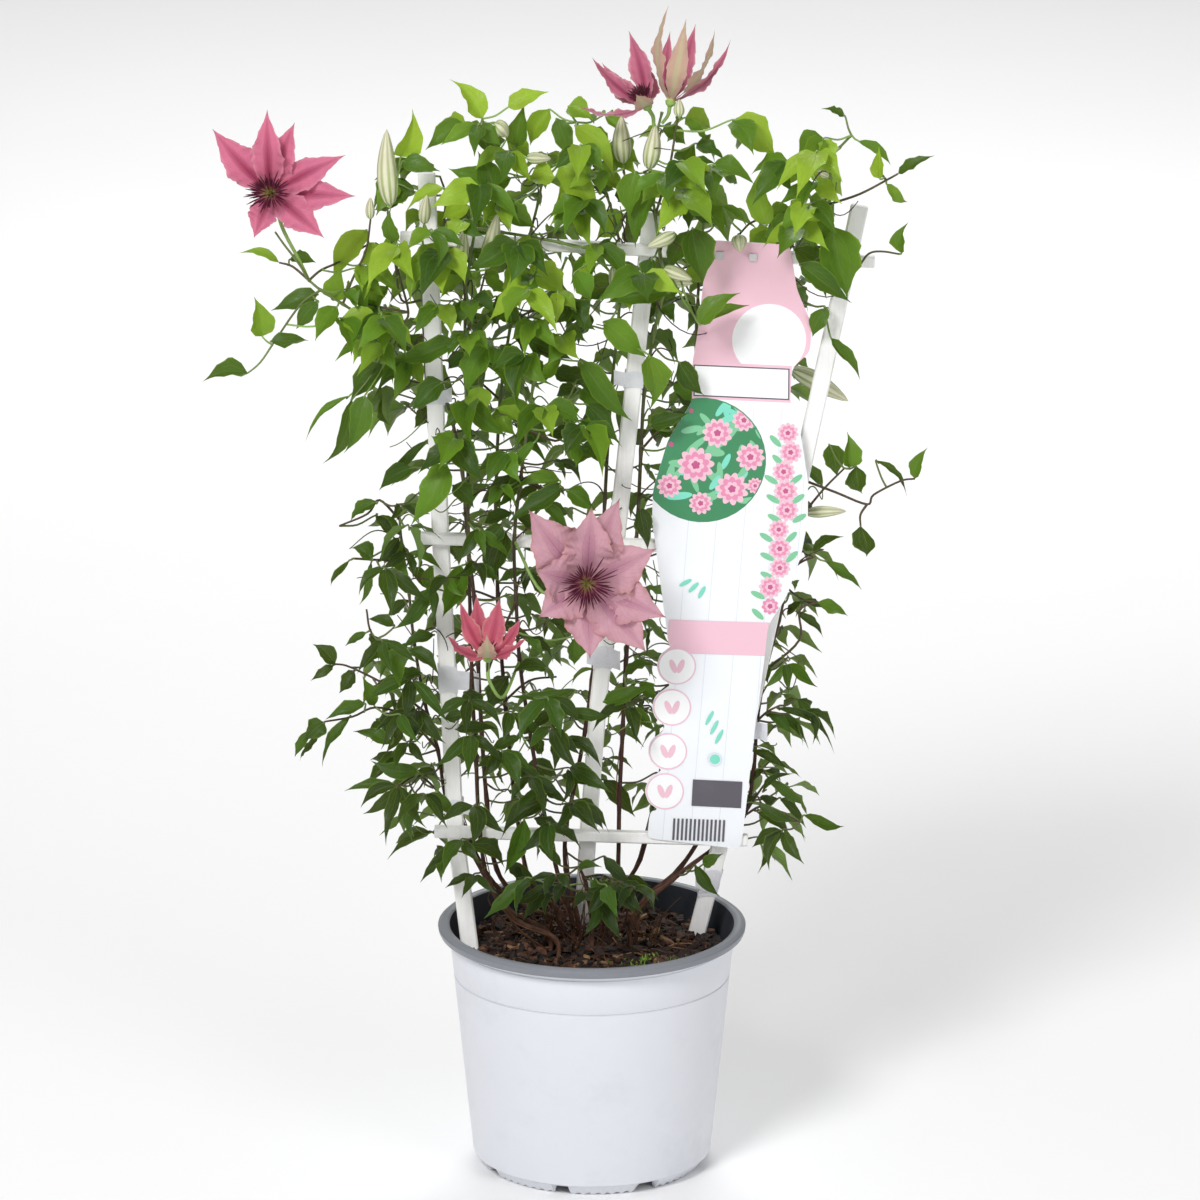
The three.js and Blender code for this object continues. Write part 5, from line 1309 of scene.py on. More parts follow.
class Effects:
    """The node groups that several materials share."""

    def __init__(self) -> None:
        """Build each group once."""
        self.form = self._form()
        self.mottle = self._mottle()
        self.veins = self._veins()
        self.fibres = self._fibres()
        self.scuffs = self._scuffs()

    @staticmethod
    def _open(name: str, inputs: dict[str, tuple[str, object]],
              outputs: Sequence[tuple[str, str]]) -> tuple[Graph, dict[str, Value]]:
        """Start a group with named sockets.

        Args:
            name: The group's name.
            inputs: Each input's kind and value.
            outputs: Each output's name and kind.

        Returns:
            The graph, and its inputs by name.
        """
        tree = bpy.data.node_groups.new(name, "ShaderNodeTree")
        for socket, (kind, value) in inputs.items():
            made = tree.interface.new_socket(socket, in_out="INPUT", socket_type="NodeSocket" + kind)
            if value is not None:
                made.default_value = value
        for socket, kind in outputs:
            tree.interface.new_socket(socket, in_out="OUTPUT", socket_type="NodeSocket" + kind)
        graph = Graph(tree)
        return graph, graph.read("NodeGroupInput")

    def mottled(self, graph: Graph, shade: object, clouds: Clouds) -> Value:
        """Return a colour varied by the mottle group."""
        size, light, hue = clouds
        return graph.group(self.mottle, Colour=shade, Size=size, Light=light, Hue=hue)["Colour"]

    def _form(self) -> bpy.types.NodeTree:
        """Make the group that reads the place across and along a sheet, and its tone.

        Returns:
            The group's tree.
        """
        graph, _ = self._open("Form", {}, (("Across", "Float"), ("Along", "Float"), ("Tone", "Float")))
        read = graph.read("ShaderNodeAttribute", {"attribute_name": "form"})
        parts = graph.read("ShaderNodeSeparateXYZ", Vector=read["Vector"])
        graph.node("NodeGroupOutput", Across=parts["X"], Along=parts["Y"], Tone=parts["Z"])
        return graph.tree

    def _mottle(self) -> bpy.types.NodeTree:
        """Make the group that varies a colour's hue and brightness in clouds.

        Returns:
            The group's tree.
        """
        graph, given = self._open(
            "Mottle",
            {"Colour": ("Color", (0.5, 0.5, 0.5, 1)), "Size": ("Float", 60.0),
             "Light": ("Float", 0.3), "Hue": ("Float", 0.02)},
            (("Colour", "Color"),),
        )
        spot = graph.place()
        broad = graph.clouds(spot, given["Size"], 3)
        fine = graph.clouds(spot, given["Size"] * 7.3, 2)
        swing = (broad * 0.7 + fine * 0.3 - 0.5) * 2
        shifted = graph.read("ShaderNodeHueSaturation", Hue=swing * given["Hue"] + 0.5,
                             Value=swing * given["Light"] + 1, Color=given["Colour"])
        graph.node("NodeGroupOutput", Colour=shifted["Color"])
        return graph.tree

    def _veins(self) -> bpy.types.NodeTree:
        """Make the group for a blade's midrib, its curved side ribs and slanting fine veins.

        Returns:
            The group's tree.
        """
        graph, given = self._open(
            "Veins",
            {"Across": ("Float", 0.0), "Along": ("Float", 0.0), "Rib": ("Float", 0.05),
             "Spread": ("Float", 0.45), "Count": ("Float", 9.0), "Slant": ("Float", 2.2),
             "Fine": ("Float", 0.5)},
            (("Mask", "Float"), ("Height", "Float")),
        )
        u, t = abs(given["Across"]), given["Along"]
        slim = given["Rib"] * (1.15 - t)
        middle = graph.ranged(u, slim, slim * 0.35)
        arch = graph.math("POWER", graph.math("SINE", t * math.pi), 0.55)
        side = graph.ranged(abs(u - given["Spread"] * arch), slim * 0.75, slim * 0.2) * 0.75
        wave = graph.math("PINGPONG", t * given["Count"] - u * given["Slant"], 0.5)
        net = graph.read("ShaderNodeTexVoronoi", {"feature": "DISTANCE_TO_EDGE"}, Scale=620.0,
                         Vector=graph.place())
        mesh = graph.ranged(net["Distance"], 0.09, 0.0) * 0.35
        fine = graph.math("MAXIMUM", graph.ranged(wave, 0.1, 0.0), mesh) * given["Fine"]
        mask = graph.math("MAXIMUM", graph.math("MAXIMUM", middle, side), fine)
        graph.node("NodeGroupOutput", Mask=mask, Height=1 - mask)
        return graph.tree

    def _fibres(self) -> bpy.types.NodeTree:
        """Make the group for long streaks, as in wood, bark and filaments.

        Returns:
            The group's tree.
        """
        graph, given = self._open(
            "Fibres",
            {"Vector": ("Vector", None), "Scale": ("Float", 300.0), "Stretch": ("Float", 0.06)},
            (("Mask", "Float"), ("Height", "Float")),
        )
        parts = graph.read("ShaderNodeSeparateXYZ", Vector=given["Vector"])
        spot = graph.read("ShaderNodeCombineXYZ", X=parts["X"], Y=parts["Y"],
                          Z=parts["Z"] * given["Stretch"])["Vector"]
        broad = graph.clouds(spot, given["Scale"], 4, 0.6)
        fine = graph.clouds(spot, given["Scale"] * 4.7, 3, 0.7)
        graph.node("NodeGroupOutput", Mask=graph.ranged(broad, 0.38, 0.66), Height=broad * 0.6 + fine * 0.4)
        return graph.tree

    def _scuffs(self) -> bpy.types.NodeTree:
        """Make the group for fine scratches and rubbed-in dust.

        Returns:
            The group's tree.
        """
        graph, given = self._open(
            "Scuffs",
            {"Scale": ("Float", 40.0), "Amount": ("Float", 0.5)},
            (("Mask", "Float"), ("Height", "Float")),
        )
        spot = graph.place()
        lines = graph.read("ShaderNodeMapping", {"vector_type": "POINT"}, Vector=spot,
                           Rotation=(0.4, 0.9, 0.3), Scale=(9.0, 9.0, 0.7))
        scratch = graph.ranged(graph.clouds(lines["Vector"], given["Scale"] * 3, 2, 0.8), 0.66, 0.74)
        dust = graph.ranged(graph.clouds(spot, given["Scale"], 5, 0.7), 0.5, 0.75)
        dots = graph.read("ShaderNodeTexVoronoi", Scale=75.0, Vector=spot)
        kept = graph.read("ShaderNodeSeparateColor", Color=dots["Color"])
        speck = graph.ranged(dots["Distance"], 0.05, 0.03) * graph.math("GREATER_THAN", kept["Red"], 0.72)
        both = graph.math("MAXIMUM", graph.math("MAXIMUM", scratch * 0.6, dust), speck * 1.8)
        graph.node("NodeGroupOutput", Mask=both * given["Amount"], Height=graph.clouds(spot, 900.0, 2))
        return graph.tree


@dataclass(frozen=True)
class Paint:
    """What a finish puts on its shader: a colour, where it is rough, its relief and its glow."""

    shade: Value
    worn: Value
    height: Value
    glow: object = None


@dataclass(frozen=True)
class Finish:
    """A finish: the clouds in its colour, its roughness by wear, its relief and its soft light.

    The clouds hold their number in a metre and the swings in brightness and hue, and the relief
    holds a strength and a depth in metres.
    """

    name: str
    clouds: Clouds
    rough: tuple[float, float]
    relief: tuple[float, float]
    worn_from: float = 0.0
    gloss: float = 0.5
    sheen: float = 0.0
    through: float = 0.0

    def paint(self, graph: Graph, effects: Effects) -> Paint:
        """Build the finish's own nodes, which every finish does in its own way."""
        raise NotImplementedError

    def make(self, effects: Effects) -> bpy.types.Material:
        """Make the material.

        Args:
            effects: The shared node groups.

        Returns:
            The material.
        """
        material = bpy.data.materials.new(self.name)
        material.use_nodes = True
        material.node_tree.nodes.clear()
        graph = Graph(material.node_tree)
        paint = self.paint(graph, effects)
        surface = graph.node(
            "ShaderNodeBsdfPrincipled",
            Base_Color=paint.shade,
            Roughness=graph.ranged(paint.worn, self.worn_from, 1, *self.rough),
            Normal=graph.bump(paint.height, *self.relief),
            Specular_IOR_Level=self.gloss,
            Sheen_Weight=self.sheen,
        ).outputs[0]
        if self.through:
            glow = graph.node("ShaderNodeBsdfTranslucent", Color=paint.glow)
            both = graph.node("ShaderNodeMixShader")
            for place, item in enumerate((self.through, surface, glow.outputs[0])):
                graph.feed(both.inputs[place], item)
            surface = both.outputs[0]
        graph.node("ShaderNodeOutputMaterial", Surface=surface)
        return material


@dataclass(frozen=True)
class LeafFinish(Finish):
    """A leaf: green by how old it is, darker on leaves behind as painted shade, pale veins, a paler
    underside and a soft gloss.
    """

    name: str = "clematis_leaf"
    clouds: Clouds = (38, 0.32, 0.018)
    rough: tuple[float, float] = (0.38, 0.53)
    relief: tuple[float, float] = (0.5, 0.0006)
    gloss: float = 0.28
    through: float = 0.22
    greens: Stops = ((0.0, "192c0e"), (0.38, "345516"), (0.7, "5a821e"), (1.0, "9bbb36"))
    veins: str = "8fb050"
    edge: str = "9bbb36"
    under: str = "7f9a58"
    lit: str = "b4d24a"

    def paint(self, graph: Graph, effects: Effects) -> Paint:
        """Build the leaf's own nodes.

        Args:
            graph: The material's graph.
            effects: The shared node groups.

        Returns:
            The paint.
        """
        form = graph.group(effects.form)
        across = form["Across"]
        base = effects.mottled(graph, graph.ramp(form["Tone"], self.greens), self.clouds)
        veins = graph.group(effects.veins, Across=across, Along=form["Along"], Rib=0.06,
                            Spread=0.5, Count=7.0, Slant=2.4, Fine=0.42)
        veined = graph.mix(veins["Mask"] * 0.5, base, graph.mix(0.45, base, self.veins))
        veined = graph.mix(graph.ranged(abs(across), 0.86, 1.0, 0.0, 0.3), veined, self.edge)
        back = graph.read("ShaderNodeNewGeometry")["Backfacing"]
        shade = graph.mix(back, veined, graph.mix(0.55, base, self.under))
        height = veins["Height"] * 0.8 + graph.clouds(graph.place(), 330.0) * 0.35
        return Paint(shade, veins["Mask"], height, graph.mix(0.5, shade, self.lit))


@dataclass(frozen=True)
class StemFinish(Finish):
    """A stem: green or brown-purple to woody, with streaks along it."""

    name: str = "clematis_stem"
    clouds: Clouds = (70, 0.35, 0.012)
    rough: tuple[float, float] = (0.45, 0.85)
    relief: tuple[float, float] = (0.55, 0.0006)
    worn_from: float = 0.1
    browns: Stops = ((0.0, "9cbf67"), (0.2, "7fa04c"), (0.4, "5d5a36"), (0.55, "4a2d24"),
                     (0.8, "4f2e21"), (1.0, "7d5639"))
    streak: str = "2c1a13"

    def paint(self, graph: Graph, effects: Effects) -> Paint:
        """Build the stem's own nodes.

        Args:
            graph: The material's graph.
            effects: The shared node groups.

        Returns:
            The paint.
        """
        form = graph.group(effects.form)
        tone = form["Tone"]
        base = graph.ramp(tone, self.browns)
        turn = form["Across"] * 0.004
        spot = graph.read("ShaderNodeCombineXYZ", X=turn, Y=turn, Z=form["Along"] * 0.1)["Vector"]
        streaks = graph.group(effects.fibres, Vector=spot, Scale=900.0, Stretch=0.3)
        dark = graph.mix(0.6, base, self.streak, "MULTIPLY")
        shown = streaks["Mask"] * graph.ranged(tone, 0.1, 0.9, 0.12, 0.85)
        shade = effects.mottled(graph, graph.mix(shown, base, dark), self.clouds)
        return Paint(shade, tone, streaks["Height"] + graph.clouds(graph.place(), 420.0))


@dataclass(frozen=True)
class BudFinish(Finish):
    """A bud: pale green, creamier towards its tip and between its ridges."""

    name: str = "clematis_bud"
    clouds: Clouds = (60, 0.16, 0.012)
    rough: tuple[float, float] = (0.5, 0.6)
    relief: tuple[float, float] = (0.4, 0.0005)
    through: float = 0.12
    greens: Stops = ((0.0, "7d9c49"), (0.06, "8fa85a"), (0.35, "b3bf82"), (0.8, "c9c79f"))
    cream: str = "e6e6c6"

    def paint(self, graph: Graph, effects: Effects) -> Paint:
        """Build the bud's own nodes.

        Args:
            graph: The material's graph.
            effects: The shared node groups.

        Returns:
            The paint.
        """
        form = graph.group(effects.form)
        stripes = graph.ranged(graph.math("PINGPONG", form["Across"] * 8, 0.5), 0.08, 0.34)
        cream = graph.mix(stripes, graph.ramp(form["Tone"], self.greens), self.cream)
        shade = effects.mottled(graph, cream, self.clouds)
        return Paint(shade, stripes, stripes + graph.clouds(graph.place(), 500.0), shade)


@dataclass(frozen=True)
class PetalFinish(Finish):
    """A petal: a bar along its middle, fine veins, a paler rim and back.

    The colours are those of the body, the bar, the rim and the back.
    """

    colours: tuple[str, str, str, str] = ("d3718f", "9c2b52", "dd97a8", "cf9f9c")
    pale_bars: float = 0.0
    clouds: Clouds = (55, 0.2, 0.014)
    clouds_behind: Clouds = (60, 0.15, 0.01)
    rough: tuple[float, float] = (0.5, 0.62)
    relief: tuple[float, float] = (0.45, 0.0008)
    gloss: float = 0.35
    sheen: float = 0.12
    through: float = 0.18
    point: str = "5d2b45"
    veins_behind: str = "b7b98a"

    def paint(self, graph: Graph, effects: Effects) -> Paint:
        """Build the petal's own nodes.

        Args:
            graph: The material's graph.
            effects: The shared node groups.

        Returns:
            The paint.
        """
        body, bar, rim, back = self.colours
        form = graph.group(effects.form)
        across, along_rib = form["Across"], form["Along"]
        u = abs(across)
        broad = 0.3 + graph.clouds(graph.place(), 150.0) * 0.25
        stripe = graph.ranged(u, broad, 0.05) * graph.ranged(along_rib, 1.0, 0.35, 0.15, 0.85)
        pale = graph.ranged(form["Tone"], 0.78, 0.8) * self.pale_bars
        base = graph.mix(stripe, body, graph.mix(pale, bar, back))
        veins = graph.group(effects.veins, Across=across, Along=along_rib, Rib=0.045,
                            Spread=0.24, Count=13.0, Slant=5.0, Fine=0.5)
        base = graph.mix(veins["Mask"] * 0.4, base, graph.mix(0.75, base, bar, "MULTIPLY"))
        edge = graph.math("MAXIMUM", graph.ranged(u, 0.72, 1.0), graph.ranged(along_rib, 0.84, 1.0))
        base = graph.mix(edge * 0.55, base, rim)
        base = graph.mix(graph.ranged(along_rib - u * 0.04, 0.9, 0.99) * 0.7, base, self.point)
        front = effects.mottled(graph, base, self.clouds)
        behind = graph.mix(graph.ranged(u, 0.5, 0.1) * 0.6, graph.mix(0.5, body, back), back)
        behind = graph.mix(veins["Mask"] * 0.35, behind, self.veins_behind)
        behind = effects.mottled(graph, behind, self.clouds_behind)
        shade = graph.mix(graph.read("ShaderNodeNewGeometry")["Backfacing"], front, behind)
        height = veins["Height"] * 0.7 + graph.clouds(graph.place(), 260.0) * 0.5
        return Paint(shade, veins["Mask"], height, shade)


@dataclass(frozen=True)
class GrainFinish(Finish):
    """A finish coloured by its tone, with a fine grain: the stamens and the moss."""

    stops: Stops = ()
    grain: float = 1500.0
    grain_detail: float = 2

    def paint(self, graph: Graph, effects: Effects) -> Paint:
        """Build the nodes of the tones and the grain.

        Args:
            graph: The material's graph.
            effects: The shared node groups.

        Returns:
            The paint.
        """
        base = graph.ramp(graph.group(effects.form)["Tone"], self.stops)
        grains = graph.clouds(graph.place(), self.grain, self.grain_detail)
        return Paint(effects.mottled(graph, base, self.clouds), grains, grains)


@dataclass(frozen=True)
class RubbedFinish(Finish):
    """A smooth skin with scuffs and dust rubbed into it: moulded plastic, card and ink."""

    body: str = "ffffff"
    rubbed: str = "b9bcc6"
    share: float = 0.35
    scale: float = 22.0
    amount: float = 0.4
    clouds: Clouds = (9, 0.035, 0.004)
    rough: tuple[float, float] = (0.36, 0.66)
    relief: tuple[float, float] = (0.08, 0.0004)
    gloss: float = 0.28

    def paint(self, graph: Graph, effects: Effects) -> Paint:
        """Build the nodes of the scuffs.

        Args:
            graph: The material's graph.
            effects: The shared node groups.

        Returns:
            The paint.
        """
        marks = graph.group(effects.scuffs, Scale=self.scale, Amount=self.amount)
        base = graph.mix(marks["Mask"] * self.share, self.body, self.rubbed)
        return Paint(effects.mottled(graph, base, self.clouds), marks["Mask"], marks["Height"])


@dataclass(frozen=True)
class CardFinish(RubbedFinish):
    """A smooth coated card or one ink on it."""

    share: float = 0.14
    scale: float = 18.0
    amount: float = 0.35
    relief: tuple[float, float] = (0.06, 0.0003)
    clouds: Clouds = (14, 0.03, 0.004)
    rough: tuple[float, float] = (0.3, 0.5)
    gloss: float = 0.5


@dataclass(frozen=True)
class WoodFinish(Finish):
    """White paint on wood, thin over its grain and yellowed on its sides."""

    name: str = "painted_slat"
    clouds: Clouds = (30, 0.05, 0.006)
    rough: tuple[float, float] = (0.5, 0.75)
    relief: tuple[float, float] = (0.4, 0.0007)
    white: str = "fbfafa"
    bare: str = "d5cec4"
    dirt: str = "b9ad9d"
    yellowed: str = "dfd7ae"

    def paint(self, graph: Graph, effects: Effects) -> Paint:
        """Build the painted wood's own nodes.

        Args:
            graph: The material's graph.
            effects: The shared node groups.

        Returns:
            The paint.
        """
        grain = graph.group(effects.fibres, Vector=graph.place(), Scale=420.0, Stretch=0.05)
        marks = graph.group(effects.scuffs, Scale=60.0, Amount=0.5)
        base = graph.mix(grain["Mask"] * 0.14, self.white, self.bare)
        base = graph.mix(marks["Mask"] * 0.25, base, self.dirt)
        normal = graph.read("ShaderNodeNewGeometry")["Normal"]
        facing = graph.read("ShaderNodeSeparateXYZ", Vector=normal)["X"]
        base = graph.mix(graph.ranged(abs(facing), 0.6, 0.95, 0, 0.22), base, self.yellowed)
        return Paint(effects.mottled(graph, base, self.clouds), marks["Mask"], grain["Height"])


@dataclass(frozen=True)
class TapeFinish(Finish):
    """Milky, slightly glossy tie tape."""

    name: str = "milky_tape"
    clouds: Clouds = (80, 0.07, 0.004)
    rough: tuple[float, float] = (0.25, 0.5)
    relief: tuple[float, float] = (0.6, 0.0009)
    through: float = 0.25
    milky: str = "eeeef3"
    rubbed: str = "c4c6d0"
    lit: str = "e8eaf2"

    def paint(self, graph: Graph, effects: Effects) -> Paint:
        """Build the tape's own nodes.

        Args:
            graph: The material's graph.
            effects: The shared node groups.

        Returns:
            The paint.
        """
        marks = graph.group(effects.scuffs, Scale=120.0, Amount=0.9)
        base = graph.mix(marks["Mask"] * 0.5, self.milky, self.rubbed)
        wrinkles = graph.clouds(graph.place(), 210.0, 4) + marks["Height"]
        return Paint(effects.mottled(graph, base, self.clouds), marks["Mask"], wrinkles, self.lit)


@dataclass(frozen=True)
class PeatFinish(Finish):
    """Dark, damp peat between the chips."""

    name: str = "dark_peat"
    clouds: Clouds = (90, 0.5, 0.02)
    rough: tuple[float, float] = (0.8, 1.0)
    relief: tuple[float, float] = (1.0, 0.003)
    browns: Stops = ((0.3, "0c0806"), (0.55, "21150f"), (0.75, "43291c"))

    def paint(self, graph: Graph, effects: Effects) -> Paint:
        """Build the peat's own nodes.

        Args:
            graph: The material's graph.
            effects: The shared node groups.

        Returns:
            The paint.
        """
        spot = graph.place()
        crumbs = graph.read("ShaderNodeTexVoronoi", Scale=420.0, Vector=spot)
        lumps = graph.clouds(spot, 300.0, 5, 0.7)
        shade = effects.mottled(graph, graph.ramp(lumps, self.browns), self.clouds)
        return Paint(shade, lumps, lumps - crumbs["Distance"])


@dataclass(frozen=True)
class BarkFinish(Finish):
    """Bark chips and fibres, each of its own brown."""

    name: str = "bark_chips"
    clouds: Clouds = (160, 0.4, 0.015)
    rough: tuple[float, float] = (0.75, 0.95)
    relief: tuple[float, float] = (0.9, 0.0015)
    browns: Stops = ((0.0, "100907"), (0.4, "281710"), (0.7, "482a1b"), (0.92, "6b4530"),
                     (1.0, "a5815a"))
    streak: str = "21130d"

    def paint(self, graph: Graph, effects: Effects) -> Paint:
        """Build the bark's own nodes.

        Args:
            graph: The material's graph.
            effects: The shared node groups.

        Returns:
            The paint.
        """
        base = graph.ramp(graph.group(effects.form)["Tone"], self.browns)
        streaks = graph.group(effects.fibres, Vector=graph.place(), Scale=260.0, Stretch=0.4)
        base = graph.mix(streaks["Mask"] * 0.6, base, self.streak)
        return Paint(effects.mottled(graph, base, self.clouds), streaks["Mask"], streaks["Height"])


STAMEN = GrainFinish(
    "clematis_stamen", (240, 0.4, 0.02), (0.45, 0.75), (0.6, 0.0003),
    stops=((0.0, "d6da86"), (0.3, "c9c07c"), (0.46, "b25f7d"), (0.58, "6b1c3e"), (0.9, "461227"),
           (1.0, "6b2a35")),
)
MOSS = GrainFinish(
    "pot_moss", (240, 0.35, 0.02), (0.7, 0.95), (0.6, 0.0006),
    stops=((0.0, "2c4a1c"), (0.6, "5d7f2d"), (1.0, "93ab45")), grain=1200.0, grain_detail=3,
)
POT = RubbedFinish(name="pot_white", body="dfe1e8", rubbed="aeb1b8")
POT_RIM = RubbedFinish(name="pot_rim_grey", body="85888f", rubbed="a3a5ab", amount=0.5)
POT_INSIDE = RubbedFinish(name="pot_dark_inside", body="34373f", rubbed="55483e", rough=(0.5, 0.8),
                          amount=0.6)
# The pot's seam and grooves take this darker grey band: painted shade in the grooves.
POT_GROOVE_SHADE = RubbedFinish(name="pot_groove_painted_shade", body="cfd1d8", rubbed="8f9197", rough=(0.5, 0.8),
                        amount=0.5)
PIN = RubbedFinish(name="pin_clear_grey", body="d3cfd2", rubbed="a8a2a6", rough=(0.3, 0.6), amount=0.3)


class Looks:
    """Every material of the model, built once from shared node groups."""

    def __init__(self) -> None:
        """Build every material but the petals and the inks."""
        self._effects = Effects()
        self.leaf, self.stem, self.bud = self._made(LeafFinish(), StemFinish(), BudFinish())
        self.stamen, self.moss = self._made(STAMEN, MOSS)
        self.pot = self._made(POT, POT_RIM, POT_INSIDE, POT_GROOVE_SHADE)
        self.pin, self.card = self._made(PIN, CardFinish(name="card_white", body="f3f6fb"))
        self.wood, self.tape = self._made(WoodFinish(), TapeFinish())
        self.soil = self._made(PeatFinish(), BarkFinish())

    def _made(self, *finishes: Finish) -> list[bpy.types.Material]:
        """Return the materials of some finishes."""
        return [finish.make(self._effects) for finish in finishes]

    def petal(self, bloom: Bloom) -> bpy.types.Material:
        """Make a bloom's petal.

        Args:
            bloom: The flower.

        Returns:
            The material.
        """
        finish = PetalFinish(name="petal_" + bloom.name, colours=bloom.colours,
                             pale_bars=bloom.pale_bars)
        return finish.make(self._effects)

    def ink(self, ink: Ink) -> bpy.types.Material:
        """Make one ink of the card's print."""
        return CardFinish(name="ink_" + ink.name.lower(), body=ink.value).make(self._effects)


@dataclass
class Studio:
    """A pale floor, a bright surround, soft lights and the camera."""

    target: Point = (0.005, 0.0, 0.3606)
    distance: float = 4.0
    elevation: float = 15.9
    lens: float = 196.98
    sensor: float = 36
    clip_end: float = 60
    floor: float = 16.0
    floor_steps: int = 24
    floor_roughness: float = 0.9
    surround_strength: float = 0.36

    def make(self) -> None:
        """Set up floor, lights, surround and camera."""
        self._floor()
        self._surround()
        self._light("key", (-1.2, -2.4, 2.5), 1.0, 70, self.target)
        self._light("fill", (1.9, -2.3, 1.5), 1.6, 18, self.target)
        self._light("back", (0.3, 2.4, 2.4), 2.0, 26, self.target)
        self._light("ground", (0, 3.4, 3.0), 2.4, 46, (0, 3.3, 0))
        self._camera()
        bpy.context.scene.view_settings.view_transform = "Standard"

    def _floor(self) -> None:
        """Lay the floor and give it its paint."""
        steps = self.floor_steps
        line = np.linspace(-self.floor / 2, self.floor / 2, steps)
        points = [(float(x), float(y), 0.0) for y in line for x in line]
        faces = [(r * steps + c, r * steps + c + 1, (r + 1) * steps + c + 1, (r + 1) * steps + c)
                 for r in range(steps - 1) for c in range(steps - 1)]
        mesh = bpy.data.meshes.new("studio_floor")
        mesh.from_pydata(points, [], faces)
        floor = bpy.data.objects.new("studio_floor", mesh)
        bpy.context.scene.collection.objects.link(floor)
        material = bpy.data.materials.new("pale_floor")
        material.use_nodes = True
        graph = Graph(material.node_tree)
        shader = material.node_tree.nodes["Principled BSDF"]
        haze = graph.clouds(graph.place(), 1.5)
        graph.feed(shader.inputs["Base Color"], graph.mix(haze, "f6f6f6", "fbfbfb"))
        shader.inputs["Roughness"].default_value = self.floor_roughness
        mesh.materials.append(material)

    def _surround(self) -> None:
        """Set the near-white surround."""
        world = bpy.data.worlds.new("studio_surround")
        world.use_nodes = True
        back = world.node_tree.nodes["Background"]
        back.inputs["Color"].default_value = (1, 1, 1, 1)
        back.inputs["Strength"].default_value = self.surround_strength
        bpy.context.scene.world = world

    def _light(self, name: str, at: Point, size: float, power: float, aim: Point) -> None:
        """Hang one large soft light that points at a place.

        Args:
            name: The name.
            at: Where it hangs.
            size: Its width in metres.
            power: Its power in watts.
            aim: The place that it points at.
        """
        data = bpy.data.lights.new("light_" + name, "AREA")
        data.shape = "DISK"
        data.size = size
        data.energy = power
        lamp = bpy.data.objects.new("light_" + name, data)
        lamp.location = at
        way = Vector(aim) - Vector(at)
        lamp.rotation_euler = way.to_track_quat("-Z", "Y").to_euler()
        bpy.context.scene.collection.objects.link(lamp)

    def _camera(self) -> None:
        """Set the camera at the photograph's angle."""
        data = bpy.data.cameras.new("camera")
        data.lens = self.lens
        data.sensor_width = self.sensor
        data.clip_end = self.clip_end
        camera = bpy.data.objects.new("camera", data)
        tilt = math.radians(self.elevation)
        away = Vector((0, -math.cos(tilt), math.sin(tilt))) * self.distance
        camera.location = Vector(self.target) + away
        camera.rotation_euler = (math.radians(90 - self.elevation), 0, 0)
        bpy.context.scene.collection.objects.link(camera)
        bpy.context.scene.camera = camera


def form_values(points: np.ndarray, across: object, run: object, tone: object) -> np.ndarray:
    """Return the form of each point from its three values.

    Args:
        points: The points.
        across: The place across.
        run: The place along.
        tone: The tone.

    Returns:
        The forms.
    """
    forms = np.empty_like(points)
    for k, value in enumerate((across, run, tone)):
        forms[..., k] = value
    return forms


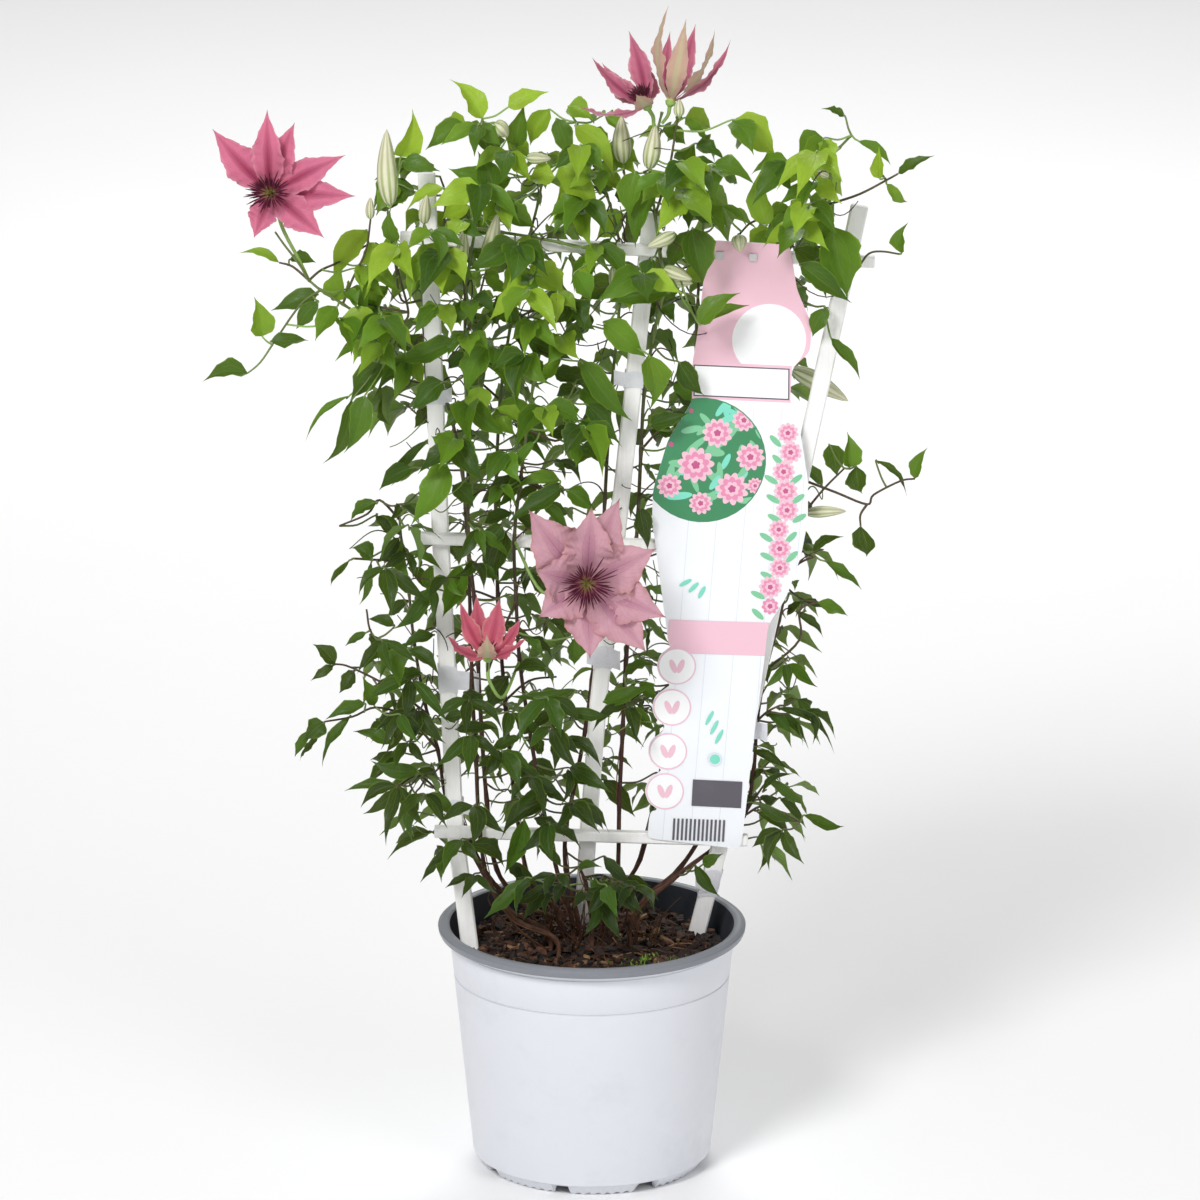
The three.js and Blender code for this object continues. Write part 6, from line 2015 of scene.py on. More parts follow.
@dataclass
class Mesher:
    """Collects sheets, tubes and flat faces in millimetres and turns them into one piece.

    Every point carries a "form" of three values for the materials: its place across and along
    its sheet or tube, and a tone.
    """

    points: list[np.ndarray] = field(default_factory=list)
    forms: list[np.ndarray] = field(default_factory=list)
    faces: list[tuple[int, ...]] = field(default_factory=list)
    slots: list[int] = field(default_factory=list)
    count: int = 0

    def _take(self, points: np.ndarray, forms: np.ndarray) -> int:
        """Add points with their forms.

        Args:
            points: The points.
            forms: Their forms, or one for all.

        Returns:
            The number of the first one.
        """
        start = self.count
        self.points.append(points.reshape(-1, 3))
        self.forms.append(np.broadcast_to(forms, points.shape).reshape(-1, 3))
        self.count += points.size // 3
        return start

    def grid(self, points: np.ndarray, forms: np.ndarray, slot: int = 0, wrap: bool = False,
             ends: bool = False) -> None:
        """Add a sheet from rows of points.

        Args:
            points: Rows by columns of points.
            forms: The form of each point, or one form for all.
            slot: The material's place in the piece's list.
            wrap: Whether the last column joins the first.
            ends: Whether the first and last rows are closed by a face.
        """
        rows, cols = points.shape[:2]
        start = self._take(points, forms)
        for i in range(rows - 1):
            row = start + i * cols
            for k in range(cols if wrap else cols - 1):
                a, b = row + k, row + (k + 1) % cols
                self.faces.append((a, b, b + cols, a + cols))
                self.slots.append(slot)
        if ends:
            last = start + (rows - 1) * cols
            self.faces.append(tuple(range(start + cols - 1, start - 1, -1)))
            self.faces.append(tuple(range(last, last + cols)))
            self.slots += [slot, slot]

    def face(self, points: Sequence[Sequence[float]], form: Sequence[float], slot: int = 0) -> None:
        """Add one flat face.

        Args:
            points: The corners.
            form: The form of all of them.
            slot: The material's place in the piece's list.
        """
        start = self._take(np.array(points, float)[None], np.array(form, float))
        self.faces.append(tuple(range(start, start + len(points))))
        self.slots.append(slot)

    def tube(self, route: np.ndarray, radii: Sequence[float] | float, sides: int, tone: float,
             slot: int = 0, tones: np.ndarray | None = None, ridges: float = 0) -> None:
        """Add a round tube along a route.

        Args:
            route: The centre line's points.
            radii: The radius at each point, or one radius.
            sides: The number of sides.
            tone: The tone of the whole tube.
            slot: The material's place in the piece's list.
            tones: The tone at each point, instead of one.
            ridges: How far every second side is pulled in, as a share of the radius.
        """
        route = np.asarray(route, float)
        ways = np.gradient(route, axis=0)
        ways /= np.maximum(np.linalg.norm(ways, axis=1, keepdims=True), 1e-9)
        radii = np.broadcast_to(np.asarray(radii, float), (len(route),))
        side = unit(np.cross(ways[0], (0.31, 0.52, 0.8) if abs(ways[0][2]) < 0.8 else (1, 0.2, 0)))
        turns = np.linspace(0, 2 * math.pi, sides, endpoint=False)
        pull = 1 - ridges * (np.arange(sides) % 2)
        points = np.empty((len(route), sides, 3))
        for i, way in enumerate(ways):
            side = unit(side - way * float(side @ way))
            other = np.cross(way, side)
            ring = np.cos(turns)[:, None] * side + np.sin(turns)[:, None] * other
            points[i] = route[i] + ring * (radii[i] * pull)[:, None]
        steps = np.linalg.norm(np.diff(route, axis=0), axis=1)
        run = (np.concatenate([[0], np.cumsum(steps)]) / 100)[:, None]
        shade = tone if tones is None else tones[:, None]
        forms = form_values(points, (turns / (2 * math.pi))[None, :], run, shade)
        self.grid(points, forms, slot, wrap=True, ends=True)

    def piece(self, name: str, materials: Sequence[bpy.types.Material], slot: Slot,
              replaced: Sequence[str] = (), crease: float = 50) -> bpy.types.Object:
        """Make the piece.

        Args:
            name: The piece's name.
            materials: Its materials, in the order of the slots of its faces.
            slot: The record's material slot; not used.
            replaced: The nodes that it stands for.
            crease: The angle in degrees above which an edge is sharp.

        Returns:
            The new object, which rides on the body.
        """
        mesh = bpy.data.meshes.new(name)
        points = np.concatenate(self.points) * MM
        mesh.from_pydata(points.tolist(), [], self.faces)
        mesh.polygons.foreach_set("material_index", self.slots)
        mesh.polygons.foreach_set("use_smooth", [True] * len(self.faces))
        forms = mesh.attributes.new("form", "FLOAT_VECTOR", "POINT")
        forms.data.foreach_set("vector", np.concatenate(self.forms).astype(np.float32).ravel())
        mesh.set_sharp_from_angle(angle=math.radians(crease))
        for material in materials:
            mesh.materials.append(material)
        mesh.update()
        piece = bpy.data.objects.new(name, mesh)
        bpy.context.scene.collection.objects.link(piece)
        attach(piece, BODY)
        if replaced:
            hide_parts(*replaced)
        return piece


def blade(mesher: Mesher, leaf: Leaf, slot: int) -> None:
    """Add a leaf blade with a fold along its rib, a wavy edge and a slight twist.

    Args:
        mesher: The mesh to add to.
        leaf: The leaf.
        slot: The material's place in the piece's list.
    """
    rows, cols = FINE_BLADE if leaf.width > BROAD_LEAF else PLAIN_BLADE
    rib, across, up = leaf.axes()
    length, seed = leaf.length, leaf.seed
    t = np.linspace(0, 1, rows)[:, None, None]
    u = np.linspace(-1, 1, cols)[None, :, None]
    slim = leaf.width < BROAD_LEAF
    outline = np.clip(np.sin(np.pi * t ** (0.76 if slim else 0.6)), 0, 1) ** (0.82 + 0.85 * t)
    uneven = 1 + 0.07 * np.sin(2 * np.pi * (3.1 * t + noise(seed, 8.8))) * u
    half = leaf.width / 2 * outline * (1.02 + 0.08 * noise(seed, 4.1)) * uneven
    turn = (noise(seed, 2.2) - 0.5) * 1.7 * t
    side = across * np.cos(turn) + up * np.sin(turn)
    face = up * np.cos(turn) - across * np.sin(turn)
    curl = (0.16 if slim else 0.07) * noise(seed, 7.1)
    lift = length * (LEAF_ARCH * 4 * t * (1 - t) - curl * t**2)
    sway = length * 0.22 * (noise(seed, 5.9) - 0.5) * np.sin(np.pi * t)
    folded = 0.14 + 0.5 * noise(seed, 1.9) + (0.5 if noise(seed, 9.4) > 0.75 else 0)
    fold = half * np.abs(u) ** 1.25 * folded
    waves = 1.8 + 1.7 * noise(seed, 7.7)
    phase = 2 * np.pi * (waves * t + noise(seed, 3.3)) + 2.1 * (u > 0)
    wave = half * u**2 * ((0.16 if slim else 0.07) + 0.15 * noise(seed, 6.6)) * np.sin(phase)
    points = leaf.base + rib * length * t + side * (half * u + sway) + face * (lift + fold + wave)
    mesher.grid(points, form_values(points, u[..., 0], t[..., 0], leaf.age), slot)


def bud(mesher: Mesher, item: Leaf, slot: int) -> None:
    """Add a pointed flower bud with eight ridges.

    Args:
        mesher: The mesh to add to.
        item: The bud.
        slot: The material's place in the piece's list.
    """
    t = np.linspace(0, 1, 14)
    _, across, _ = item.axes()
    bend = across * item.length * 0.05 * (noise(item.seed, 2.8) - 0.5)
    route = item.base + np.outer(t, item.tip - item.base) + np.outer(np.sin(np.pi * t), bend)
    radii = item.width / 2 * np.sin(np.pi * t**0.7) ** 0.8 + 0.35
    radii[-1] = 0.1
    mesher.tube(route, radii, 16, 0.5, slot, tones=t, ridges=0.1)

# Make a sub-assembly.

class PlantPart(IntEnum):
    """The materials of a vine's piece, in the order of its slots."""

    LEAF = 0
    STEM = 1
    BUD = 2


@dataclass
class Foliage:
    """Makes the fine stems, leaves and buds of one vine."""

    grown: Grown
    looks: Looks
    stem_foot_radius: float = 1.5
    stem_taper: float = 0.75
    joint_swelling: float = 0.35
    pieces_per_joint: int = 6
    strands: int = 3
    petiole_radius: float = 0.62
    bud_stalk_radius: float = 0.85
    stem_sides: int = 9
    sprig_radii: tuple[float, float] = (0.85, 0.6)
    sprig_sides: int = 7
    stalk_radii: tuple[float, float] = (0.95, 1.3)
    stalk_sides: int = 8
    strand_radius: float = 0.35
    strand_sides: int = 4
    strand_points: int = 9
    petiole_sides: int = 5
    tendril_step: float = 21
    tendril_radii: tuple[float, float] = (0.55, 0.3)
    tendril_points: int = 15
    depth_limit: float = 80
    left_limit: float = -150
    right_limit: float = 170
    top_limit: float = 690
    mesher: Mesher = field(default_factory=Mesher)

    def make(self) -> bpy.types.Object:
        """Make the vine's piece, which stands for its node.

        Returns:
            The new object.
        """
        vine = self.grown.vine
        self._main()
        for i, sprig in enumerate(vine.sprigs):
            route = curve(sprig, 5)
            height = sprig[0][2]
            tone = 0.5 if height < 520 else 0.3 + 0.2 * noise(i, 6.2)
            radii = np.linspace(*self.sprig_radii, len(route))
            self.mesher.tube(route, radii, self.sprig_sides, tone, PlantPart.STEM)
        for bloom in BLOOMS:
            if bloom.vine == vine.name:
                route = curve(stalk_route(bloom), 6)
                radii = np.linspace(*self.stalk_radii, len(route))
                self.mesher.tube(route, radii, self.stalk_sides, 0.12, PlantPart.STEM)
        self._tendrils()
        for leaf in self.grown.leaves:
            self._petiole(leaf, self.petiole_radius)
            blade(self.mesher, leaf, PlantPart.LEAF)
        for item in self.grown.buds:
            self._petiole(item, self.bud_stalk_radius)
            bud(self.mesher, item, PlantPart.BUD)
        looks = self.looks
        return self.mesher.piece(
            "foliage_" + vine.name, [looks.leaf, looks.stem, looks.bud], Slot.FOLIAGE, [vine.name], 70)

    def _main(self) -> None:
        """Add the main stem, with a swelling at each joint and bark low down."""
        vine = self.grown.vine
        low = (*vine.main[0][:2], SOIL_TOP - ROOTING_DEPTH)
        route = curve([low, *vine.main], self.pieces_per_joint)
        t = np.linspace(0, 1, len(route))
        joint = np.arange(len(route)) % self.pieces_per_joint == 0
        radii = self.stem_foot_radius - self.stem_taper * t + self.joint_swelling * joint
        tones = np.clip(0.88 - (route[:, 2] - 150) / 900 - 0.25 * t, 0.3, 1)
        self.mesher.tube(route, radii, self.stem_sides, 0.8, PlantPart.STEM, tones=tones)
        for k in range(self.strands):
            self._strand(route, k)

    def _strand(self, route: np.ndarray, k: int) -> None:
        """Add a loose strand of bark along the lower part of the stem.

        Args:
            route: The main stem's points.
            k: The strand's number.
        """
        first = 4 + 5 * k + int(4 * noise(k, route[0][0]))
        part = route[first:first + self.strand_points]
        if len(part) < 6:
            return
        t = np.linspace(0, 1, len(part))
        turn = 2 * math.pi * noise(k, route[0][1])
        away = np.array([math.cos(turn), math.sin(turn), 0])
        away = away * (1.6 + 1.8 * noise(k, 5.5))
        part = part + np.outer(np.sin(np.pi * t), away)
        self.mesher.tube(part, self.strand_radius, self.strand_sides, 0.98, PlantPart.STEM)

    def _tendrils(self) -> None:
        """Add thin bare leaf stalks that twist out of the joints, as the plant climbs by them."""
        vine = self.grown.vine
        for i, root in enumerate(along(vine.main[3:], self.tendril_step)[1:-1]):
            turn = GOLDEN_ANGLE * i + len(vine.leaves)
            size = 13 + 22 * noise(i, turn)
            t = np.linspace(0, 1, self.tendril_points)
            way = turn + 4.6 * (noise(i, 1.7) - 0.5) * t**1.5
            swing = 0.22 * np.sin(2 * np.pi * t * (0.5 + noise(i, 6.3)))
            rise = size * ((noise(i, 4.2) - 0.35) * t + swing)
            flat = np.stack([np.cos(way), np.sin(way), np.zeros_like(t)], axis=1) * (size * t)[:, None]
            route = root + flat + np.outer(rise, (0, 0, 1))
            if self._leaves_frame(route):
                continue
            tone = 0.25 + 0.35 * noise(i, 2.9)
            radii = np.linspace(*self.tendril_radii, self.tendril_points)
            self.mesher.tube(route, radii, self.petiole_sides, tone, PlantPart.STEM)

    def _leaves_frame(self, route: np.ndarray) -> bool:
        """Tell whether a twisting stalk would reach out of the plant's spread.

        Args:
            route: The points of the route.

        Returns:
            True where it would.
        """
        x, y, z = route.T
        return bool((np.abs(y) > self.depth_limit).any() or (x < self.left_limit).any()
                    or (x > self.right_limit).any() or (z > self.top_limit).any())

    def _petiole(self, leaf: Leaf, radius: float) -> None:
        """Add the petiole of a leaf or bud, where it has one.

        Args:
            leaf: The leaf or bud.
            radius: The radius in millimetres.
        """
        if not leaf.route:
            return
        rib = unit(leaf.tip - leaf.base)
        route = curve([*leaf.route, leaf.base + rib * min(3.0, 0.2 * leaf.length)], 4)
        radii = np.linspace(radius * 1.15, radius * 0.8, len(route))
        tone = 0.42 - 0.34 * leaf.age
        self.mesher.tube(route, radii, self.petiole_sides, tone, PlantPart.STEM)


@dataclass
class Flower:
    """Makes the sepals and the stamens of one bloom."""

    bloom: Bloom
    looks: Looks
    stamens: int = 64
    styles: int = 14
    style_length: float = 9.5
    style_radii: tuple[float, float] = (0.28, 0.15)
    filament_radius: float = 0.3
    anther_radius: float = 0.46
    sepal_rows: int = 30
    sepal_cols: int = 17
    sepal_widest: float = 0.46
    sepal_fullness: float = 1.1
    rib_height: float = 0.45
    layer_gap: float = 0.75

    def __post_init__(self) -> None:
        """Find the flower's heart and two directions across its axis."""
        self._centre = np.array(self.bloom.centre, float)
        self._side = unit(np.cross(self.bloom.axis, (0.3, 0.2, 1)))
        self._across = np.cross(self.bloom.axis, self._side)

    def make(self) -> None:
        """Make both pieces, which stand for the bloom's two nodes."""
        bloom = self.bloom
        mesher = Mesher()
        for index, tip in enumerate(bloom.tips):
            self._sepal(mesher, np.array(tip, float), index)
        ends = np.array([self._centre + bloom.axis * h for h in (-2.8, -1.5, 0.3, 1.4)])
        mesher.tube(ends, [1.5, 2.8, 3.3, 2.2], 14, 0.1, 1)
        mesher.piece(bloom.name.replace("bloom", "sepals"),
                     [self.looks.petal(bloom), self.looks.stem], Slot.SEPALS, [bloom.name], 80)
        mesher = Mesher()
        for k in range(self.stamens):
            self._stamen(mesher, k)
        for k in range(self.styles):
            self._style(mesher, k)
        node = bloom.name.replace("bloom", "stamens")
        anthers = node.replace("stamens", "anthers")
        mesher.piece(anthers, [self.looks.stamen], Slot.STAMENS, [node], crease=70)

    def _sepal(self, mesher: Mesher, tip: np.ndarray, index: int) -> None:
        """Add a pointed sepal with three raised ribs along its middle and a ruffled edge.

        Args:
            mesher: The mesh to add to.
            tip: Where it ends.
            index: Its number.
        """
        bloom = self.bloom
        rows, cols = self.sepal_rows, self.sepal_cols
        reach = tip - self._centre
        length = float(np.linalg.norm(reach))
        rib = unit(reach)
        across = unit(np.cross(rib, bloom.axis))
        up = unit(np.cross(across, rib))
        width = bloom.width * (0.85 + 0.3 * noise(index, bloom.width)) * self.sepal_fullness
        t = np.linspace(0, 1, rows)[:, None, None]
        u = np.linspace(-1, 1, cols)[None, :, None]
        rise = np.sin(np.pi / 2 * np.clip(t / self.sepal_widest, 0, 1)) ** 0.9
        fall = np.clip((t - self.sepal_widest) / (1 - self.sepal_widest), 0, 1)
        half = width / 2 * (0.14 + 0.86 * rise**1.25) * (1 - fall**1.4) ** (1 + 0.45 * fall)
        layer = self.layer_gap * (1 if index % 2 else -1) * np.sin(np.pi * t)
        lift = bloom.arch * length * 4 * t * (1 - t) + layer
        ribs = sum(np.exp(-((u - c) / 0.07) ** 2) for c in (-0.2, 0.0, 0.2))
        ribs = self.rib_height * ribs * np.sin(np.pi * t) ** 0.6
        phase = 2 * np.pi * (2.3 * t + noise(index, 3.7)) + 2.2 * (u > 0)
        crinkle = np.sin(2 * np.pi * (8.3 * t + noise(index, 6.1)) + 4 * u)
        ruffle = half * np.abs(u) ** 2.2 * (0.22 * np.sin(phase) + 0.11 * crinkle)
        ruffle = ruffle * np.sin(np.pi * t) ** 0.5
        scallop = np.sin(2 * np.pi * 5.3 * t + 3 * index + 2 * u)
        scallop = scallop + 0.6 * np.sin(2 * np.pi * 12.1 * t + 5 * u)
        half = half * (1 + 0.06 * np.abs(u) ** 3 * scallop)
        cup = half * u**2 * (0.3 * t - 0.04)
        sway = length * 0.05 * (noise(index, 9.1) - 0.5) * np.sin(np.pi * t)
        points = (self._centre + rib * length * t + across * (half * u + sway)
                  + up * (lift + ribs + ruffle + cup))
        mesher.grid(points, form_values(points, u[..., 0], t[..., 0], noise(index, 5.5)))

    def _outward(self, turn: float) -> np.ndarray:
        """Return the unit vector away from the axis in a direction."""
        return self._side * math.cos(turn) + self._across * math.sin(turn)

    def _stamen(self, mesher: Mesher, k: int) -> None:
        """Add a filament that leans out, with a long anther at its end.

        Args:
            mesher: The mesh to add to.
            k: Its number.
        """
        bloom = self.bloom
        turn = GOLDEN_ANGLE * k
        share = math.sqrt((k + 1) / self.stamens)
        lean = math.atan(bloom.spread * (0.15 + 0.9 * share)) * (0.9 + 0.25 * noise(k, bloom.width))
        length = bloom.stamen_length * (0.75 + 0.3 * noise(k, 8.8))
        out = self._outward(turn)
        foot = self._centre + bloom.axis * 1.0 + out * 2.2 * share
        t = np.linspace(0, 1, 9)
        bow = lean * (0.55 + 0.45 * t) + 0.35 * (noise(k, 5.5) - 0.5) * t
        route = (foot + np.outer(length * t * np.cos(bow), bloom.axis)
                 + np.outer(length * t * np.sin(bow), out))
        radii = np.where(t < 0.5, self.filament_radius - 0.1 * t, self.anther_radius)
        radii[-2:] = (0.38, 0.12)
        mesher.tube(route, radii, 5, 0.5, 0, tones=t)

    def _style(self, mesher: Mesher, k: int) -> None:
        """Add one pale style of the tuft in the middle.

        Args:
            mesher: The mesh to add to.
            k: Its number.
        """
        out = self._outward(GOLDEN_ANGLE * k)
        t = np.linspace(0, 1, 6)
        lean = 0.22 * (k / self.styles) * (1 + t)
        height = self.style_length * (0.8 + 0.3 * noise(k, 2.4))
        route = (self._centre + np.outer(1 + height * t, self.bloom.axis)
                 + np.outer(height * lean * t + 0.4, out))
        mesher.tube(route, np.linspace(*self.style_radii, 6), 5, 0, 0, tones=t * 0.3)


class PotBand(IntEnum):
    """The materials of the pot's bands, in the order of its slots."""

    OUTSIDE = 0
    RIM = 1
    INSIDE = 2
    # The faces of the seam and grooves, painted darker grey as painted shade.
    LINE = 3


@dataclass
class PotMaker:
    """Makes the pot as one smooth lathed shell, with notches between its feet."""

    looks: Looks
    height: float = 155.0
    rim_radius: float = 95.0
    rim_width: float = 7.5
    rim_drop: float = 7.0
    top_radius: float = 88.0
    seam_radius: float = 74.0
    seam_height: float = 8.0
    foot_radius: float = 67.5
    thickness: float = 1.8
    groove: float = 122.5
    floor_underside: float = 5.6
    floor_top: float = 8.4
    pad_radius: float = 13.0
    notches: int = 8
    notch_width: float = 13.0
    notch_height: float = 5.0
    sides: int = 288
    sides_per_bump: int = 4
    bump_height: float = 0.9

    def wall(self, z: float) -> float:
        """Return the outer radius of the wall at a height."""
        rise = (z - self.seam_height) / (self.height - self.rim_drop - self.seam_height)
        return self.seam_radius + (self.top_radius - self.seam_radius) * rise

    def _profile(self) -> list[tuple[float, float, PotBand]]:
        """Return the lathed line as radius, height and the band above it.

        Returns:
            The line's points, from the middle of the foot to that of the floor.
        """
        wall, under, top = self.wall, self.height - self.rim_drop, self.height
        out, rim, within, line = PotBand.OUTSIDE, PotBand.RIM, PotBand.INSIDE, PotBand.LINE
        foot, seam, edge, groove = self.foot_radius, self.seam_radius, self.rim_radius, self.groove
        low, floor, skin = self.floor_underside, self.floor_top, self.thickness
        lip = edge - self.rim_width
        # The line bands sit in the seam and the grooves and are painted darker, as painted shade.
        return [
            (0, 0, out), (self.pad_radius, 0, out), (self.pad_radius + 2, low, out),
            (foot - 3, low, out), (foot - 2, 0, out), (foot, 0, out), (foot + 1, 0.8, out),
            (seam - 1.6, self.seam_height - 1.2, line), (seam - 0.2, self.seam_height - 0.4, out),
            (wall(self.seam_height + 1), self.seam_height + 1, out),
            (wall(40), 40, out), (wall(80), 80, out),
            (wall(groove - 1.2), groove - 1.2, out), (wall(groove) - 0.1, groove - 0.6, line),
            (wall(groove) - 0.5, groove, line), (wall(groove) - 0.1, groove + 0.6, out),
            (wall(groove + 1.2), groove + 1.2, out), (wall(under - 3.4), under - 3.4, out),
            (wall(under - 3.1) - 0.1, under - 3.1, line), (wall(under - 2.6) - 0.5, under - 2.6, line),
            (wall(under - 2.1), under - 2.1, out), (wall(under), under, out),
            (edge - 2.2, under + 0.4, out), (edge - 1.0, under + 1.2, rim),
            (edge - 0.2, under + 3, rim), (edge, under + 5, rim), (edge - 0.4, top - 2.2, rim),
            (edge - 1.5, top - 0.7, rim), (edge - 3.2, top, rim),
            (lip + 1.6, top - 0.4, rim), (lip + 0.4, top - 1.3, within), (lip, top - 3, within),
            (wall(under - 2) - skin, under - 2, within), (wall(60) - skin, 60, within),
            (wall(floor) - skin, floor, within), (0, floor, within),
        ]

    def make(self) -> bpy.types.Object:
        """Make the pot's piece.

        Returns:
            The new object.
        """
        mesher = Mesher()
        turns = np.linspace(0, 2 * math.pi, self.sides, endpoint=False)
        ring = np.stack([np.cos(turns), np.sin(turns)], axis=1)
        open_here = np.array([self._is_notch(t) for t in turns])
        profile = self._profile()
        bumps = (np.arange(self.sides) // (self.sides_per_bump // 2)) % 2 * self.bump_height
        first = 0
        for end in range(1, len(profile)):
            if end < len(profile) - 1 and profile[end][2] == profile[first][2]:
                continue
            points = np.empty((end - first + 1, self.sides, 3))
            for row, (radius, z, _) in enumerate(profile[first:end + 1]):
                points[row, :, :2] = ring * radius
                on_foot = z < self.notch_height and radius > self.foot_radius - 4
                base = z + (bumps if on_foot and z < 1 else 0)
                notch = np.maximum(z, self.notch_height)
                points[row, :, 2] = np.where(open_here & on_foot, notch, base)
            share = (turns / (2 * math.pi))[None, :]
            forms = form_values(points, share, points[..., 2] / self.height, 0)
            mesher.grid(points, forms, profile[first][2], wrap=True)
            first = end
        return mesher.piece("pot_shell", self.looks.pot, Slot.POT, ["pot"], crease=32)

    def _is_notch(self, turn: float) -> bool:
        """Tell whether a direction lies in a notch between two feet.

        Args:
            turn: The direction in radians.

        Returns:
            True where it does.
        """
        for k in range(self.notches):
            middle = (k + 0.65) * 2 * math.pi / self.notches
            width = self.notch_width * (0.6 if k % 2 else 1)
            off = math.remainder(turn - middle, 2 * math.pi)
            if abs(off) * self.foot_radius < width / 2:
                return True
        return False


@dataclass
class SoilMaker:
    """Makes the soil's lumpy top with bark chips, fibres, moss and the dry old stems of the crown."""

    looks: Looks
    pot: PotMaker
    seed: int = 11
    chips: int = 820
    fibres: int = 260
    moss: int = 260
    old_stems: int = 44
    radius: float = 81.0
    rings: int = 34
    sides: int = 90
    mound: float = 3.0
    mound_radius: float = 60.0
    chip_length: tuple[float, float] = (3.5, 11)
    chip_thickness: tuple[float, float] = (0.8, 2.0)
    fibre_length: tuple[float, float] = (8, 20)
    fibre_radius: tuple[float, float] = (0.22, 0.22)
    moss_length: tuple[float, float] = (2.5, 3)
    stem_height: tuple[float, float] = (14, 34)
    moss_x: float = 44.0
    moss_y: float = -44.0
    crown_foot: float = 134.0
    crown_reach: float = 78.0

    def __post_init__(self) -> None:
        """Start the random draws."""
        self._draw = np.random.default_rng(self.seed)

    def height(self, x: float, y: float) -> float:
        """Return the height of the soil's top at a place.

        Args:
            x: The place's x.
            y: The place's y.

        Returns:
            The height in millimetres.
        """
        mound = self.mound * max(0.0, 1 - math.hypot(x, y) / self.mound_radius)
        lumps = math.sin(x * 0.19 + 1.3) * math.cos(y * 0.23) + 0.6 * math.sin(x * 0.41 - y * 0.37)
        return SOIL_TOP - 0.6 + mound + 1.1 * lumps

    def _spot(self, reach: float) -> tuple[float, float]:
        """Draw a place on the soil.

        Args:
            reach: The greatest distance from the middle.

        Returns:
            The place's x and y.
        """
        radius = reach * math.sqrt(self._draw.random())
        turn = 2 * math.pi * self._draw.random()
        return radius * math.cos(turn), radius * math.sin(turn)

    def make(self) -> None:
        """Make the soil's piece, and the moss and dry stems on it."""
        mesher = Mesher()
        self._top(mesher)
        for _ in range(self.chips):
            self._chip(mesher)
        for _ in range(self.fibres):
            self._fibre(mesher)
        mesher.piece("soil_bark", self.looks.soil, Slot.SOIL, ["soil"], crease=30)
        mesher = Mesher()
        for _ in range(self.moss):
            self._tuft(mesher)
        mesher.piece("moss", [self.looks.moss], Slot.FOLIAGE, (), crease=70)
        mesher = Mesher()
        for _ in range(self.old_stems):
            self._old_stem(mesher)
        mesher.piece("dry_stems", [self.looks.stem], Slot.FOLIAGE, (), crease=70)

    def _top(self, mesher: Mesher) -> None:
        """Add the soil's lumpy top and its side down to the pot's floor.

        Args:
            mesher: The mesh to add to.
        """
        rings, sides = self.rings, self.sides
        turns = np.linspace(0, 2 * math.pi, sides, endpoint=False)
        points = np.empty((rings + 1, sides, 3))
        for r in range(rings):
            radius = max(0.3, self.radius * r / (rings - 1))
            for k, turn in enumerate(turns):
                x, y = radius * math.cos(turn), radius * math.sin(turn)
                points[r, k] = (x, y, self.height(x, y) + 0.9 * (noise(x, y) - 0.5))
        low = self.pot.floor_top + 1
        reach = self.pot.wall(low) - self.pot.thickness - 1
        foot = [reach * np.cos(turns), reach * np.sin(turns), np.full(sides, low)]
        points[rings] = np.stack(foot, axis=1)
        mesher.grid(points[::-1], np.zeros(3), 0, wrap=True, ends=True)

    def _chip(self, mesher: Mesher) -> None:
        """Add an irregular flake of bark that lies on the soil.

        Args:
            mesher: The mesh to add to.
        """
        draw = self._draw
        x, y = self._spot(self.radius - 5)
        least, more = self.chip_length
        length = least + more * draw.random() ** 1.6
        width = length * (0.25 + 0.35 * draw.random())
        thick = self.chip_thickness[0] + self.chip_thickness[1] * draw.random()
        turn, tilt, roll = draw.random() * math.pi, draw.normal(0, 0.28), draw.normal(0, 0.35)
        way = np.array([math.cos(turn) * math.cos(tilt), math.sin(turn) * math.cos(tilt), math.sin(tilt)])
        side = unit(np.cross((math.sin(roll) * way[1], -math.sin(roll) * way[0], math.cos(roll)), way))
        up = np.cross(way, side)
        centre = np.array([x, y, self.height(x, y) + 0.5 + thick * 0.4 + draw.random() * 1.8])
        rows = []
        for t, w in ((-0.5, 0.35), (-0.2, 0.95), (0.15, 1), (0.5, 0.45)):
            middle = centre + way * (t * length) + up * draw.normal(0, 0.3)
            corners = ((-0.5, -0.5), (0.5, -0.4), (0.45, 0.5), (-0.5, 0.45))
            rows.append([middle + side * (a * width * w * (0.8 + 0.4 * draw.random()))
                         + up * (b * thick * (0.7 + 0.5 * draw.random())) for a, b in corners])
        form = np.array([draw.random(), draw.random(), draw.random()])
        mesher.grid(np.array(rows), form, 1, wrap=True, ends=True)

    def _fibre(self, mesher: Mesher) -> None:
        """Add a thin curved fibre that lies over the chips.

        Args:
            mesher: The mesh to add to.
        """
        draw = self._draw
        x, y = self._spot(self.radius - 12)
        turn = draw.random() * 2 * math.pi
        length = self.fibre_length[0] + self.fibre_length[1] * draw.random()
        t = np.linspace(0, 1, 8)
        bend = turn + draw.normal(0, 1.1) * t
        px, py = x + length * t * np.cos(bend), y + length * t * np.sin(bend)
        keep = np.hypot(px, py) < self.radius - 4
        if keep.sum() < 4:
            return
        px, py, t = px[keep], py[keep], t[keep]
        base = np.array([self.height(a, b) for a, b in zip(px, py)])
        pz = base + 1.6 + 3.2 * draw.random() * np.sin(np.pi * t)
        radius = self.fibre_radius[0] + self.fibre_radius[1] * draw.random()
        mesher.tube(np.stack([px, py, pz], axis=1), radius, 5, 0.55 + 0.45 * draw.random(), 1)

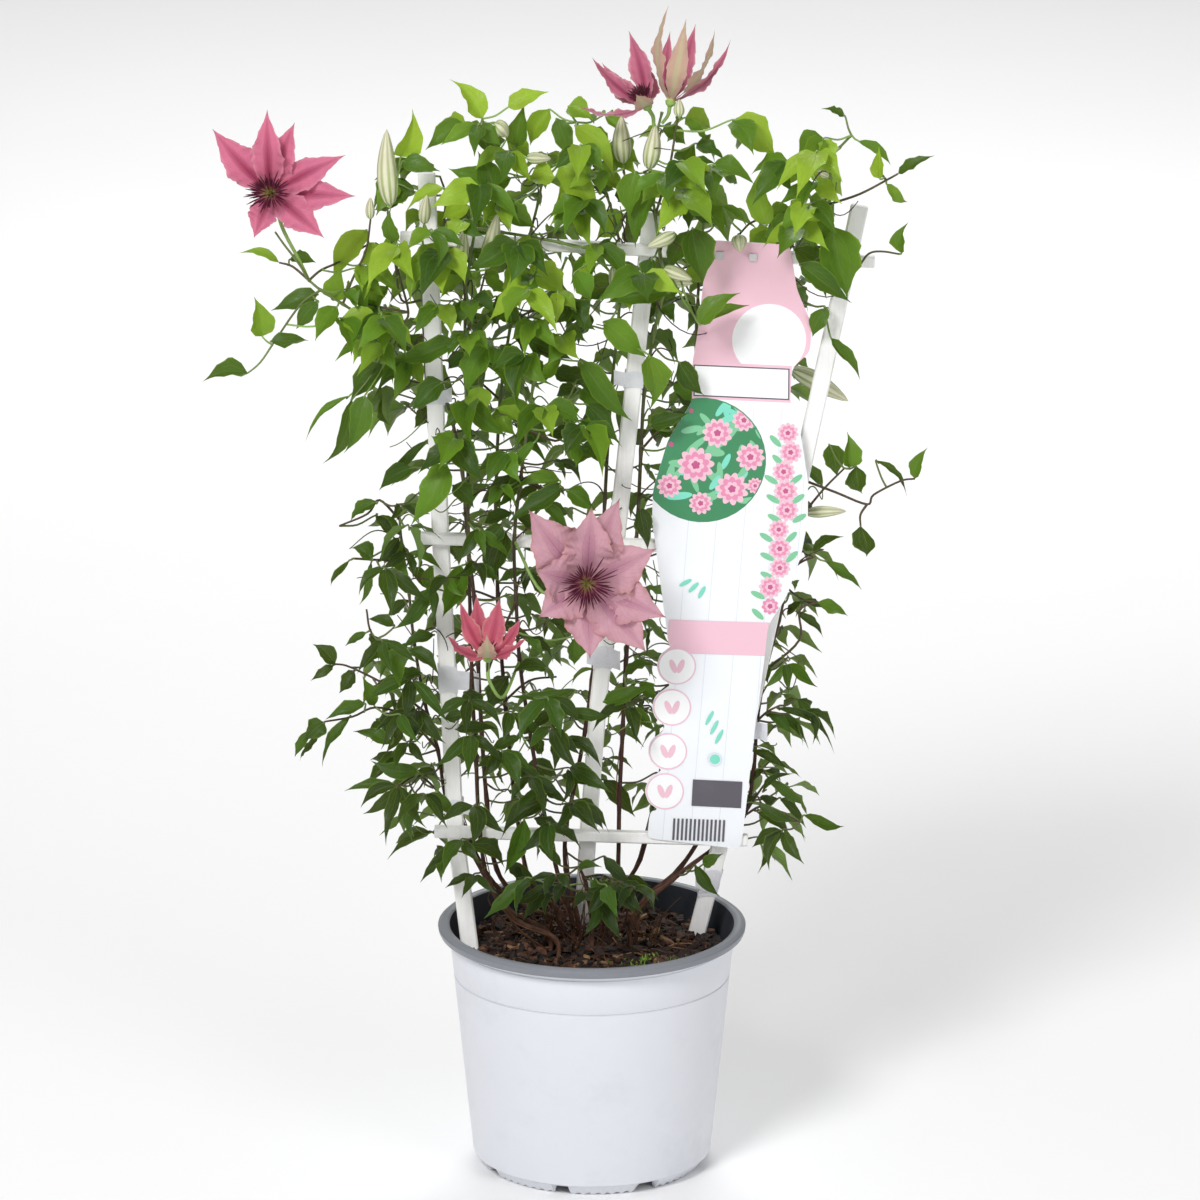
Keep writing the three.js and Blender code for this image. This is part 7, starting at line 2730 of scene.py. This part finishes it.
    def _tuft(self, mesher: Mesher) -> None:
        """Add a short blade of moss in the patch at the front right.

        Args:
            mesher: The mesh to add to.
        """
        draw = self._draw
        x, y = self.moss_x + draw.normal(0, 13), self.moss_y + draw.normal(0, 9)
        if math.hypot(x, y) > self.radius - 5:
            return
        foot = np.array([x, y, self.height(x, y) + 0.5])
        lean = np.array([draw.normal(0, 0.5), draw.normal(0, 0.5), 1])
        t = np.linspace(0, 1, 4)
        length = self.moss_length[0] + self.moss_length[1] * draw.random()
        route = foot + np.outer(t * length, unit(lean))
        mesher.tube(route, np.array([0.7, 0.8, 0.6, 0.1]), 5, draw.random(), 0)

    def _old_stem(self, mesher: Mesher) -> None:
        """Add a dry stub of an old stem in the crown.

        Args:
            mesher: The mesh to add to.
        """
        draw = self._draw
        foot = np.array([draw.normal(-8, 20), draw.normal(2, 11), self.crown_foot])
        height = self.stem_height[0] + self.stem_height[1] * draw.random() ** 1.5
        lean = np.array([draw.normal(0, 0.55) + foot[0] * 0.012, draw.normal(0, 0.4), 1])
        t = np.linspace(0, 1, 12)
        bow = np.array([draw.normal(0, 7), draw.normal(0, 7), draw.normal(0, 3)])
        twist = np.array([draw.normal(0, 2.5), draw.normal(0, 2.5), 0])
        route = (foot + np.outer(t * height, lean) + np.outer(np.sin(np.pi * t), bow)
                 + np.outer(np.sin(2 * np.pi * t), twist))
        if np.hypot(route[:, 0], route[:, 1]).max() > self.crown_reach:
            return
        mesher.tube(route, np.linspace(1.2, 0.4, 12) * (0.4 + 0.6 * draw.random() ** 2), 7,
                    0.5 + 0.5 * draw.random(), 0)
        for _ in range(2):
            part = route[1:9] + np.array([draw.normal(0, 1.6), draw.normal(0, 1.6), 0])
            mesher.tube(part, 0.25, 4, 0.9, 0)


@dataclass
class TrellisMaker:
    """Makes the painted wooden bars and the tapes that hold the stems to them."""

    looks: Looks
    upright_width: float = 10.5
    upright_depth: float = 6.0
    rail_height: float = 7.0
    rail_depth: float = 6.7
    ease: float = 0.9
    unevenness: float = 0.12
    end_shrink: float = 0.86
    end_cut: float = 0.7
    tape_gap: float = 0.5
    tape_rows: int = 7
    tape_cols: int = 28
    flag_rows: int = 10
    flag_cols: int = 6
    flag_root: float = 2.5

    def make(self) -> None:
        """Make the bars and tapes, each of which stands for its own node."""
        for name, route in UPRIGHTS.items():
            self._bar("slat_" + name, "upright_" + name, np.array(route, float), self.upright_width,
                      self.upright_depth)
        for name, ends in RAILS.items():
            self._bar("rail_" + name, "crossbar_" + name, np.array(along(ends, 40)), self.rail_height,
                      self.rail_depth)
        for tape in TAPES:
            self._tape(tape)

    def _bar(self, name: str, node: str, route: np.ndarray, width: float, depth: float) -> None:
        """Make a bar with eased edges and slightly uneven faces.

        Args:
            name: The piece's name.
            node: The node that it stands for.
            route: The points of the route.
            width: The bar's width.
            depth: The bar's depth.
        """
        fine = np.array(along(route, 9))
        way = np.gradient(fine, axis=0)
        way /= np.linalg.norm(way, axis=1, keepdims=True)
        side = np.cross(np.broadcast_to((0.0, 1.0, 0.0), way.shape), way)
        side /= np.linalg.norm(side, axis=1, keepdims=True)
        back = np.cross(way, side)
        back *= np.where(back[:, 1:2] < 0, -1, 1)
        ease, shrunk = self.ease, self.end_shrink
        corners = []
        for a, b in ((-1, -1), (1, -1), (1, 1), (-1, 1)):
            inner = (a * (width / 2 - ease), b * depth / 2)
            outer = (a * width / 2, b * (depth / 2 - ease))
            corners += [inner, outer] if a * b < 0 else [outer, inner]
        points, forms = [], []
        for i, centre in enumerate(fine):
            shrink = shrunk if i in (0, len(fine) - 1) else 1
            row = []
            for k, (a, b) in enumerate(corners):
                uneven = self.unevenness * (noise(i * 1.3, k + width) - 0.5)
                row.append(centre + side[i] * (a * shrink + uneven) + back[i] * (b * shrink + uneven))
            points.append(row)
            forms.append([(k / 8, i * 0.09, noise(width, depth)) for k in range(8)])
        first = np.array(points[0]) + way[0] * self.end_cut
        last = np.array(points[-1]) - way[-1] * self.end_cut
        points.insert(1, list(fine[0] + (first - fine[0]) * (1 / shrunk)))
        points.insert(-1, list(fine[-1] + (last - fine[-1]) * (1 / shrunk)))
        forms.insert(1, forms[0])
        forms.insert(-1, forms[-1])
        mesher = Mesher()
        mesher.grid(np.array(points), np.array(forms, float), 0, wrap=True, ends=True)
        mesher.piece(name, [self.looks.wood], Slot.WOOD, [node], crease=30)

    def _tape(self, tape: Tape) -> None:
        """Make a tape: a creased band round the upright and flags that stick out in front.

        Args:
            tape: The tape.
        """
        mesher = Mesher()
        route = UPRIGHTS[tape.upright]
        rows, cols = self.tape_rows, self.tape_cols
        points = np.empty((rows, cols, 3))
        for r in range(rows):
            z = tape.z + tape.height * (r / (rows - 1) - 0.5)
            x, y, _ = at_height(route, z)
            for k in range(cols):
                turn = 2 * math.pi * (k + 0.5) / cols
                a, b = math.cos(turn), math.sin(turn)
                big = max(abs(a), abs(b))
                crease = 0.35 * (noise(r * 1.7, k + tape.z) - 0.2)
                a, b = a / big, b / big
                points[r, k] = (x + a * (self.upright_width / 2 + self.tape_gap + crease),
                                y + b * (self.upright_depth / 2 + self.tape_gap + crease),
                                z + 0.5 * math.sin(3 * turn))
        mesher.grid(points, np.array([0.5, 0.5, 0.5]), 0, wrap=True)
        x, y, _ = at_height(route, tape.z)
        for side, length, tall, drop in tape.flags:
            front = y - self.upright_depth / 2 - 0.8
            self._flag(mesher, (x, front, tape.z), side, length, tall, drop)
        mesher.piece(tape.name + "_wrap", [self.looks.tape], Slot.TAPE, [tape.name], crease=60)

    def _flag(self, mesher: Mesher, at: Point, side: float, length: float, tall: float,
              drop: float) -> None:
        """Add a flag of two layers pressed together, a little wavy.

        Args:
            mesher: The mesh to add to.
            at: The middle of its root.
            side: 1 for right, -1 for left.
            length: How far it sticks out.
            tall: Its height.
            drop: How far its end sinks.
        """
        t = np.linspace(0, 1, self.flag_rows)[:, None]
        h = np.linspace(-0.5, 0.5, self.flag_cols)[None, :]
        reach = side * (self.upright_width / 2 - self.flag_root + (length + self.flag_root) * t)
        for layer in (-0.18, 0.18):
            wave = 0.7 * np.sin(5 * t + 3 * h) * t - layer
            points = np.stack([
                np.broadcast_to(at[0] + reach, (self.flag_rows, self.flag_cols)),
                at[1] + wave,
                at[2] + h * tall + drop * t**1.5,
            ], axis=2)
            mesher.grid(points, np.array([0.3, 0.3, 0.3]), 0)


class Ink(Enum):
    """The flat colours of the card's print, in the order of the print's material slots."""

    PINK = "f0c3d3"
    WHITE = "fafafc"
    GREY = "5a5660"
    LINE = "dfe5ee"
    ROSE = "e58fb2"
    DEEP = "c2578a"
    GREEN = "7fc79a"
    DARK_GREEN = "3c8a5c"
    MINT = "7fdcc4"

    @property
    def place(self) -> int:
        """The ink's place among the slots."""
        return list(Ink).index(self)


@dataclass
class CardMaker:
    """Makes the label card and its print: plain fields and a generic pattern, with no words."""

    looks: Looks
    back_y: float = -0.3
    thickness: float = 1.0
    lobe_radius: float = 12.6
    lobe_points: int = 5
    print_gap: float = 0.03
    layer_gap: float = 0.0025
    leaflets: int = 58
    strip_heads: int = 11
    bars: int = 13
    plate_slope: float = -0.045
    plate_boxes: tuple[tuple[Ink, tuple[float, float, float, float]], ...] = (
        (Ink.PINK, (60.2, 487.5, 120.6, 510.4)), (Ink.GREY, (61.4, 489, 119.3, 508.6)),
        (Ink.WHITE, (62.2, 489.8, 118.5, 507.8)),
    )
    mesher: Mesher = field(default_factory=Mesher)

    def __post_init__(self) -> None:
        """Round the card's outline and start with nothing printed."""
        self._outline = self._rounded(self.plan())
        self._layer = 0

    @property
    def middle_y(self) -> float:
        """The depth of the middle of the sheet."""
        return self.back_y - self.thickness / 2

    def plan(self) -> list[tuple[float, float]]:
        """Return the card's outline with sharp corners, with its four round lobes on the left.

        Returns:
            The outline's points, x and z.
        """
        lobes = []
        for x, z in CARD_LOBES:
            for k in range(self.lobe_points):
                turn = math.pi * (1.4 - 0.8 * k / (self.lobe_points - 1))
                lobes.append((x + self.lobe_radius * math.cos(turn), z + self.lobe_radius * math.sin(turn)))
        return [*CARD_OUTLINE, *lobes, *CARD_LEFT_EDGE]

    @staticmethod
    def _rounded(outline: Sequence[tuple[float, float]]) -> list[tuple[float, float]]:
        """Return an outline with its corners cut twice.

        Args:
            outline: The outline's points.

        Returns:
            The rounded outline's points.
        """
        points = [np.array(p, float) for p in outline]
        for _ in range(2):
            cut = []
            for a, b in zip(points, [*points[1:], points[0]]):
                share = min(0.2, 2.4 / float(np.linalg.norm(b - a)))
                cut += [a + (b - a) * share, b - (b - a) * share]
            points = cut
        return [(float(x), float(z)) for x, z in points]

    def make(self) -> None:
        """Make the card's piece and its print."""
        front = [(x, self.back_y - self.thickness, z) for x, z in self._outline]
        back = [(x, self.back_y, z) for x, z in self._outline]
        mesher = Mesher()
        mesher.face(front, (0, 0, 0))
        mesher.face(back[::-1], (0, 0, 0))
        rim = np.array([[*back, back[0]], [*front, front[0]]])
        mesher.grid(rim, np.zeros(3))
        mesher.piece("card_sheet", [self.looks.card], Slot.CARD, ["label_card"], crease=40)
        self._fields()
        self._picture()
        self._strip()
        self._lower()
        inks = [self.looks.ink(ink) for ink in Ink]
        self.mesher.piece("card_print", inks, Slot.CARD, (), crease=40)

    def _shape(self, points: Sequence[tuple[float, float]], ink: Ink) -> None:
        """Lay a flat shape just in front of what is printed already.

        Args:
            points: The points.
            ink: The ink.
        """
        self._layer += 1
        y = self.back_y - self.thickness - self.print_gap - self.layer_gap * self._layer
        self.mesher.face([(x, y, z) for x, z in points], (0, 0, 0), ink.place)

    def _clipped(self, shape: Sequence[tuple[float, float]], ink: Ink) -> None:
        """Lay the part of the card that lies in a convex shape."""
        self._shape(clip(self._outline, shape), ink)

    @staticmethod
    def _oval(x: float, z: float, a: float, b: float, turn: float = 0,
              count: int = 40) -> list[tuple[float, float]]:
        """Return an ellipse as points, anticlockwise.

        Args:
            x: The middle's x.
            z: The middle's z.
            a: Half its length.
            b: Half its width.
            turn: How far it is turned.
            count: The number of points.

        Returns:
            The points.
        """
        found = []
        for k in range(count):
            t = 2 * math.pi * k / count
            u, v = a * math.cos(t), b * math.sin(t)
            found.append((x + u * math.cos(turn) - v * math.sin(turn),
                          z + u * math.sin(turn) + v * math.cos(turn)))
        return found

    @staticmethod
    def _box(left: float, low: float, right: float, high: float, lean: float = 0,
             slope: float = 0) -> list[tuple[float, float]]:
        """Return a box that leans sideways with height and slopes with width, anticlockwise.

        Args:
            left: Its left.
            low: Its foot.
            right: Its right.
            high: Its top.
            lean: The sideways shift for each millimetre up.
            slope: The rise for each millimetre to the right.

        Returns:
            The four corners.
        """
        wide = right - left
        tall = high - low
        return [(left, low), (right, low + slope * wide), (right + lean * tall, high + slope * wide),
                (left + lean * tall, high)]

    def _fields(self) -> None:
        """Lay the pink head, its bare disc and the bare framed plate."""
        self._clipped(self._box(40, 506.9, 145, 600), Ink.PINK)
        self._clipped(self._oval(106.8, 523.8, 22.3, 22.3), Ink.WHITE)
        for ink, box in self.plate_boxes:
            self._clipped(self._box(*box, slope=self.plate_slope), ink)
        for k in range(5):
            x = 52 + 17 * k
            self._clipped(self._box(x - 9, 204, x - 8.6, 482, 0.075), Ink.LINE)

    @staticmethod
    def _rosette(x: float, z: float, radius: float, lobes: int, turn: float,
                 depth: float = 0.14) -> list[tuple[float, float]]:
        """Return a round outline with scallops, anticlockwise.

        Args:
            x: The middle's x.
            z: The middle's z.
            radius: The radius in millimetres.
            lobes: The number of scallops.
            turn: How far it is turned.
            depth: The scallops' depth against the radius.

        Returns:
            The points.
        """
        steps = 6 * lobes
        found = []
        for k in range(steps):
            t = 2 * math.pi * k / steps
            r = radius * (1 - depth + depth * abs(math.cos(lobes * t / 2)) * 2)
            found.append((x + r * math.cos(t + turn), z + r * math.sin(t + turn)))
        return found

    def _pompom(self, x: float, z: float, radius: float, turn: float,
                window: Sequence[tuple[float, float]] | None = None) -> None:
        """Lay a round flower head of four scalloped rings, cut to a window where one is given.

        Args:
            x: The middle's x.
            z: The middle's z.
            radius: The radius in millimetres.
            turn: How far it is turned.
            window: A convex outline that it is cut to.
        """
        rings = ((1.0, 11, Ink.PINK), (0.74, 9, Ink.ROSE), (0.46, 7, Ink.PINK), (0.24, 5, Ink.DEEP))
        for share, lobes, ink in rings:
            shape = self._rosette(x, z, radius * share / 1.1, lobes, turn + share)
            if window is not None:
                shape = clip(shape, window)
            if len(shape) > 2:
                self._within(shape, ink)

    def _picture(self) -> None:
        """Fill the oval on the left with a loose bunch of leaves and round flower heads."""
        self._shape(clip(self._outline, self._oval(67, 449, 38.5, 39, 0.25)), Ink.DARK_GREEN)
        window = self._oval(67, 449, 37.8, 38.3, 0.25)
        for k in range(self.leaflets):
            x = 32 + 74 * noise(k, 1.1)
            z = 412 + 76 * noise(k, 2.3)
            long, wide = 5 + 4 * noise(k, 3.1), 1.7 + noise(k, 4.7)
            leaf = clip(self._oval(x, z, long, wide, 3.1 * noise(k, 5.9), 16), window)
            if len(leaf) > 2:
                self._within(leaf, Ink.GREEN if k % 3 else Ink.MINT)
        heads = ((92, 474, 7), (60, 480, 6), (76, 466, 9), (48, 459, 7), (96, 451, 8.5), (63, 446, 11),
                 (85, 431, 10), (47, 433, 7.5), (66, 422, 7), (99, 433, 5))
        for k, (x, z, radius) in enumerate(heads):
            self._pompom(x, z, radius, 1.3 * k, window)

    def _within(self, shape: Sequence[tuple[float, float]], ink: Ink) -> None:
        """Lay a shape where it lies wholly on the card."""
        if all(inside(self._outline, x, z) for x, z in shape):
            self._shape(shape, ink)

    def _strip(self) -> None:
        """Lay a chain of round flower heads and small leaves down the right edge."""
        spots = []
        for k in range(self.strip_heads):
            t = k / (self.strip_heads - 1)
            spots.append((118.6 - 12.5 * t**2 + 2.2 * math.sin(2.1 * k), 466 - 121 * t))
        for k, (x, z) in enumerate(spots):
            for side in (-1, 1):
                turn = side * (0.4 + 0.5 * noise(k, side))
                self._within(self._oval(x + side * 7.5, z - 5, 4.8, 1.8, turn, 14), Ink.GREEN)
        for k, (x, z) in enumerate(spots):
            self._pompom(x, z, 6.1 + 1.4 * noise(k, 7.3), 0.9 * k)

    def _lower(self) -> None:
        """Lay the bare band, the rings on the lobes, and the plain box and bars at the foot."""
        self._clipped(self._box(46, 327.5, 107, 348.5, 0.05, -0.03), Ink.PINK)
        for x, z in CARD_LOBES:
            self._clipped(self._oval(x, z, 11.6, 11.6), Ink.PINK)
            self._clipped(self._oval(x, z, 10.8, 10.8), Ink.WHITE)
            for side in (-1, 1):
                self._clipped(self._oval(x + 2.3 * side, z, 4.6, 1.9, 1.2 * side, 20), Ink.PINK)
        for k in range(3):
            self._shape(self._oval(57 + 5 * k, 372 - 3 * k, 4.4, 1.3, 0.5 + 0.3 * k, 14), Ink.MINT)
            self._shape(self._oval(72 + 3 * k, 286 - 6 * k, 5.2, 1.2, 1.1, 14), Ink.MINT)
        self._shape(self._oval(75.5, 259.5, 4.6, 4.6, 0, 24), Ink.LINE)
        self._shape(self._oval(75.5, 259.5, 3.2, 3.2, 0, 20), Ink.MINT)
        self._shape(self._box(61.2, 229.6, 91.6, 246.6, 0.05, -0.05), Ink.GREY)
        for k in range(self.bars):
            x = 49.4 + 2.55 * k
            self._shape(self._box(x, 207.6 - 0.09 * k, x + 1.3, 221.5 - 0.09 * k, 0.05), Ink.GREY)


def clip(subject: Sequence[tuple[float, float]],
         window: Sequence[tuple[float, float]]) -> list[tuple[float, float]]:
    """Cut an outline to a window.

    Args:
        subject: The outline to cut.
        window: A convex outline, anticlockwise.

    Returns:
        The part of the outline that lies in the window; empty where none does.
    """
    found = [(float(x), float(z)) for x, z in subject]
    for (ax, az), (bx, bz) in zip(window, [*window[1:], window[0]]):
        sides = [(bx - ax) * (z - az) - (bz - az) * (x - ax) for x, z in found]
        kept: list[tuple[float, float]] = []
        for i, (p, side) in enumerate(zip(found, sides)):
            after = (i + 1) % len(found)
            q, next_side = found[after], sides[after]
            if side >= 0:
                kept.append(p)
            if (side >= 0) != (next_side >= 0):
                s = side / (side - next_side)
                kept.append((p[0] + (q[0] - p[0]) * s, p[1] + (q[1] - p[1]) * s))
        found = kept
    return found


class Maker(Protocol):
    """A sub-assembly that makes its own pieces."""

    def make(self) -> object:
        """Make the pieces."""


def build(maker: Maker) -> None:
    """Make a sub-assembly and report each of its new pieces.

    Args:
        maker: The sub-assembly.
    """
    maker.make()


def dress_pins(frame: dict, looks: Looks) -> None:
    """Give the card's pins their plastic.

    Args:
        frame: The loaded frame, with the part's nodes.
        looks: The materials.
    """
    for name in ("card_pin_left", "card_pin_right"):
        node = frame["nodes"][name]
        node.data.materials.clear()
        node.data.materials.append(looks.pin)
        LOG.info("%s: dressed", name)


def main() -> None:
    """Load the frame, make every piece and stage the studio."""
    logging.basicConfig(level=logging.INFO, format="%(name)s: %(message)s")
    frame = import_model()
    looks = Looks()
    pot = PotMaker(looks)
    trellis = TrellisMaker(looks)
    card = CardMaker(looks)
    for maker in (pot, SoilMaker(looks, pot), trellis, card):
        build(maker)
    for grown in Garden(pot, trellis, card).grown:
        build(Foliage(grown, looks))
    for bloom in BLOOMS:
        build(Flower(bloom, looks))
    dress_pins(frame, looks)
    Studio().make()
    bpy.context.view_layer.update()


if __name__ == "__main__":
    main()
